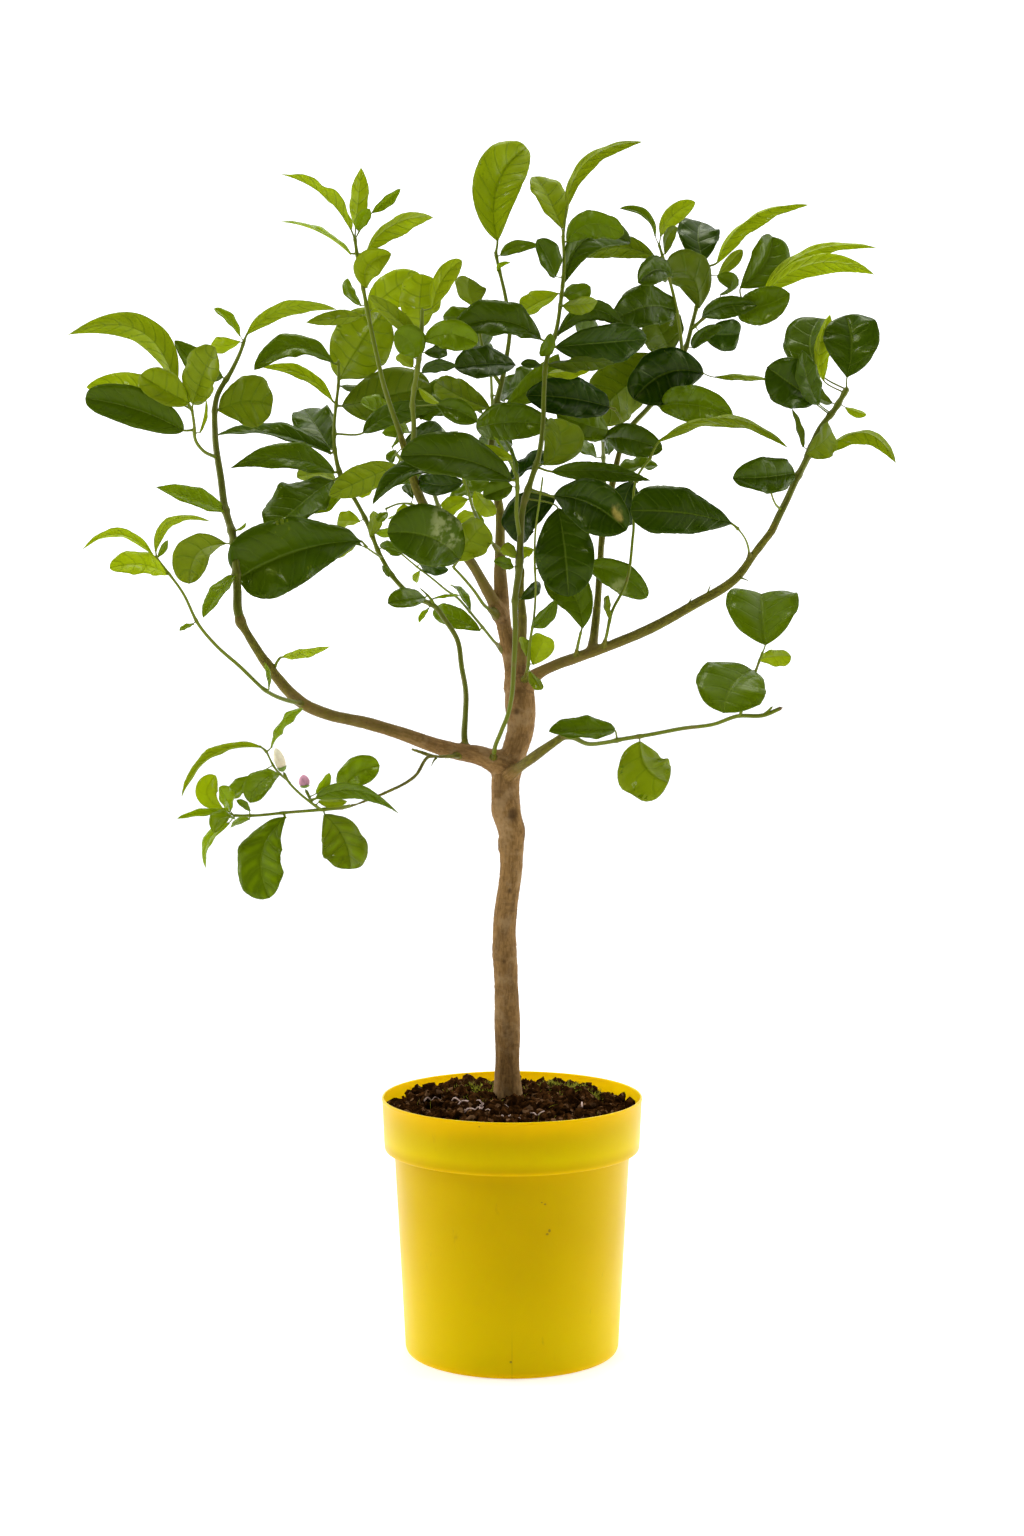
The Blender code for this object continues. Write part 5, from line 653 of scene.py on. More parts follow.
def applied(piece):
    """The mesh of a piece with its modifiers applied."""
    return bpy.data.meshes.new_from_object(piece.evaluated_get(bpy.context.evaluated_depsgraph_get()))


def link_object(name, data):
    """A new object of the scene, at the origin."""
    made = bpy.data.objects.new(name, data)
    bpy.context.scene.collection.objects.link(made)
    return made


class Skin:
    """Patches of surface gathered for one mesh, with the numbers that its materials read at each point."""

    def __init__(self):
        self.points, self.loops, self.sizes, self.slots, self.marks, self.count = [], [], [], [], [], 0

    def add(self, points, *faces, slot=0, **marks):
        """Adds points, arrays of faces that number them from 0, their material slot and their marks."""
        for group in faces:
            group = np.asarray(group, int)
            self.loops.append((group + self.count).reshape(-1))
            self.sizes.append(np.full(len(group), group.shape[1]))
            self.slots.append(np.full(len(group), slot))
        self.points.append(points)
        self.marks.append((len(points), marks))
        self.count += len(points)

    def values(self, mark, missing):
        """A mark's number for every point, with the one for patches that don't have it."""
        return np.concatenate([np.broadcast_to(marks.get(mark, missing), (count,)) for count, marks in self.marks])

    def make(self, name, materials, sharp=180.0):
        """Puts everything into one smooth-shaded mesh object at the origin."""
        points, loops = np.vstack(self.points), np.concatenate(self.loops)
        sizes, slots = np.concatenate(self.sizes), np.concatenate(self.slots)
        mesh = bpy.data.meshes.new(name)
        mesh.vertices.add(len(points))
        mesh.vertices.foreach_set("co", points.astype(np.float32).reshape(-1))
        mesh.loops.add(len(loops))
        mesh.loops.foreach_set("vertex_index", loops.astype(np.int32))
        mesh.polygons.add(len(sizes))
        mesh.polygons.foreach_set("loop_start", (np.cumsum(sizes) - sizes).astype(np.int32))
        mesh.polygons.foreach_set("material_index", slots.astype(np.int32))
        names = {key for _, marks in self.marks for key in marks}
        for mark in sorted(names - {"u", "v"}):
            write_mark(mesh, mark, self.values(mark, 0.0))
        if "u" in names:
            uv = np.stack((self.values("u", 0.5), self.values("v", 0.5)), axis=1)
            layer = mesh.uv_layers.new(name="blade")
            layer.uv.foreach_set("vector", uv[loops].astype(np.float32).reshape(-1))
        mesh.update(calc_edges=True)
        mesh.shade_smooth()
        if sharp < 180.0:
            mesh.set_sharp_from_angle(angle=math.radians(sharp))
        for made in materials:
            mesh.materials.append(made)
        return link_object(name, mesh)


def fit(piece, slot, *nodes):
    """Carries a piece with the tree and lets it stand for its nodes; slot is not used."""
    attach(piece, "root")
    if nodes:
        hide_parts(*nodes)
    return piece


class Finish:
    """A material whose colour, gloss and relief are put together from nodes."""

    def __init__(self, name):
        self.material = bpy.data.materials.new(name)
        self.material.use_nodes = True
        self.tree = self.material.node_tree
        self.shader = self.tree.nodes["Principled BSDF"]
        self.places = None

    def node(self, kind, inputs=(), **settings):
        made = self.tree.nodes.new("ShaderNode" + kind)
        for key, value in settings.items():
            setattr(made, key, value)
        for key, value in dict(inputs).items():
            self.feed(made.inputs[key], value)
        return made

    def feed(self, socket, value):
        if isinstance(value, bpy.types.NodeSocket):
            self.tree.links.new(value, socket)
        elif socket.type == "RGBA" and not isinstance(value, (int, float)):
            socket.default_value = (*value, 1.0)
        else:
            socket.default_value = value

    def object_place(self):
        if self.places is None:
            self.places = self.node("TexCoord").outputs["Object"]
        return self.places

    def stretched(self, vector, scale):
        return self.node("Mapping", {"Vector": vector, "Scale": scale}).outputs["Vector"]

    def mark(self, name):
        return self.node("Attribute", attribute_name=name, attribute_type="GEOMETRY").outputs["Fac"]

    def noise(self, scale, vector=None, detail=3.0, roughness=0.5, distortion=0.0):
        inputs = {"Vector": vector or self.object_place(), "Scale": scale, "Detail": detail,
                  "Roughness": roughness, "Distortion": distortion}
        return self.node("TexNoise", inputs).outputs["Fac"]

    def cells(self, scale, vector=None, feature="F1", output="Distance"):
        inputs = {"Vector": vector or self.object_place(), "Scale": scale}
        return self.node("TexVoronoi", inputs, feature=feature).outputs[output]

    def sum(self, operation, *values):
        """One step of arithmetic on numbers and sockets."""
        made = self.node("Math", operation=operation)
        for socket, value in zip(made.inputs, values):
            self.feed(socket, value)
        return made.outputs[0]

    def times(self, first, second):
        return self.sum("MULTIPLY", first, second)

    def between(self, value, low, high, to_low=0.0, to_high=1.0):
        """value led smoothly from low..high to to_low..to_high, and held there outside."""
        inputs = {"Value": value, "From Min": low, "From Max": high, "To Min": to_low, "To Max": to_high}
        return self.node("MapRange", inputs, interpolation_type="SMOOTHSTEP").outputs["Result"]

    def mix(self, share, first, second):
        """first where share is 0, second where it is 1."""
        return self.node("Mix", {0: share, 6: first, 7: second}, data_type="RGBA").outputs[2]

    def relief(self, height, distance, strength=1.0, under=None):
        inputs = {"Height": height, "Distance": distance, "Strength": strength}
        if under is not None:
            inputs["Normal"] = under
        return self.node("Bump", inputs).outputs["Normal"]

    def set(self, **values):
        """Sets the shader's own sockets, named with underscores for spaces."""
        for key, value in values.items():
            self.feed(self.shader.inputs[key.replace("_", " ")], value)
        return self.material


def pot_finish(settings):
    """Moulded plastic: even colour with faint clouding, tiny specks, a few scuffs and a moulding line in front, with
    painted light that makes the inner wall above the soil and the lower part of the pot brighter.
    """
    it = Finish("pot_plastic")
    where = it.object_place()
    x, y, z = it.node("SeparateXYZ", {"Vector": where}).outputs
    cloud = it.noise(9.0, detail=2.0)
    colour = it.mix(it.between(cloud, 0.35, 0.65), settings.colour, [c * 0.93 for c in settings.colour])
    far = it.node("VectorMath", {0: it.stretched(where, (1, 1, 0))}, operation="LENGTH").outputs["Value"]
    # Painted light: the inner wall above the soil gets a brighter copy of the plastic's colour, standing in for the
    # light that comes through the thin wall.
    inside = it.between(far, RIM_RADIUS - 0.0045, RIM_RADIUS - 0.0005, 1.0, 0.0)
    colour = it.mix(it.times(inside, it.between(z, 0.19, 0.2)), colour, settings.inner_colour)
    # Painted light: the pot is made lighter towards its foot.
    colour = it.mix(it.between(z, 0.15, 0.0), colour, [min(c * 1.3, 1.0) for c in settings.colour])
    scuffs = it.noise(60.0, it.stretched(where, (1.0, 1.0, 0.35)), detail=4.0, roughness=0.7)
    colour = it.mix(it.between(scuffs, 0.66, 0.8, 0.0, 0.35), colour, settings.scuff_colour)
    front = it.between(y, -0.09, -0.1)
    marks = 0.0
    for across, up, wide, tall in POT_MARKS:
        dx = it.sum("DIVIDE", it.sum("SUBTRACT", x, across), wide)
        dz = it.sum("DIVIDE", it.sum("SUBTRACT", z, up), tall)
        far = it.sum("ADD", it.times(dx, dx), it.times(dz, dz))
        marks = it.sum("MAXIMUM", marks, it.between(far, 0.3, 1.4, 1.0, 0.0))
    seam = it.times(it.between(it.sum("ABSOLUTE", x), 0.0002, 0.0007, 1.0, 0.0), it.between(z, 0.02, 0.05, 1.0, 0.0))
    shown = it.times(it.sum("MAXIMUM", marks, it.times(seam, 0.25)), front)
    colour = it.mix(it.times(shown, 0.8), colour, settings.scuff_colour)
    specks = it.between(it.cells(420.0), 0.0, 0.12, 1.0, 0.0)
    rare = it.between(it.noise(75.0, detail=1.0), 0.62, 0.72)
    colour = it.mix(it.times(it.times(specks, rare), 0.5), colour, settings.scuff_colour)
    gloss = it.between(it.noise(26.0, it.stretched(where, (1, 1, 0.5)), detail=4.0), 0.3, 0.7,
                       settings.roughness - 0.05, settings.roughness + 0.07)
    fine = it.relief(it.noise(900.0, detail=2.0), 0.00004, 0.35)
    waves = it.relief(it.noise(22.0, it.stretched(where, (1, 1, 0.3)), detail=1.0), 0.0012, 0.22, fine)
    return it.set(Base_Color=colour, Roughness=gloss, Normal=waves, Specular_IOR_Level=0.1,
                  Specular_Tint=(1.0, 0.85, 0.15), Subsurface_Weight=0.8, Subsurface_Radius=(1.0, 0.75, 0.05),
                  Subsurface_Scale=0.009)


def bark_finish(settings):
    """Bark: pale and brown streaks along the grain, wrinkles across it, pale patches, dark nicks, and olive
    skin on young limbs."""
    it = Finish("citron_bark")
    along = it.node("CombineXYZ", {0: it.mark("grain_a"), 1: it.mark("grain_b"), 2: it.mark("grain_c")}).outputs[0]
    streaks = it.noise(430.0, along, detail=5.0, roughness=0.65, distortion=0.6)
    bands = it.noise(110.0, along, detail=4.0, roughness=0.6)
    wrinkles = it.noise(300.0, it.stretched(along, (0.3, 0.3, 6.0)), detail=3.0, distortion=0.5)
    patches = it.noise(46.0, detail=4.0, roughness=0.65)
    colour = it.mix(it.between(streaks, 0.34, 0.68), settings.pale_colour, settings.brown_colour)
    colour = it.mix(it.between(bands, 0.45, 0.7, 0.0, 0.45), colour, settings.dark_colour)
    colour = it.mix(it.between(wrinkles, 0.52, 0.72, 0.0, 0.35), colour, settings.dark_colour)
    colour = it.mix(it.between(patches, 0.48, 0.66, 0.0, 0.75), colour, settings.grey_colour)
    nicks = it.between(it.cells(230.0, it.stretched(along, (1, 1, 1.6))), 0.0, 0.13, 1.0, 0.0)
    colour = it.mix(it.times(nicks, it.between(patches, 0.4, 0.6, 0.1, 0.75)), colour, settings.dark_colour)
    young = it.mix(it.between(streaks, 0.4, 0.62), settings.olive_colour, settings.young_colour)
    colour = it.mix(it.mark("age"), young, colour)
    colour = it.mix(it.mark("scar"), colour, settings.dark_colour)
    gloss = it.between(it.mark("age"), 0.0, 1.0, 0.48, 0.78)
    coarse = it.relief(it.sum("ADD", bands, it.times(wrinkles, 0.5)), 0.001, 0.6)
    fine = it.relief(streaks, 0.00045, 0.8, coarse)
    return it.set(Base_Color=colour, Roughness=gloss, Normal=fine, Specular_IOR_Level=0.22,
                  Specular_Tint=(1.0, 0.85, 0.3))


def soil_finish(settings):
    """Potting soil: peat that is dark in the low parts of its lumps and brown on the raised parts, which is partly the
    peat's own colour and partly painted shade in the hollows, with brown fibre, paler grains and dark patches.
    """
    it = Finish("potting_soil")
    grains = it.cells(520.0)
    lumps = it.noise(160.0, detail=5.0, roughness=0.7)
    # Partly painted shade: the lumps that raise the relief also turn the peat from dark in the hollows to brown on the
    # tops.
    colour = it.mix(it.between(lumps, 0.35, 0.7), settings.dark_colour, settings.brown_colour)
    bright, other = it.node("SeparateColor", {0: it.cells(240.0, output="Color")}).outputs[:2]
    colour = it.mix(it.between(other, 0.55, 0.9, 0.0, 0.8), colour, settings.dark_colour)
    colour = it.mix(it.between(bright, 0.86, 0.95, 0.0, 0.6), colour, settings.fibre_colour)
    colour = it.mix(it.between(it.noise(45.0, detail=2.0), 0.5, 0.75, 0.0, 0.6), colour, settings.dark_colour)
    coarse = it.relief(lumps, 0.0016, 0.8)
    fine = it.relief(grains, 0.0006, 0.7, coarse)
    return it.set(Base_Color=colour, Roughness=it.between(lumps, 0.3, 0.7, 0.98, 0.8), Normal=fine,
                  Specular_IOR_Level=0.0)


def plant_finish(name, low, high, roughness, scale):
    """A soft plant skin that runs between two colours with fine mottling along its length."""
    it = Finish(name)
    mottle = it.noise(scale, detail=3.0, roughness=0.6)
    colour = it.mix(it.between(mottle, 0.3, 0.7), low, high)
    # The tone mark lightens the skin; on the bud petals it is lowered in the furrows between them, which paints shade
    # there.
    colour = it.mix(it.times(it.mark("tone"), 0.6), colour, [min(c * 1.9, 1.0) for c in high])
    bump = it.relief(it.noise(scale * 4.0, detail=2.0), 0.0003, 0.6)
    return it.set(Base_Color=colour, Roughness=it.between(mottle, 0.2, 0.8, roughness - 0.08, roughness + 0.08),
                  Normal=bump, Specular_IOR_Level=0.12)


def leaf_finish(settings):
    """Citron leaf: glossy green above and pale matt green below, with a light midrib, slanting side veins and
    a fine net of veinlets. Young blades are yellow-green, and light comes through every blade."""
    it = Finish("citron_leaf")
    tone, under, pairs, large = it.mark("tone"), it.mark("under"), it.mark("pairs"), it.mark("large")
    uv = it.node("UVMap", uv_map="blade").outputs["UV"]
    u, v = it.node("SeparateXYZ", {"Vector": uv}).outputs[:2]
    off = it.sum("ABSOLUTE", it.sum("MULTIPLY_ADD", v, 2.0, -1.0))
    bend = it.sum("MULTIPLY_ADD", it.sum("POWER", off, 1.3), -VEIN_SLANT, u)
    wander = it.sum("MULTIPLY_ADD", it.noise(38.0, detail=1.0), 0.5, -0.25)
    turns = it.sum("ADD", it.times(bend, pairs), wander)
    near = it.sum("ABSOLUTE", it.sum("SUBTRACT", it.sum("FRACT", it.sum("ADD", turns, 0.5)), 0.5))
    vein = it.times(it.between(near, 0.015, 0.11, 1.0, 0.0), it.between(off, 0.75, 1.0, 1.0, 0.0))
    vein = it.times(vein, it.sum("MULTIPLY_ADD", large, 0.8, 0.2))
    midrib = it.between(off, 0.012, 0.06, 1.0, 0.0)
    midrib = it.times(midrib, it.sum("MULTIPLY_ADD", large, 0.6, 0.4))
    net = it.between(it.cells(620.0, feature="DISTANCE_TO_EDGE"), 0.0, 0.16, 1.0, 0.0)
    mottle = it.noise(55.0, detail=4.0, roughness=0.65)
    broad = it.noise(14.0, detail=2.0)
    above = it.mix(tone, settings.dark_colour, settings.light_colour)
    deep = it.mix(tone, settings.deep_colour, settings.light_colour)
    above = it.mix(it.between(mottle, 0.3, 0.75, 0.0, 0.3), above, deep)
    above = it.mix(it.between(broad, 0.4, 0.7, 0.0, 0.35), above, settings.blue_colour)
    above = it.mix(it.times(vein, 0.08), above, settings.vein_colour)
    above = it.mix(it.times(midrib, 0.36), above, settings.vein_colour)
    below = it.mix(tone, settings.under_dark_colour, settings.under_light_colour)
    below = it.mix(it.between(mottle, 0.35, 0.75, 0.0, 0.25), below, settings.deep_colour)
    below = it.mix(it.times(vein, 0.6), below, settings.under_vein_colour)
    below = it.mix(it.times(midrib, 0.45), below, settings.under_vein_colour)
    colour = it.mix(under, above, below)
    lighter = it.times(it.between(near, 0.2, 0.42), it.between(off, 0.9, 0.6))
    lighter = it.times(lighter, it.between(off, 0.06, 0.25))
    lighter = it.times(lighter, it.sum("MULTIPLY_ADD", it.mark("patchy"), 0.5, 0.05))
    colour = it.mix(lighter, colour, settings.light_colour)
    # Painted light: a pale line along the edge of every blade stands in for the bright rim of a backlit leaf.
    colour = it.mix(it.between(off, 0.965, 1.0, 0.0, 0.45), colour, settings.vein_colour)
    # Painted sheen: the pale marks turn curled tips and tilted halves of a few blades grey, as a reflection of the
    # bright room.
    painted_sheen_share = it.times(it.mark("pale"), it.between(it.noise(130.0, detail=3.0), 0.42, 0.6))
    colour = it.mix(painted_sheen_share, colour, settings.flap_colour)
    dry = it.times(it.mark("brown"), it.between(mottle, 0.42, 0.58))
    colour = it.mix(dry, colour, settings.damage_colour)
    rough = it.sum("ADD", it.between(under, 0.0, 1.0, settings.gloss, 0.52), it.between(mottle, 0.3, 0.7, -0.05, 0.07))
    rough = it.sum("SUBTRACT", rough, it.times(it.mark("wet"), 0.2))
    veins = it.sum("ADD", it.times(vein, it.between(under, 0.0, 1.0, -0.5, 0.9)),
                   it.times(midrib, it.between(under, 0.0, 1.0, -1.0, 0.8)))
    raised = it.relief(veins, 0.0005, 0.8)
    small = it.relief(it.times(net, large), 0.00008, 0.3, raised)
    it.set(Base_Color=colour, Roughness=rough, Normal=small, Specular_IOR_Level=0.2,
           Specular_Tint=(0.85, 1.0, 0.12), Coat_Weight=0.22, Coat_Roughness=0.08, Coat_IOR=1.4)
    glow_colour = it.mix(tone, settings.through_dark_colour, settings.through_colour)
    through = it.mix(0.6, colour, glow_colour)
    glow = it.node("BsdfTranslucent", {"Color": through, "Normal": raised}).outputs[0]
    blend = it.node("MixShader", {0: settings.through})
    it.tree.links.new(it.shader.outputs[0], blend.inputs[1])
    it.tree.links.new(glow, blend.inputs[2])
    it.tree.links.new(blend.outputs[0], it.tree.nodes["Material Output"].inputs["Surface"])
    return it.material


def stem_finish(settings):
    """Young stem skin: green with pale streaks along it, browner where it is older."""
    if "green_stem" in bpy.data.materials:
        return bpy.data.materials["green_stem"]
    it = Finish("green_stem")
    streaks = it.noise(260.0, it.stretched(it.object_place(), (1.0, 1.0, 0.25)), detail=3.0)
    age = it.mark("age")
    colour = it.mix(age, settings.stem_light_colour, settings.stem_dark_colour)
    colour = it.mix(it.between(streaks, 0.4, 0.7, 0.0, 0.4), colour, settings.stem_light_colour)
    colour = it.mix(it.between(it.noise(70.0, detail=3.0), 0.56, 0.72, 0.0, 0.4), colour, settings.stem_brown_colour)
    colour = it.mix(it.mark("brown"), colour, settings.stem_brown_colour)
    bump = it.relief(streaks, 0.0003, 0.6)
    return it.set(Base_Color=colour, Roughness=it.between(streaks, 0.3, 0.7, 0.38, 0.52), Normal=bump,
                  Specular_IOR_Level=0.35, Specular_Tint=(1.0, 0.95, 0.4))


def leaf_draw(shoot_name, number):
    """The seeded small differences from leaf to leaf."""
    dice = random.Random(shoot_name + str(number))
    return {"arch": dice.uniform(0.04, 0.16), "fold": dice.uniform(8.0, 26.0), "twist": dice.uniform(-18.0, 18.0),
            "wave": dice.uniform(0.3, 1.0), "phase": dice.uniform(0.0, TAU), "foot": dice.uniform(0.62, 0.92),
            "point": dice.uniform(0.42, 0.66), "curl": dice.uniform(-0.05, 0.09), "skew": dice.uniform(-0.3, 0.3),
            "teeth": dice.uniform(0.2, 0.55), "lift": dice.uniform(0.6, 1.4)}


def nearest_on_stems(stems, across, up):
    """The point of a shoot's stems that is seen nearest to a leaf's base."""
    best = None
    for number, stem in enumerate(stems):
        points = stem[1:] if number == 0 else stem
        for first, second in zip(points, points[1:]):
            run = (second[0] - first[0], second[1] - first[1])
            size = run[0] ** 2 + run[1] ** 2
            share = ((across - first[0]) * run[0] + (up - first[1]) * run[1]) / max(size, 1e-9)
            share = min(max(share, 0.15), 0.9)
            point = [first[k] + share * (second[k] - first[k]) for k in range(3)]
            distance = math.hypot(point[0] - across, point[1] - up)
            if best is None or distance < best[0]:
                best = (distance, tuple(point))
    return best[1]


def leaf_frame(leaf, root, draw, depth, angle, scale):
    """The base, bend and tip of a leaf's curved midrib, and the direction its face looks in, with the tip
    moved back by depth, the face turned by angle and the blade made smaller by scale."""
    reach, turn = leaf[7] + depth, leaf[5] + angle
    base_across, base_up, tip_across, tip_up = leaf[:4]
    seen_petiole = math.hypot(base_across - root[0], base_up - root[1])
    seen_blade = math.hypot(tip_across - base_across, tip_up - base_up)
    base = place(base_across, base_up, root[2] + reach * seen_petiole / (seen_petiole + seen_blade))
    tip = place(tip_across, tip_up, root[2] + reach)
    straight = unit(tip - base)
    towards = unit(EYE - base)
    face = turned(unit(towards - straight * towards.dot(straight)), straight, math.radians(turn))
    across = unit(np.array((base_up - tip_up, 0.0, tip_across - base_across)))
    length = np.linalg.norm(tip - base)
    bend = (base + tip) / 2.0 + 2.0 * leaf[6] * CM * across + draw["arch"] * length * face
    return base, base + (bend - base) * scale, base + (tip - base) * scale, face


def spine(blade, u, draw):
    """Midrib points at u, on a quadratic curve, with the face and right-hand directions there; the face
    twists evenly from base to tip."""
    base, bend, tip, face = blade
    u = np.asarray(u, float)[:, None]
    middle = (1 - u) ** 2 * base + 2 * u * (1 - u) * bend + u ** 2 * tip
    along = unit(2 * (1 - u) * (bend - base) + 2 * u * (tip - bend))
    normal = unit(face - along * (along @ face)[:, None])
    normal = turned(normal, along, np.radians(draw["twist"] * (u - 0.5)))
    return middle, normal, np.cross(along, normal)


def edge_wave(u, side, draw):
    """How far an edge rises, as a share of the half width: a sine along the blade, set off for each side."""
    return 0.16 * draw["wave"] * np.sin(TAU * EDGE_WAVES * u + draw["phase"] + side)


def coarse_points(blade, half_width, draw):
    """The tip and the edges of the solid leaf's rows, above and below."""
    length = np.linalg.norm(blade[2] - blade[0])
    rows = COARSE_ROWS[0 if length < 0.034 else 1 if length < 0.085 else 2]
    u, share = np.array([row[0] for row in rows] + [1.0]), np.array([row[1] for row in rows] + [0.0])
    middle, normal, right = spine(blade, u, draw)
    fold = math.radians(draw["fold"])
    edges = [middle[-1:]]
    for side in (-1.0, 1.0):
        rise = math.sin(fold) + edge_wave(u, side, draw)
        offset = side * math.cos(fold) * right + rise[:, None] * normal
        edges.append((middle + (half_width * share)[:, None] * offset)[:-1])
    edges = np.vstack(edges)
    normals = np.vstack((normal[-1:], normal[:-1], normal[:-1]))
    return np.vstack((edges + normals * COARSE_THICKNESS / 2, edges - normals * COARSE_THICKNESS / 2))


def settled_blade(cloud, leaf, root, draw):
    """The blade as the solid node holds it: each swing is tried until its points lie on the node's points."""
    best = None
    for scale in (1.0, 0.8, 0.64, 0.512):
        for depth, angle in SWINGS:
            blade = leaf_frame(leaf, root, draw, depth, angle, scale)
            half_width = leaf[4] * CM / 2.0 * scale
            points = coarse_points(blade, half_width, draw)
            miss = np.median(np.linalg.norm(points[:, None] - cloud[None], axis=2).min(axis=1))
            if best is None or miss < best[0]:
                best = (miss, blade, half_width)
            if miss < 2e-5:
                return blade, half_width
    return best[1:]


def blade_surface(blade, half_width, draw, young):
    """A leaf blade as a thin closed shell over u, along the midrib, and v, across it. The outline is
    u^foot (1 - u)^point, brought to the half width at its widest, with small rounded teeth; the halves fold up
    from the midrib and level out, the edges rise and fall in waves, the tip curls, the skin domes a little
    between slanting side veins, and the midrib stands out below."""
    length = np.linalg.norm(blade[2] - blade[0])
    rows, columns = next(grid for least, *grid in BLADE_GRIDS if length > least)
    x = np.linspace(0.0, 1.0, rows)
    u = 0.5 * x + 0.25 * (1.0 - np.cos(math.pi * x))
    t = np.linspace(-1.0, 1.0, columns)
    v = np.sign(t) * np.abs(t) ** 1.5
    pairs = float(np.clip(round(length / 0.0115), 4, 9))
    teeth = max(3, round(length / 0.0065))
    foot, point = draw["foot"], draw["point"] + 0.35 * float(smooth_step(0.5, 0.25, 2.0 * half_width / length))
    widest = foot / (foot + point)
    outline = u ** foot * (1.0 - u) ** point / (widest ** foot * (1.0 - widest) ** point) * draw.get("wide", 1.0)
    large = float(smooth_step(0.025, 0.065, length))
    notch = 0.001 * draw["teeth"] * (0.3 + 0.7 * large) * (1.0 - np.abs(np.sin(math.pi * teeth * u))) ** 2
    notch = notch * smooth_step(0.1, 0.3, u)
    wide = np.maximum(half_width * outline - notch, np.linspace(0.0011, 0.0003, rows))
    middle, normal, right = spine(blade, u, draw)
    fold = math.radians(draw["fold"] * 1.1 + 2.0)
    size = np.abs(v)
    middle = middle - normal * (draw["curl"] * length * smooth_step(0.45, 1.3, u))[:, None]
    wave = np.where(v[None] < 0, edge_wave(u, -1.0, draw)[:, None], edge_wave(u, 1.0, draw)[:, None])
    ripple = 0.06 * large * draw["wave"] * np.sin(TAU * 5.0 * u + 2.0 * draw["phase"])[:, None]
    tilt = 1.0 + draw["skew"] * np.sign(v)
    rise = tilt * size * (1.8 - 0.8 * size) * math.sin(fold) + (1.2 * wave + ripple) * size ** 2
    turns = pairs * (u[:, None] - VEIN_SLANT * size[None] ** 1.3)
    dome = -np.cos(TAU * turns) * (size * (1.0 - size) * 4.0)[None] * np.sin(math.pi * u)[:, None]
    dome = dome * length * (0.0050 + 0.0040 * young) * draw["lift"] * smooth_step(0.015, 0.05, length)
    centre = (middle[:, None] + wide[:, None, None] * (v * math.cos(fold))[None, :, None] * right[:, None]
              + (wide[:, None] * rise + dome)[..., None] * normal[:, None])
    thick = BLADE_THICKNESS * (1.0 - 0.5 * v ** 2)[None, :, None]
    rib_size = np.clip(length / 0.09, 0.35, 1.15)
    rib = 0.0011 * rib_size * (1.0 - u) ** 0.8
    rib = rib[:, None] * np.exp(-(v[None] * wide[:, None] / 0.0011) ** 2)
    top = centre + thick * normal[:, None]
    bottom = centre - (thick + rib[..., None]) * normal[:, None]
    upper = np.arange(rows * columns).reshape(rows, columns)
    lower = upper + rows * columns
    faces = grid_faces(rows, columns)
    left = np.stack((upper[:-1, 0], upper[1:, 0], lower[1:, 0], lower[:-1, 0]), axis=1)
    rightmost = np.stack((upper[:-1, -1], lower[:-1, -1], lower[1:, -1], upper[1:, -1]), axis=1)
    start = np.stack((lower[0, :-1], lower[0, 1:], upper[0, 1:], upper[0, :-1]), axis=1)
    end = np.stack((lower[-1, :-1], upper[-1, :-1], upper[-1, 1:], lower[-1, 1:]), axis=1)
    points = np.vstack((top.reshape(-1, 3), bottom.reshape(-1, 3)))
    faces = np.vstack((faces, faces[:, ::-1] + rows * columns, left, rightmost, start, end))
    grid_u, grid_v = np.meshgrid(u, v, indexing="ij")
    marks = {"u": np.tile(grid_u.reshape(-1), 2), "v": np.tile(0.5 + 0.5 * grid_v.reshape(-1), 2),
             "under": np.repeat((0.0, 1.0), rows * columns), "pairs": pairs, "large": large}
    return points, faces, marks


def petiole_surface(anchor, blade):
    """A leaf stalk on a cubic curve that leaves the stem towards the blade and arrives along its midrib,
    thicker where it joins the stem."""
    base, bend = blade[:2]
    gap = np.linalg.norm(base - anchor)
    along = unit(bend - base)
    end = base + along * 0.0015
    t = np.linspace(0.0, 1.0, max(5, int(gap / 0.0015)))
    leave, arrive = unit(base - anchor) * gap * 0.8, along * gap * 0.9
    centres = sum(weight * part for weight, part in zip(cubic(t[:, None]), (anchor, leave, end, arrive)))
    size = np.clip(np.linalg.norm(blade[2] - base) / 0.085, 0.45, 1.15)
    radii = STALK_RADIUS * size * (1.0 - 0.15 * t + 0.6 * np.exp(-(t * gap / 0.002) ** 2))
    return tube(centres, radii, 6)


def stem_surface(knots, swellings):
    """A young stem along its knots: faintly three-sided, with a swelling at each leaf and a rounded end.
    knots are rows of x, y, z and radius."""
    rows, at = smooth_path(knots, 0.0022)
    centres, radii = rows[:, :3], rows[:, 3]
    far = np.linalg.norm(centres[:, None] - swellings[None], axis=2).min(axis=1)
    radii = radii * (1.0 + 0.28 * np.exp(-(far / 0.0028) ** 2))
    left = at[-1] - at
    radii = radii * np.sqrt(np.clip(left / 0.0012 + 0.05, 0.05, 1.0))
    sides = 12 if radii.max() > 0.0016 else 8
    ribbed = radii[:, None] * (1.0 + 0.05 * np.cos(3.0 * round_angles(sides) + 60.0 * at[:, None]))
    return tube(centres, ribbed, sides), sides, rows[:, 3]


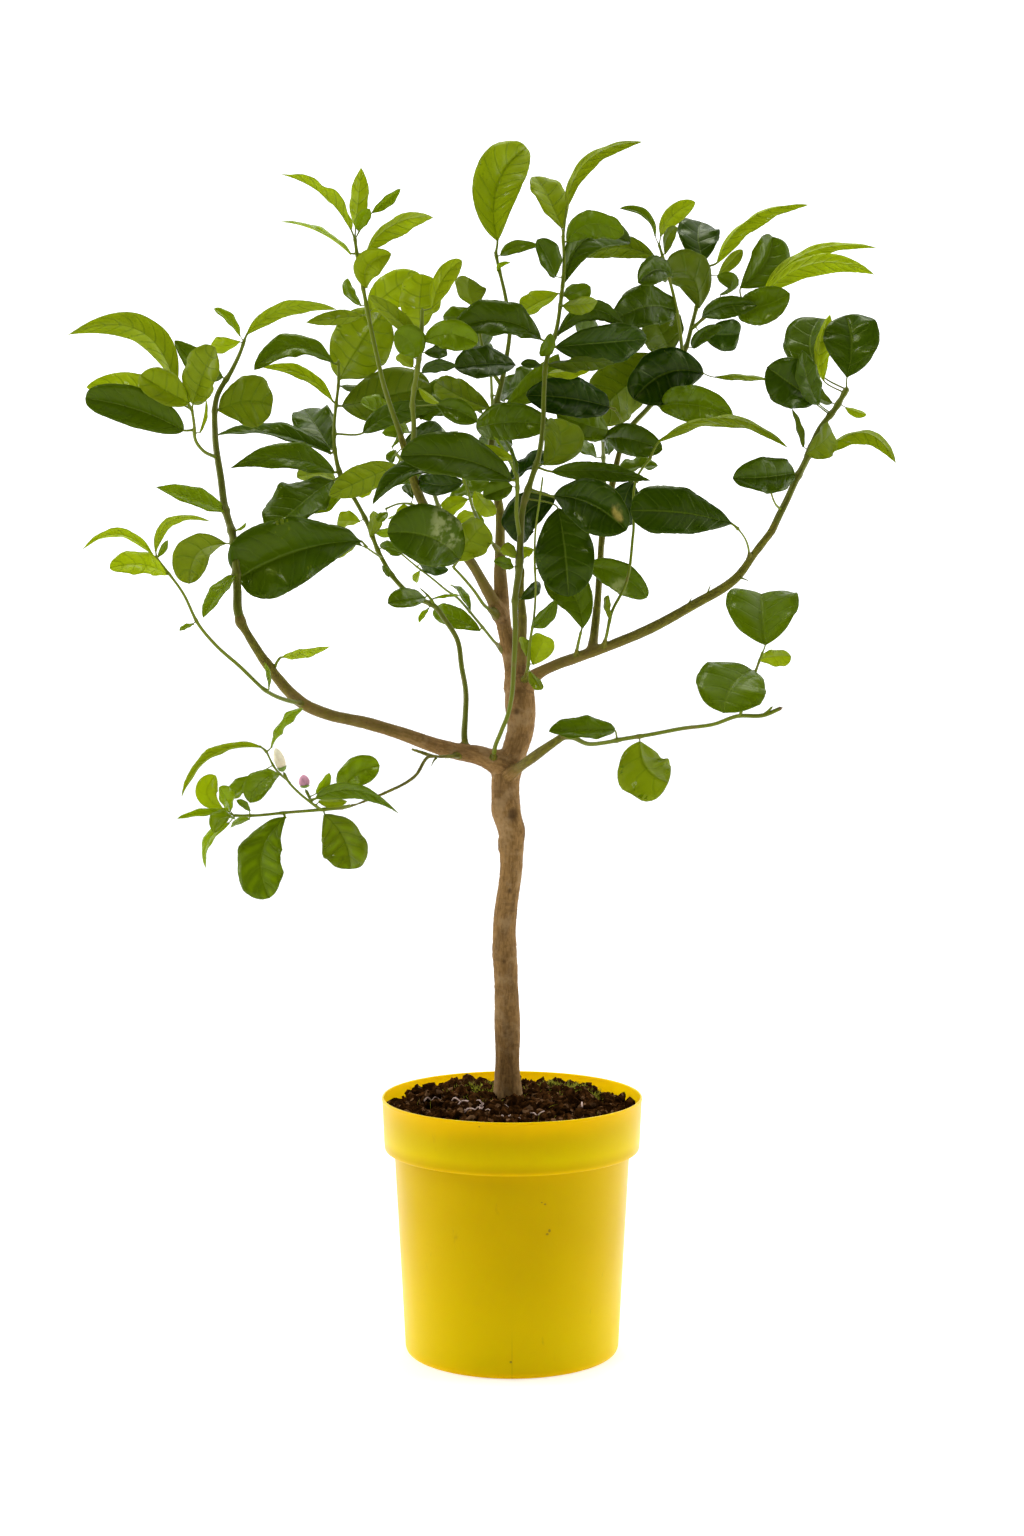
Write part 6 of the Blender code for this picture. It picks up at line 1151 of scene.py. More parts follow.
def shoot_piece(name, stems, leaves, finishes):
    """One shoot: its stems, and for each leaf a stalk and a blade where the solid node has them."""
    cloud = np.unique(read_rows(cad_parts[name].data.vertices, "co").astype(float).round(7), axis=0)
    skin = Skin()
    roots = [nearest_on_stems(stems, leaf[0], leaf[1]) for leaf in leaves]
    anchors = place(*np.array(roots).T)
    for number, stem in enumerate(stems):
        knots = limb_knots(stem)
        if number == 0:
            step = knots[1, :3] - knots[0, :3]
            knots = np.vstack((np.append(knots[0, :3] + step * 0.6, knots[1, 3]), knots[1:]))
        (points, quads, ends), sides, sizes = stem_surface(knots, anchors)
        age = by_ring(smooth_step(0.0009, 0.0034, sizes), sides)
        cut = np.zeros(len(sizes))
        if (name, number) in CUT_ENDS:
            cut[-2:] = 1.0
        skin.add(points, quads, ends, slot=1, age=age, brown=by_ring(cut, sides))
    for number, (leaf, root, anchor) in enumerate(zip(leaves, roots, anchors)):
        draw = leaf_draw(name, number) | SHAPES.get((name, number), {})
        blade, half_width = settled_blade(cloud, leaf, root, draw)
        # The tone holds the blade's own green and, for the listed blades, painted light and shade.
        tone = TONES_WITH_PAINTED_LIGHT.get(name, {}).get(number, leaf[8]) ** 0.8
        points, faces, marks = blade_surface(blade, half_width, draw, tone)
        if (name, number) in SEEN_FROM_BELOW:
            marks["under"] = 1.0 - marks["under"]
        for place_u, place_v, reach, mark in LEAF_MARKS.get((name, number), ()):
            far = np.hypot(marks["u"] - place_u, (marks["v"] - place_v) * 0.6) / reach
            marks[mark] = np.maximum(marks.get(mark, 0.0), 1.0 - smooth_step(0.6, 1.1, far))
        skin.add(points, faces, slot=0, tone=tone, **marks)
        points, quads, ends = petiole_surface(anchor, blade)
        skin.add(points, quads, ends, slot=1, age=0.25 * (1.0 - tone))
    return fit(skin.make(name + "_leaves", finishes), name, name)


def back_shoot(name, start, end, count):
    """A shoot that rises in an arc from the wood to its end, with leaves round it at the golden angle."""
    dice = random.Random(name)
    share = np.linspace(0.0, 1.0, 7)
    stem = []
    for s in share:
        across = start[0] + (end[0] - start[0]) * s
        up = start[1] + (end[1] - start[1]) * s ** 1.25
        depth = start[2] + (end[2] - start[2]) * s ** 0.8
        stem.append((across, up, depth, 0.5 - 0.25 * s))
    leaves = []
    for k in range(count):
        s = 0.3 + 0.68 * k / (count - 1)
        place_on = [float(np.interp(s, share, [point[j] for point in stem])) for j in range(3)]
        angle = k * GOLDEN_ANGLE + dice.uniform(-0.3, 0.3)
        length = BACK_LEAF_LENGTH * dice.uniform(0.75, 1.15)
        flat = length * 0.88
        rise = length * dice.uniform(0.15, 0.6)
        run = flat * math.cos(angle)
        leaves.append((place_on[0] + STALK_SHARE * run, place_on[1] + STALK_SHARE * rise, place_on[0] + run,
                       place_on[1] + rise, BACK_LEAF_WIDTH * length / BACK_LEAF_LENGTH, -60 * math.cos(angle),
                       0.0, flat * math.sin(angle), dice.uniform(0.05, 0.6)))
    return name, [stem], leaves


def all_shoots():
    """The shoots of the table and those behind them."""
    return SHOOTS + [back_shoot(*back) for back in BACK_SHOOTS]


def limb_knots(limb):
    """Rows of x, y, z and radius for a limb or stem of the tables."""
    limb = np.array(limb)
    return np.column_stack((place(*limb[:, :3].T), limb[:, 3] * CM / 2.0))


def wood_paths():
    """Every limb of the wood as rows of x, y, z and radius, evenly spaced. A limb widens by e to the minus
    square of the distance where it leaves the wood, and a shoot's brown collar swells like half a sine."""
    x, y = (value * CM for value in TRUNK_FOOT)
    foot = [(x, y, TRUNK_FOOT_BOTTOM, TRUNK_FOOT_RADIUS), (x, y, 0.2, TRUNK_FOOT_RADIUS),
            (x, y, SOIL_EDGE_HEIGHT + 0.0115, TRUNK_FOOT_RADIUS * 0.98)]
    paths = [smooth_path(np.vstack((foot, limb_knots(TRUNK)[1:])), 0.003)[0]]
    for limb in [LEADER] + LIMBS:
        rows, at = smooth_path(limb_knots(limb), 0.0025)
        rows[:, 3] *= 1.0 + 0.35 * np.exp(-(at / 0.012) ** 2)
        paths.append(rows)
    for _, stems, _ in all_shoots():
        knots = limb_knots(stems[0][:2])
        rows, at = smooth_path(knots, 0.001)
        if knots[0, 3] < 1.5 * knots[1, 3]:
            rows[:, 3] *= 1.0 + 0.12 * np.sin(math.pi * at / at[-1])
        paths.append(rows)
    return paths


def nearest_path(points, paths):
    """For each point the nearest limb: its distance along, radius, and the two offsets across it."""
    tables = []
    for rows in paths:
        centres = rows[:, :3]
        _, side, third = cross_frame(centres)
        at = np.concatenate(((0.0,), np.cumsum(np.linalg.norm(np.diff(centres, axis=0), axis=1))))
        tables.append(np.column_stack((centres, side, third, rows[:, 3], at + 0.37 * len(tables))))
    table = np.vstack(tables)
    found = np.empty(len(points), int)
    for start in range(0, len(points), BLOCK):
        block = points[start:start + BLOCK]
        far = np.linalg.norm(block[:, None] - table[None, :, :3], axis=2) - 0.9 * table[None, :, 9]
        found[start:start + BLOCK] = far.argmin(axis=1)
    near = table[found]
    offset = points - near[:, :3]
    return (offset * near[:, 3:6]).sum(axis=1), (offset * near[:, 6:9]).sum(axis=1), near[:, 10], near[:, 9]


def wood_piece(settings):
    """Trunk, limbs and collars. Closed stems are run together into one skin, its joins are evened out, and
    it is raised and lowered along its normals by lumps, ridges along the grain, wrinkles across it, scars
    and knobs; a knob is its height times e to the minus square of the distance over its reach."""
    paths = wood_paths()
    skin = Skin()
    for rows in paths:
        closed = np.vstack((rows[:1], rows, rows[-1:]))
        closed[0, 3] *= 0.3
        closed[-1, 3] *= 0.3
        closed[0, :3] -= unit(rows[1, :3] - rows[0, :3]) * rows[0, 3] * 0.15
        closed[-1, :3] += unit(rows[-1, :3] - rows[-2, :3]) * rows[-1, 3] * 0.15
        skin.add(*tube(closed[:, :3], closed[:, 3], 28 if rows[0, 3] > 0.009 else 16))
    rough = skin.make("wood_rough", [])
    join = rough.modifiers.new("join", "REMESH")
    join.mode = "VOXEL"
    join.voxel_size = settings.skin_step
    mesh = applied(rough)
    bpy.data.objects.remove(rough, do_unlink=True)
    points = read_rows(mesh.vertices, "co").astype(float)
    edges = read_rows(mesh.edges, "vertices", 2, np.int32)
    degree = np.bincount(edges.reshape(-1), minlength=len(points))[:, None]
    joins = np.array([rows[0, :3] for rows in paths[1:]])
    widths = np.array([rows[0, 3] for rows in paths[1:]])
    close = (np.linalg.norm(points[:, None] - joins[None], axis=2) / (widths * 2.6 + 0.002)[None]).min(axis=1)
    ease = (0.3 + 0.5 * (1.0 - smooth_step(0.7, 1.2, close)))[:, None]
    for step in range(settings.smoothing):
        mean = np.zeros_like(points)
        for one, other in ((0, 1), (1, 0)):
            for k in range(3):
                mean[:, k] += np.bincount(edges[:, one], points[edges[:, other], k], len(points))
        points += (mean / degree - points) * (ease if step > 1 else 0.5)
    a, b, at, radius = nearest_path(points, paths)
    write_points(mesh, points)
    normals = read_rows(mesh.vertices, "normal")
    grain = np.column_stack((a, b, at * 0.12))
    size = np.clip(radius / 0.011, 0.15, 1.0)
    lift = 0.0016 * layered_noise(points, 30.0, 31, 2) * size
    lift += 0.00055 * layered_noise(np.column_stack((a, b, at * 0.5)), 110.0, 3) * size
    lift += 0.0003 * layered_noise(np.column_stack((a * 0.3, b * 0.3, at)), 330.0, 17, 2) * size
    lift += 0.00035 * layered_noise(grain, 420.0, 11, 2) * size
    scar_mark = np.zeros(len(points))
    for x, y, z, reach, height in SCARS:
        far = np.linalg.norm((points - (x, y, z)) * (1.0, 1.0, 0.8), axis=1) / reach
        lift += height * (np.exp(-((far - 0.8) / 0.35) ** 2) - 0.9 * np.exp(-(far / 0.45) ** 2))
        scar_mark = np.maximum(scar_mark, (1.0 - smooth_step(0.25, 0.7, far)) * 0.8)
    for x, y, z, reach, height in KNOBS:
        lift += height * np.exp(-((points - (x, y, z)) ** 2).sum(axis=1) / reach ** 2)
    write_points(mesh, points + normals * lift[:, None])
    marks = {"grain_a": a, "grain_b": b, "grain_c": at * 0.3, "age": smooth_step(0.0036, 0.0074, radius),
             "scar": scar_mark}
    for mark, values in marks.items():
        write_mark(mesh, mark, values)
    mesh.shade_smooth()
    mesh.name = "wood_bark"
    mesh.materials.clear()
    mesh.materials.append(bark_finish(settings))
    return fit(link_object("wood_bark", mesh), "wood", "wood")


def thorn_piece(finish):
    """Short thorns on the limbs: cones bent a little upwards along their length."""
    skin = Skin()
    for root, tip in THORNS:
        root, tip = place(*root), place(*tip)
        t = np.linspace(0.0, 1.0, 9)
        centres = root + (tip - root) * t[:, None] + np.array((0.0, 0.0, 0.0012)) * (t * (1 - t) * 4)[:, None]
        skin.add(*tube(centres, 0.0011 * (1.0 - t) ** 0.8 + 0.00012, 8), slot=0, age=0.6)
    return fit(skin.make("thorns", [finish]), "wood")


def pot_piece(settings):
    """The pot turned from one closed profile with rounded corners, with drain holes cut through its floor."""
    wall = POT_WALL
    profile = [(0.02, 0.0022), (0.085, 0.0022), (0.0885, 0.0002), (BASE_RADIUS - 0.0012, 0.0), (BASE_RADIUS, 0.003),
               (NECK_RADIUS, COLLAR_FOOT_HEIGHT - 0.0004), (COLLAR_FOOT_RADIUS - 0.0004, COLLAR_FOOT_HEIGHT),
               (COLLAR_FOOT_RADIUS + 0.0002, COLLAR_FOOT_HEIGHT + 0.003), (RIM_RADIUS - 0.0004, POT_HEIGHT - 0.0032),
               (RIM_RADIUS, POT_HEIGHT - 0.0022), (RIM_RADIUS - 0.0002, POT_HEIGHT),
               (RIM_RADIUS - wall * 0.9, POT_HEIGHT), (RIM_RADIUS - wall, POT_HEIGHT - 0.002),
               (COLLAR_FOOT_RADIUS - wall, COLLAR_FOOT_HEIGHT + wall),
               (NECK_RADIUS - wall, COLLAR_FOOT_HEIGHT + wall - 0.001), (BASE_RADIUS - wall, POT_FLOOR + 0.002),
               (BASE_RADIUS - wall - 0.002, POT_FLOOR + 0.0012), (0.02, POT_FLOOR + 0.0012)]
    skin = Skin()
    skin.add(*turned_shape(rounded(profile, 0.0009), settings.sides))
    pot = skin.make("pot_shell", [], sharp=40.0)
    cutters = Skin()
    for k in range(DRAIN_COUNT):
        angle = TAU * (k + 0.5) / DRAIN_COUNT
        x, y = DRAIN_CIRCLE * math.cos(angle), DRAIN_CIRCLE * math.sin(angle)
        centres = np.array([(x, y, -0.01), (x, y, POT_FLOOR + 0.01)])
        cutters.add(*tube(centres, [DRAIN_RADIUS] * 2, 24))
    cutter = cutters.make("drains", [])
    cut = pot.modifiers.new("drains", "BOOLEAN")
    cut.operation, cut.object, cut.solver = "DIFFERENCE", cutter, "MANIFOLD"
    shown = applied(pot)
    pot.modifiers.clear()
    pot.data = shown
    bpy.data.objects.remove(cutter, do_unlink=True)
    shown.materials.clear()
    shown.materials.append(pot_finish(settings))
    shown.polygons.foreach_set("material_index", np.zeros(len(shown.polygons), np.int32))
    shown.shade_smooth()
    shown.set_sharp_from_angle(angle=math.radians(40.0))
    return fit(pot, "pot", "pot")


def soil_height(radius, angle):
    """Height of the soil: it rises to the middle, with lumps, clods and mounds of lattice noise, heaps that
    fall off like e to the minus square of the distance, and a dip at the wall."""
    share = np.clip(radius / SOIL_RADIUS, 0.0, 1.0)
    flat = np.stack((radius * np.cos(angle), radius * np.sin(angle), np.full_like(radius, 0.3)), axis=-1)
    shape = flat.reshape(-1, 3)
    lumps = layered_noise(shape, 55.0, 21, 4, 0.62).reshape(radius.shape)
    clods = np.abs(lattice_noise(shape, 130.0, 40)).reshape(radius.shape)
    mounds = np.abs(lattice_noise(shape, 62.0, 60)).reshape(radius.shape)
    height = SOIL_EDGE_HEIGHT - 0.001 + SOIL_RISE * (1.0 - share ** 1.6) + 0.0046 * lumps + 0.003 * clods
    height += 0.0035 * mounds
    for x, y, reach, high in HEAPS:
        far = np.hypot(flat[..., 0] - x * CM, flat[..., 1] - y * CM) / (reach * CM)
        height += high * CM * np.exp(-far ** 2)
    return height - 0.004 * smooth_step(0.93, 1.0, share)


def on_soil(radius, angle, lift=0.0):
    """Places on the soil, raised by lift."""
    return np.column_stack((radius * np.cos(angle), radius * np.sin(angle), soil_height(radius, angle) + lift))


def held_inside(flat):
    """Radius and angle of places on the soil, brought inside the reach of loose things."""
    return np.minimum(np.hypot(*flat.T), LOOSE_REACH), np.arctan2(flat[:, 1], flat[:, 0])


def strewn(dice, reach, count):
    """Radius and angle of places strewn evenly over a disc: the root of a random share, times its reach."""
    return reach * np.sqrt(dice.rand(count)), dice.uniform(0.0, TAU, count)


def soil_surface(settings):
    """The soil's body: its sides and foot as the pot holds them, and its top over radius and angle."""
    sides = settings.sides
    wall = POT_WALL + GAP + 0.0002
    shift = COLLAR_FOOT_HEIGHT + POT_WALL
    slope = (RIM_RADIUS - COLLAR_FOOT_RADIUS) / (POT_HEIGHT - COLLAR_FOOT_HEIGHT)
    edge = COLLAR_FOOT_RADIUS - wall + slope * (SOIL_EDGE_HEIGHT - 0.008 - shift)
    body = np.array([(0.02, POT_FLOOR + 0.002), (BASE_RADIUS - wall - 0.003, POT_FLOOR + 0.002),
                     (BASE_RADIUS - wall - 0.0004, POT_FLOOR + 0.006), (NECK_RADIUS - wall - 0.0004, shift - 0.003),
                     (COLLAR_FOOT_RADIUS - wall - 0.0006, shift + 0.001), (edge, SOIL_EDGE_HEIGHT - 0.008)])
    radii = edge * np.linspace(1.0, 0.012, settings.rings)
    radius = np.concatenate((body[:, 0], radii))[:, None].repeat(sides, axis=1)
    angle = round_angles(sides)[None, :].repeat(len(radius), axis=0)
    height = np.vstack((body[:, 1:].repeat(sides, axis=1), soil_height(radius[len(body):], angle[len(body):])))
    points = np.stack((radius * np.cos(angle), radius * np.sin(angle), height), axis=-1).reshape(-1, 3)
    ends = end_fans(len(points), sides)
    points = np.vstack((points, (0.0, 0.0, POT_FLOOR + 0.002), (0.0, 0.0, height[-1].mean())))
    return points, grid_faces(len(radius), sides, wrap=True), ends


def ball(rows, columns):
    """A unit ball over height and angle, closed by a fan at each pole."""
    lean = np.linspace(0.0, math.pi, rows + 2)[1:-1]
    return turned_shape(np.column_stack((np.sin(lean), -np.cos(lean))), columns)


def crumb_surfaces(settings):
    """Crumbs of soil strewn over the top: balls with their points moved in and out at random, then stretched,
    turned and set into the soil."""
    dice = np.random.RandomState(5)
    points, quads, ends = ball(4, 7)
    count = settings.crumbs
    size = 0.0013 + 0.0066 * dice.rand(count) ** 2.8
    centre = on_soil(*strewn(dice, LOOSE_REACH, count), size * 0.25)
    bumps = 1.0 + dice.uniform(-0.32, 0.32, (count, len(points), 1))
    stretch = dice.uniform(0.6, 1.25, (count, 1, 3))
    one = unit(dice.normal(size=(count, 3)))
    two = unit(np.cross(one, dice.normal(size=(count, 3))))
    turn = np.stack((one, two, np.cross(one, two)), axis=1)
    shapes = (points[None] * bumps * stretch) @ turn * size[:, None, None] + centre[:, None]
    far = np.hypot(shapes[..., 0], shapes[..., 1])
    shapes[..., :2] *= np.minimum(1.0, CRUMB_REACH / np.maximum(far, 1e-6))[..., None]
    return copies(shapes, quads, ends)


def blade_surfaces(roots, tips, width, lean, steps):
    """Many thin blades at once: each is a three-sided cone from its root to its tip, bent by lean in the
    middle, its width falling evenly to a point."""
    t = np.linspace(0.0, 1.0, steps)[None, :, None]
    centres = roots[:, None] + (tips - roots)[:, None] * t + lean[:, None] * (4.0 * t * (1.0 - t))
    along = unit(tips - roots)
    side = unit(np.cross(along, (0.31, 0.95, 0.05)))
    sizes = width[:, None, None, None] * (1.02 - t)[:, :, None]
    points = centres[:, :, None] + sizes * spokes(side, np.cross(along, side), 3)[:, None]
    caps = np.array([(2, 1, 0), (3 * steps - 3, 3 * steps - 2, 3 * steps - 1)])
    return copies(points.reshape(len(roots), -1, 3), grid_faces(steps, 3, wrap=True), caps)


def moss_piece(settings):
    """Moss cushions and thin grass hairs on the soil: clumps of short blades that lean outwards from the
    middle of their clump."""
    dice = np.random.RandomState(8)
    middles, reaches = np.array(MOSS_CLUMPS)[:, :2] * CM, np.array(MOSS_CLUMPS)[:, 2] * CM
    which = dice.choice(len(middles), settings.moss_blades, p=reaches ** 2 / (reaches ** 2).sum())
    spread = dice.normal(size=(settings.moss_blades, 2)) * 0.42
    roots = on_soil(*held_inside(middles[which] + spread * reaches[which][:, None]), 0.0002)
    lean = np.column_stack((spread * 0.6 + dice.normal(size=spread.shape) * 0.5, np.full(len(spread), 1.1)))
    tall = dice.uniform(0.0024, 0.0066, (settings.moss_blades, 1))
    skin = Skin()
    width = dice.uniform(0.0003, 0.0008, settings.moss_blades)
    bend = dice.normal(size=roots.shape) * 0.0003
    skin.add(*blade_surfaces(roots, roots + unit(lean) * tall, width, bend, 3),
             tone=np.repeat(dice.rand(settings.moss_blades), 9))
    count = settings.grass_hairs
    roots = on_soil(*strewn(dice, HAIR_REACH, count))
    lean = np.column_stack((dice.normal(size=(count, 2)) * 0.9, np.full(count, 1.0)))
    tips = roots + unit(lean) * dice.uniform(0.006, 0.014, (count, 1))
    tips[:, :2] *= np.minimum(1.0, LOOSE_REACH / np.hypot(tips[:, 0], tips[:, 1]))[:, None]
    bend = np.column_stack((dice.normal(size=(count, 2)) * 0.0015, np.full(count, 0.0012)))
    skin.add(*blade_surfaces(roots, tips, np.full(count, 0.00022), bend, 7), tone=0.8)
    moss = plant_finish("moss", settings.moss_dark, settings.moss_light, 0.75, 300.0)
    return fit(skin.make("moss", [moss]), "soil")


def root_piece(settings):
    """Pale root fibres that lie over the soil in loose bends."""
    skin = Skin()
    dice = np.random.RandomState(12)
    steps = 24
    t = np.linspace(0.0, 1.0, steps)
    for x, y, heading, length in ROOT_FIBRES:
        bearing = heading + np.cumsum(dice.normal(size=steps)) * 0.16
        step = length * CM / steps
        flat = np.cumsum(np.stack((np.cos(bearing), np.sin(bearing)), axis=1) * step, axis=0)
        centres = on_soil(*held_inside(flat + np.array((x, y)) * CM), 0.0024)
        centres[:, 2] += np.abs(np.sin(t * math.pi * 3.0)) * 0.0028
        skin.add(*tube(centres, 0.00075 * (1.0 - 0.6 * t), 6), tone=0.3)
    roots = plant_finish("root_fibre", settings.root_colour, [c * 0.7 for c in settings.root_colour], 0.6, 400.0)
    return fit(skin.make("root_fibres", [roots]), "soil")


def soil_piece(settings):
    """The soil's body with its crumbs."""
    skin = Skin()
    skin.add(*soil_surface(settings))
    skin.add(*crumb_surfaces(settings))
    return fit(skin.make("soil_top", [soil_finish(settings)]), "soil", "soil")


def bud_piece(name, bud, petal_finish, green_finish):
    """A flower bud turned about its own axis: five petals wrap it in a slow spiral, each a soft swell between two
    furrows that are darkened as painted shade, over a small green cup with five teeth and a short stalk. The petals
    grow lighter towards the tip."""
    root, tip = place(*bud[0]), place(*bud[1])
    axis = tip - root
    share = np.linspace(0.0, 1.0, 30)
    swell = np.interp(share, (0.0, 0.06, 0.15, 0.3, 0.52, 0.74, 0.9, 0.97, 1.0),
                      (0.3, 0.56, 0.78, 0.95, 1.0, 0.82, 0.5, 0.25, 0.04))
    sides = 40
    angles = round_angles(sides)
    spiral = 2.5 * (angles[None] + 1.3 * share[:, None])
    petals = 1.0 - 0.13 * (1.0 - np.abs(np.sin(spiral))) ** 2.2 + 0.03 * np.cos(spiral * 2.0)
    skin = Skin()
    radii = swell[:, None] * petals * bud[2] * CM / 2.0
    points, quads, ends = tube(root + axis * share[:, None], radii, sides)
    furrow = ((1.0 - np.abs(np.sin(spiral))) ** 3).reshape(-1)
    # Painted shade: the tone is lowered in the furrows between the petals; it also rises towards the tip.
    skin.add(points, quads, ends, tone=np.append(by_ring(share, sides)[:-2] * (1.0 - 0.7 * furrow), (0.0, 1.0)))
    t = np.linspace(0.0, 1.0, 10)
    cup = np.interp(t, (0.0, 0.35, 1.0), (0.2, 0.66, 0.9))
    teeth = 1.0 + 0.12 * t[:, None] ** 3 * np.cos(5 * angles[None])
    reach = root + axis * (0.03 + 0.2 * t)[:, None] - axis * 0.06
    points, quads, ends = tube(reach, cup[:, None] * teeth * bud[2] * CM / 2.0, sides)
    skin.add(points, quads, ends, slot=1, tone=0.4)
    return fit(skin.make(name + "_petals", [petal_finish, green_finish]), name, name)


def colour_choice(name, description, default):
    """A colour that the user can change."""
    return bpy.props.FloatVectorProperty(name=name, description=description, default=default, subtype="COLOR",
                                         size=3, min=0.0, max=1.0)


def length_choice(name, description, default, low, high):
    """A length in metres that the user can change."""
    return bpy.props.FloatProperty(name=name, description=description, default=default, min=low, max=high,
                                   precision=4, subtype="DISTANCE", unit="LENGTH")


def number_choice(name, description, default, low, high):
    """A whole number that the user can change."""
    return bpy.props.IntProperty(name=name, description=description, default=default, min=low, max=high)


def share_choice(name, description, default):
    """A share from 0 to 1 that the user can change."""
    return bpy.props.FloatProperty(name=name, description=description, default=default, min=0.0, max=1.0,
                                   subtype="FACTOR")


class PotSettings(bpy.types.PropertyGroup):
    """Colour and gloss of the plastic pot."""
    colour: colour_choice("Colour", "Plastic outside", (0.63, 0.40, 0.0))
    # A brighter copy of the plastic, painted on the inner wall as the light that comes through it.
    inner_colour: colour_choice("Inner colour", "Plastic inside the rim", (0.97, 0.72, 0.0))
    scuff_colour: colour_choice("Scuff colour", "Dirt in scratches and on marks", (0.22, 0.145, 0.02))
    roughness: share_choice("Roughness", "How dull the plastic is", 0.34)
    sides: number_choice("Sides", "Steps round the pot", 144, 24, 400)


class SoilSettings(bpy.types.PropertyGroup):
    """Colours of the soil and what grows and lies on it."""
    dark_colour: colour_choice("Dark colour", "Damp peat", (0.0085, 0.0032, 0.0008))
    brown_colour: colour_choice("Brown colour", "Dry peat", (0.082, 0.032, 0.009))
    fibre_colour: colour_choice("Fibre colour", "Wood fibre and dust", (0.24, 0.13, 0.062))
    moss_dark: colour_choice("Moss shade", "Moss in shade", (0.050, 0.054, 0.004))
    moss_light: colour_choice("Moss light", "Moss tips", (0.27, 0.27, 0.016))
    root_colour: colour_choice("Root colour", "Root fibres on the soil", (0.74, 0.54, 0.46))
    sides: number_choice("Sides", "Steps round the soil", 180, 24, 400)
    rings: number_choice("Rings", "Steps from the wall to the middle", 70, 10, 200)
    crumbs: number_choice("Crumbs", "Loose crumbs on top", 1400, 0, 3000)
    moss_blades: number_choice("Moss blades", "Blades in the moss", 4200, 0, 8000)
    grass_hairs: number_choice("Grass hairs", "Thin hairs in the soil", 46, 0, 300)


class BarkSettings(bpy.types.PropertyGroup):
    """Colours and skin of the trunk and limbs."""
    pale_colour: colour_choice("Pale streaks", "Light streaks along the grain", (0.27, 0.152, 0.054))
    brown_colour: colour_choice("Brown streaks", "Brown streaks along the grain", (0.150, 0.078, 0.024))
    dark_colour: colour_choice("Dark marks", "Fissures, nicks and scars", (0.060, 0.030, 0.012))
    grey_colour: colour_choice("Pale patches", "Weathered patches", (0.30, 0.190, 0.088))
    olive_colour: colour_choice("Olive skin", "Young limbs", (0.070, 0.068, 0.006))
    young_colour: colour_choice("Green skin", "Light streaks on young limbs", (0.140, 0.136, 0.010))
    skin_step: length_choice("Skin step", "Size of the steps when limbs are run together", 0.00115, 0.0008, 0.004)
    smoothing: number_choice("Smoothing", "Rounds of evening out the joins", 7, 0, 30)


class LeafSettings(bpy.types.PropertyGroup):
    """Colours and gloss of leaves and young stems."""
    dark_colour: colour_choice("Old leaf", "Upper side of an old leaf", (0.018, 0.050, 0.0006))
    deep_colour: colour_choice("Deep green", "Mottling on both sides", (0.009, 0.030, 0.0010))
    blue_colour: colour_choice("Blue-green", "Cool patches of the wax", (0.018, 0.066, 0.006))
    light_colour: colour_choice("Young leaf", "Upper side of a young leaf", (0.24, 0.36, 0.003))
    under_dark_colour: colour_choice("Old underside", "Underside of an old leaf", (0.075, 0.120, 0.004))
    under_light_colour: colour_choice("Young underside", "Underside of a young leaf", (0.38, 0.46, 0.006))
    vein_colour: colour_choice("Veins above", "Midrib and veins", (0.24, 0.34, 0.03))
    under_vein_colour: colour_choice("Veins below", "Side veins on the underside", (0.10, 0.17, 0.004))
    through_colour: colour_choice("Light through", "Light that comes through a young leaf", (0.86, 0.97, 0.004))
    through_dark_colour: colour_choice("Light through old", "Light that comes through an old leaf",
                                       (0.060, 0.110, 0.001))
    # Painted sheen on curled and tilted parts of a few blades.
    flap_colour: colour_choice("Pale patches", "Bleached and folded patches", (0.36, 0.40, 0.16))
    damage_colour: colour_choice("Damage", "Dry yellow damage", (0.45, 0.36, 0.08))
    stem_light_colour: colour_choice("Young stem", "Tips of stems and stalks", (0.12, 0.165, 0.004))
    stem_dark_colour: colour_choice("Older stem", "Foot of green stems", (0.072, 0.078, 0.006))
    stem_brown_colour: colour_choice("Stem marks", "Corky marks and cut ends", (0.16, 0.10, 0.04))
    gloss: share_choice("Roughness", "How dull the upper side is", 0.2)
    through: share_choice("Light share", "How much light comes through a blade", 0.46)


class BudSettings(bpy.types.PropertyGroup):
    """Colours of the flower buds."""
    cream_colour: colour_choice("Cream bud", "Petals of the open cream bud", (0.72, 0.60, 0.39))
    pink_colour: colour_choice("Pink bud", "Petals of the closed bud", (0.50, 0.24, 0.32))
    cup_colour: colour_choice("Cup", "Green cup under the petals", (0.16, 0.24, 0.04))


class StageSettings(bpy.types.PropertyGroup):
    """Floor and light of the studio."""
    floor_colour: colour_choice("Floor", "Pale floor", (0.93, 0.93, 0.93))
    floor_size: length_choice("Floor size", "Length of each side of the floor", 40.0, 2.0, 100.0)
    floor_glow: share_choice("Floor glow", "Light that the floor gives off", 0.3)
    back: bpy.props.FloatProperty(name="Back wall", description="Brightness of the room behind the tree",
                                  default=1.7, min=0.0, max=10.0)
    front: share_choice("Front of the room", "Brightness of the room before the tree", 0.1)
    key: bpy.props.FloatProperty(name="Main light", description="Power of the large lamp", default=13.0, min=0.0,
                                 subtype="POWER")


class CITRON_OT_pot(bpy.types.Operator):
    """Make the plastic pot"""
    bl_idname = "citron.pot"
    bl_label = "Pot"

    def execute(self, context):
        pot_piece(context.scene.citron_pot)
        return {"FINISHED"}


class CITRON_OT_soil(bpy.types.Operator):
    """Make the soil with its crumbs, moss, grass hairs and root fibres"""
    bl_idname = "citron.soil"
    bl_label = "Soil and moss"

    def execute(self, context):
        settings = context.scene.citron_soil
        soil_piece(settings)
        moss_piece(settings)
        root_piece(settings)
        return {"FINISHED"}


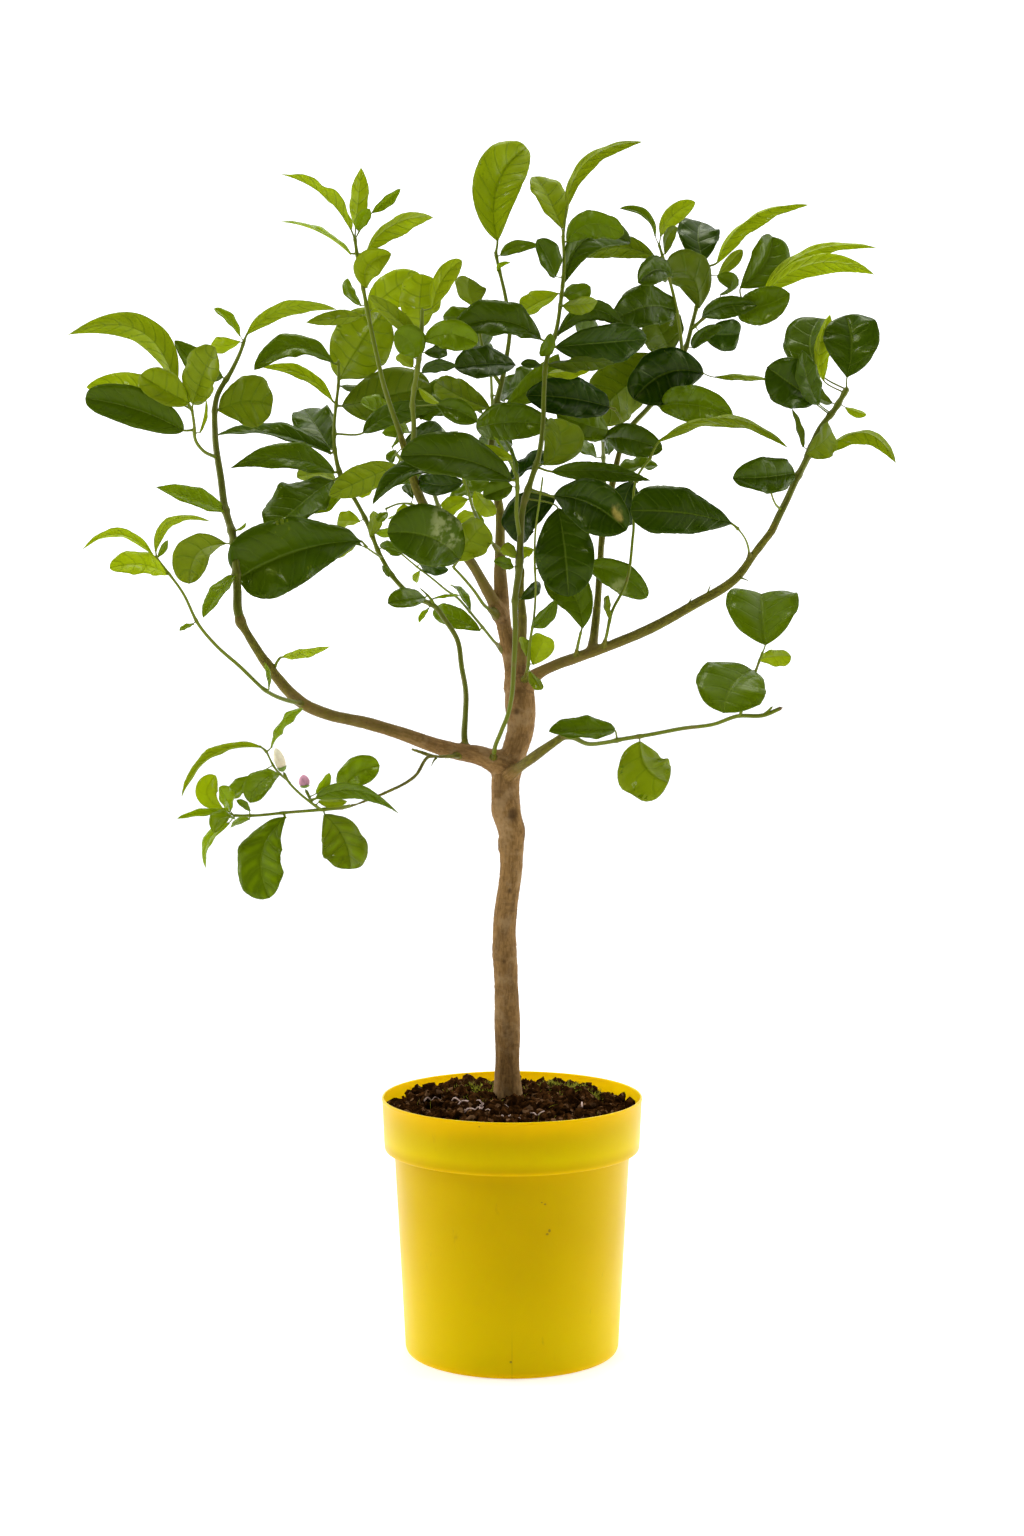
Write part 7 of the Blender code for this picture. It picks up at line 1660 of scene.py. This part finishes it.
class CITRON_OT_wood(bpy.types.Operator):
    """Make the trunk and limbs with their thorns"""
    bl_idname = "citron.wood"
    bl_label = "Trunk and limbs"

    def execute(self, context):
        wood_piece(context.scene.citron_bark)
        thorn_piece(stem_finish(context.scene.citron_leaf))
        return {"FINISHED"}


class CITRON_OT_shoots(bpy.types.Operator):
    """Make every leafy shoot"""
    bl_idname = "citron.shoots"
    bl_label = "Leafy shoots"

    def execute(self, context):
        settings = context.scene.citron_leaf
        finishes = [leaf_finish(settings), stem_finish(settings)]
        for name, stems, leaves in all_shoots():
            shoot_piece(name, stems, leaves, finishes)
        return {"FINISHED"}


class CITRON_OT_buds(bpy.types.Operator):
    """Make the two flower buds"""
    bl_idname = "citron.buds"
    bl_label = "Flower buds"

    def execute(self, context):
        settings = context.scene.citron_bud
        cup = plant_finish("bud_cup", [c * 0.6 for c in settings.cup_colour], settings.cup_colour, 0.5, 300.0)
        for name, bud, colour in (("bud_cream", CREAM_BUD, settings.cream_colour),
                                  ("bud_pink", PINK_BUD, settings.pink_colour)):
            petals = plant_finish(name + "_skin", [c * 0.72 for c in colour], colour, 0.45, 250.0)
            bud_piece(name, bud, petals, cup)
        return {"FINISHED"}


class CITRON_OT_stage(bpy.types.Operator):
    """Make the pale floor, the soft light and the camera"""
    bl_idname = "citron.stage"
    bl_label = "Studio"

    def execute(self, context):
        settings = context.scene.citron_stage
        scene = context.scene
        half = settings.floor_size / 2.0
        skin = Skin()
        corners = [(-half, -half, 0.0), (half, -half, 0.0), (half, half, 0.0), (-half, half, 0.0)]
        skin.add(np.array(corners), [(0, 1, 2, 3)])
        paper = Finish("studio_paper")
        shade = paper.between(paper.noise(3.0), 0.3, 0.7)
        colour = paper.mix(shade, settings.floor_colour, [c * 0.985 for c in settings.floor_colour])
        paper.set(Base_Color=colour, Roughness=0.9, Specular_IOR_Level=0.1, Emission_Color=(1.0, 1.0, 1.0),
                  Emission_Strength=settings.floor_glow)
        skin.make("floor", [paper.material])
        world = bpy.data.worlds.new("studio")
        world.use_nodes = True
        nodes, links = world.node_tree.nodes, world.node_tree.links
        split, ramp = nodes.new("ShaderNodeSeparateXYZ"), nodes.new("ShaderNodeMapRange")
        ramp.interpolation_type = "SMOOTHSTEP"
        for socket, value in zip(ramp.inputs[1:5], (-0.6, 0.3, settings.front, settings.back)):
            socket.default_value = value
        links.new(nodes.new("ShaderNodeTexCoord").outputs["Generated"], split.inputs[0])
        links.new(split.outputs["Y"], ramp.inputs[0])
        # The backdrop itself is pale all round; only the light that it casts is softer from the front.
        shown = nodes.new("ShaderNodeMix")
        links.new(nodes.new("ShaderNodeLightPath").outputs["Is Camera Ray"], shown.inputs[0])
        links.new(ramp.outputs[0], shown.inputs[2])
        shown.inputs[3].default_value = settings.back
        links.new(shown.outputs[0], nodes["Background"].inputs["Strength"])
        nodes["Background"].inputs["Color"].default_value = (1.0, 1.0, 1.0, 1.0)
        scene.world = world
        for name, where, aim, size, share in LAMPS:
            lamp = bpy.data.lights.new(name, "AREA")
            lamp.shape, lamp.size, lamp.energy = "SQUARE", size, settings.key * share
            holder = link_object(name, lamp)
            holder.location = where
            back = np.array(where) - np.array(aim)
            holder.rotation_euler = (math.acos(back[2] / np.linalg.norm(back)), 0.0,
                                     math.atan2(back[0], -back[1]))
        camera = bpy.data.cameras.new("camera")
        camera.lens, camera.sensor_width = LENS, SENSOR_WIDTH
        camera.dof.use_dof = False
        eye = link_object("camera", camera)
        eye.location = EYE
        eye.rotation_euler = (math.pi / 2.0 - VIEW_PITCH, 0.0, 0.0)
        scene.camera = eye
        scene.view_settings.view_transform = "Standard"
        return {"FINISHED"}


class CITRON_PT_panel(bpy.types.Panel):
    """Lists the pieces of the tree and their settings"""
    bl_idname = "CITRON_PT_panel"
    bl_label = "Potted citron tree"
    bl_space_type = "VIEW_3D"
    bl_region_type = "UI"
    bl_category = "Citron"

    def draw(self, context):
        for operator, group in PANEL_ROWS:
            box = self.layout.box()
            box.operator(operator)
            settings = getattr(context.scene, group)
            for key in settings.bl_rna.properties.keys():
                if key not in ("rna_type", "name"):
                    box.prop(settings, key)


GROUPS = {"citron_pot": PotSettings, "citron_soil": SoilSettings, "citron_bark": BarkSettings,
          "citron_leaf": LeafSettings, "citron_bud": BudSettings, "citron_stage": StageSettings}
PANEL_ROWS = (("citron.pot", "citron_pot"), ("citron.soil", "citron_soil"), ("citron.wood", "citron_bark"),
              ("citron.shoots", "citron_leaf"), ("citron.buds", "citron_bud"), ("citron.stage", "citron_stage"))
LISTED = (CITRON_OT_pot, CITRON_OT_soil, CITRON_OT_wood, CITRON_OT_shoots, CITRON_OT_buds, CITRON_OT_stage,
          CITRON_PT_panel)


def register():
    """Makes the settings, operators and panel known to Blender."""
    for name, group in GROUPS.items():
        bpy.utils.register_class(group)
        setattr(bpy.types.Scene, name, bpy.props.PointerProperty(type=group))
    for made in LISTED:
        bpy.utils.register_class(made)


def unregister():
    """Takes the settings, operators and panel out of Blender."""
    for made in reversed(LISTED):
        bpy.utils.unregister_class(made)
    for name, group in GROUPS.items():
        delattr(bpy.types.Scene, name)
        bpy.utils.unregister_class(group)


def main():
    """Makes every piece and the studio."""
    for old in [made for made in bpy.data.objects if made.type in ("LIGHT", "CAMERA")]:
        bpy.data.objects.remove(old, do_unlink=True)
    register()
    bpy.ops.citron.stage()
    bpy.ops.citron.pot()
    bpy.ops.citron.soil()
    bpy.ops.citron.wood()
    bpy.ops.citron.shoots()
    bpy.ops.citron.buds()


if __name__ == "__main__":
    main()
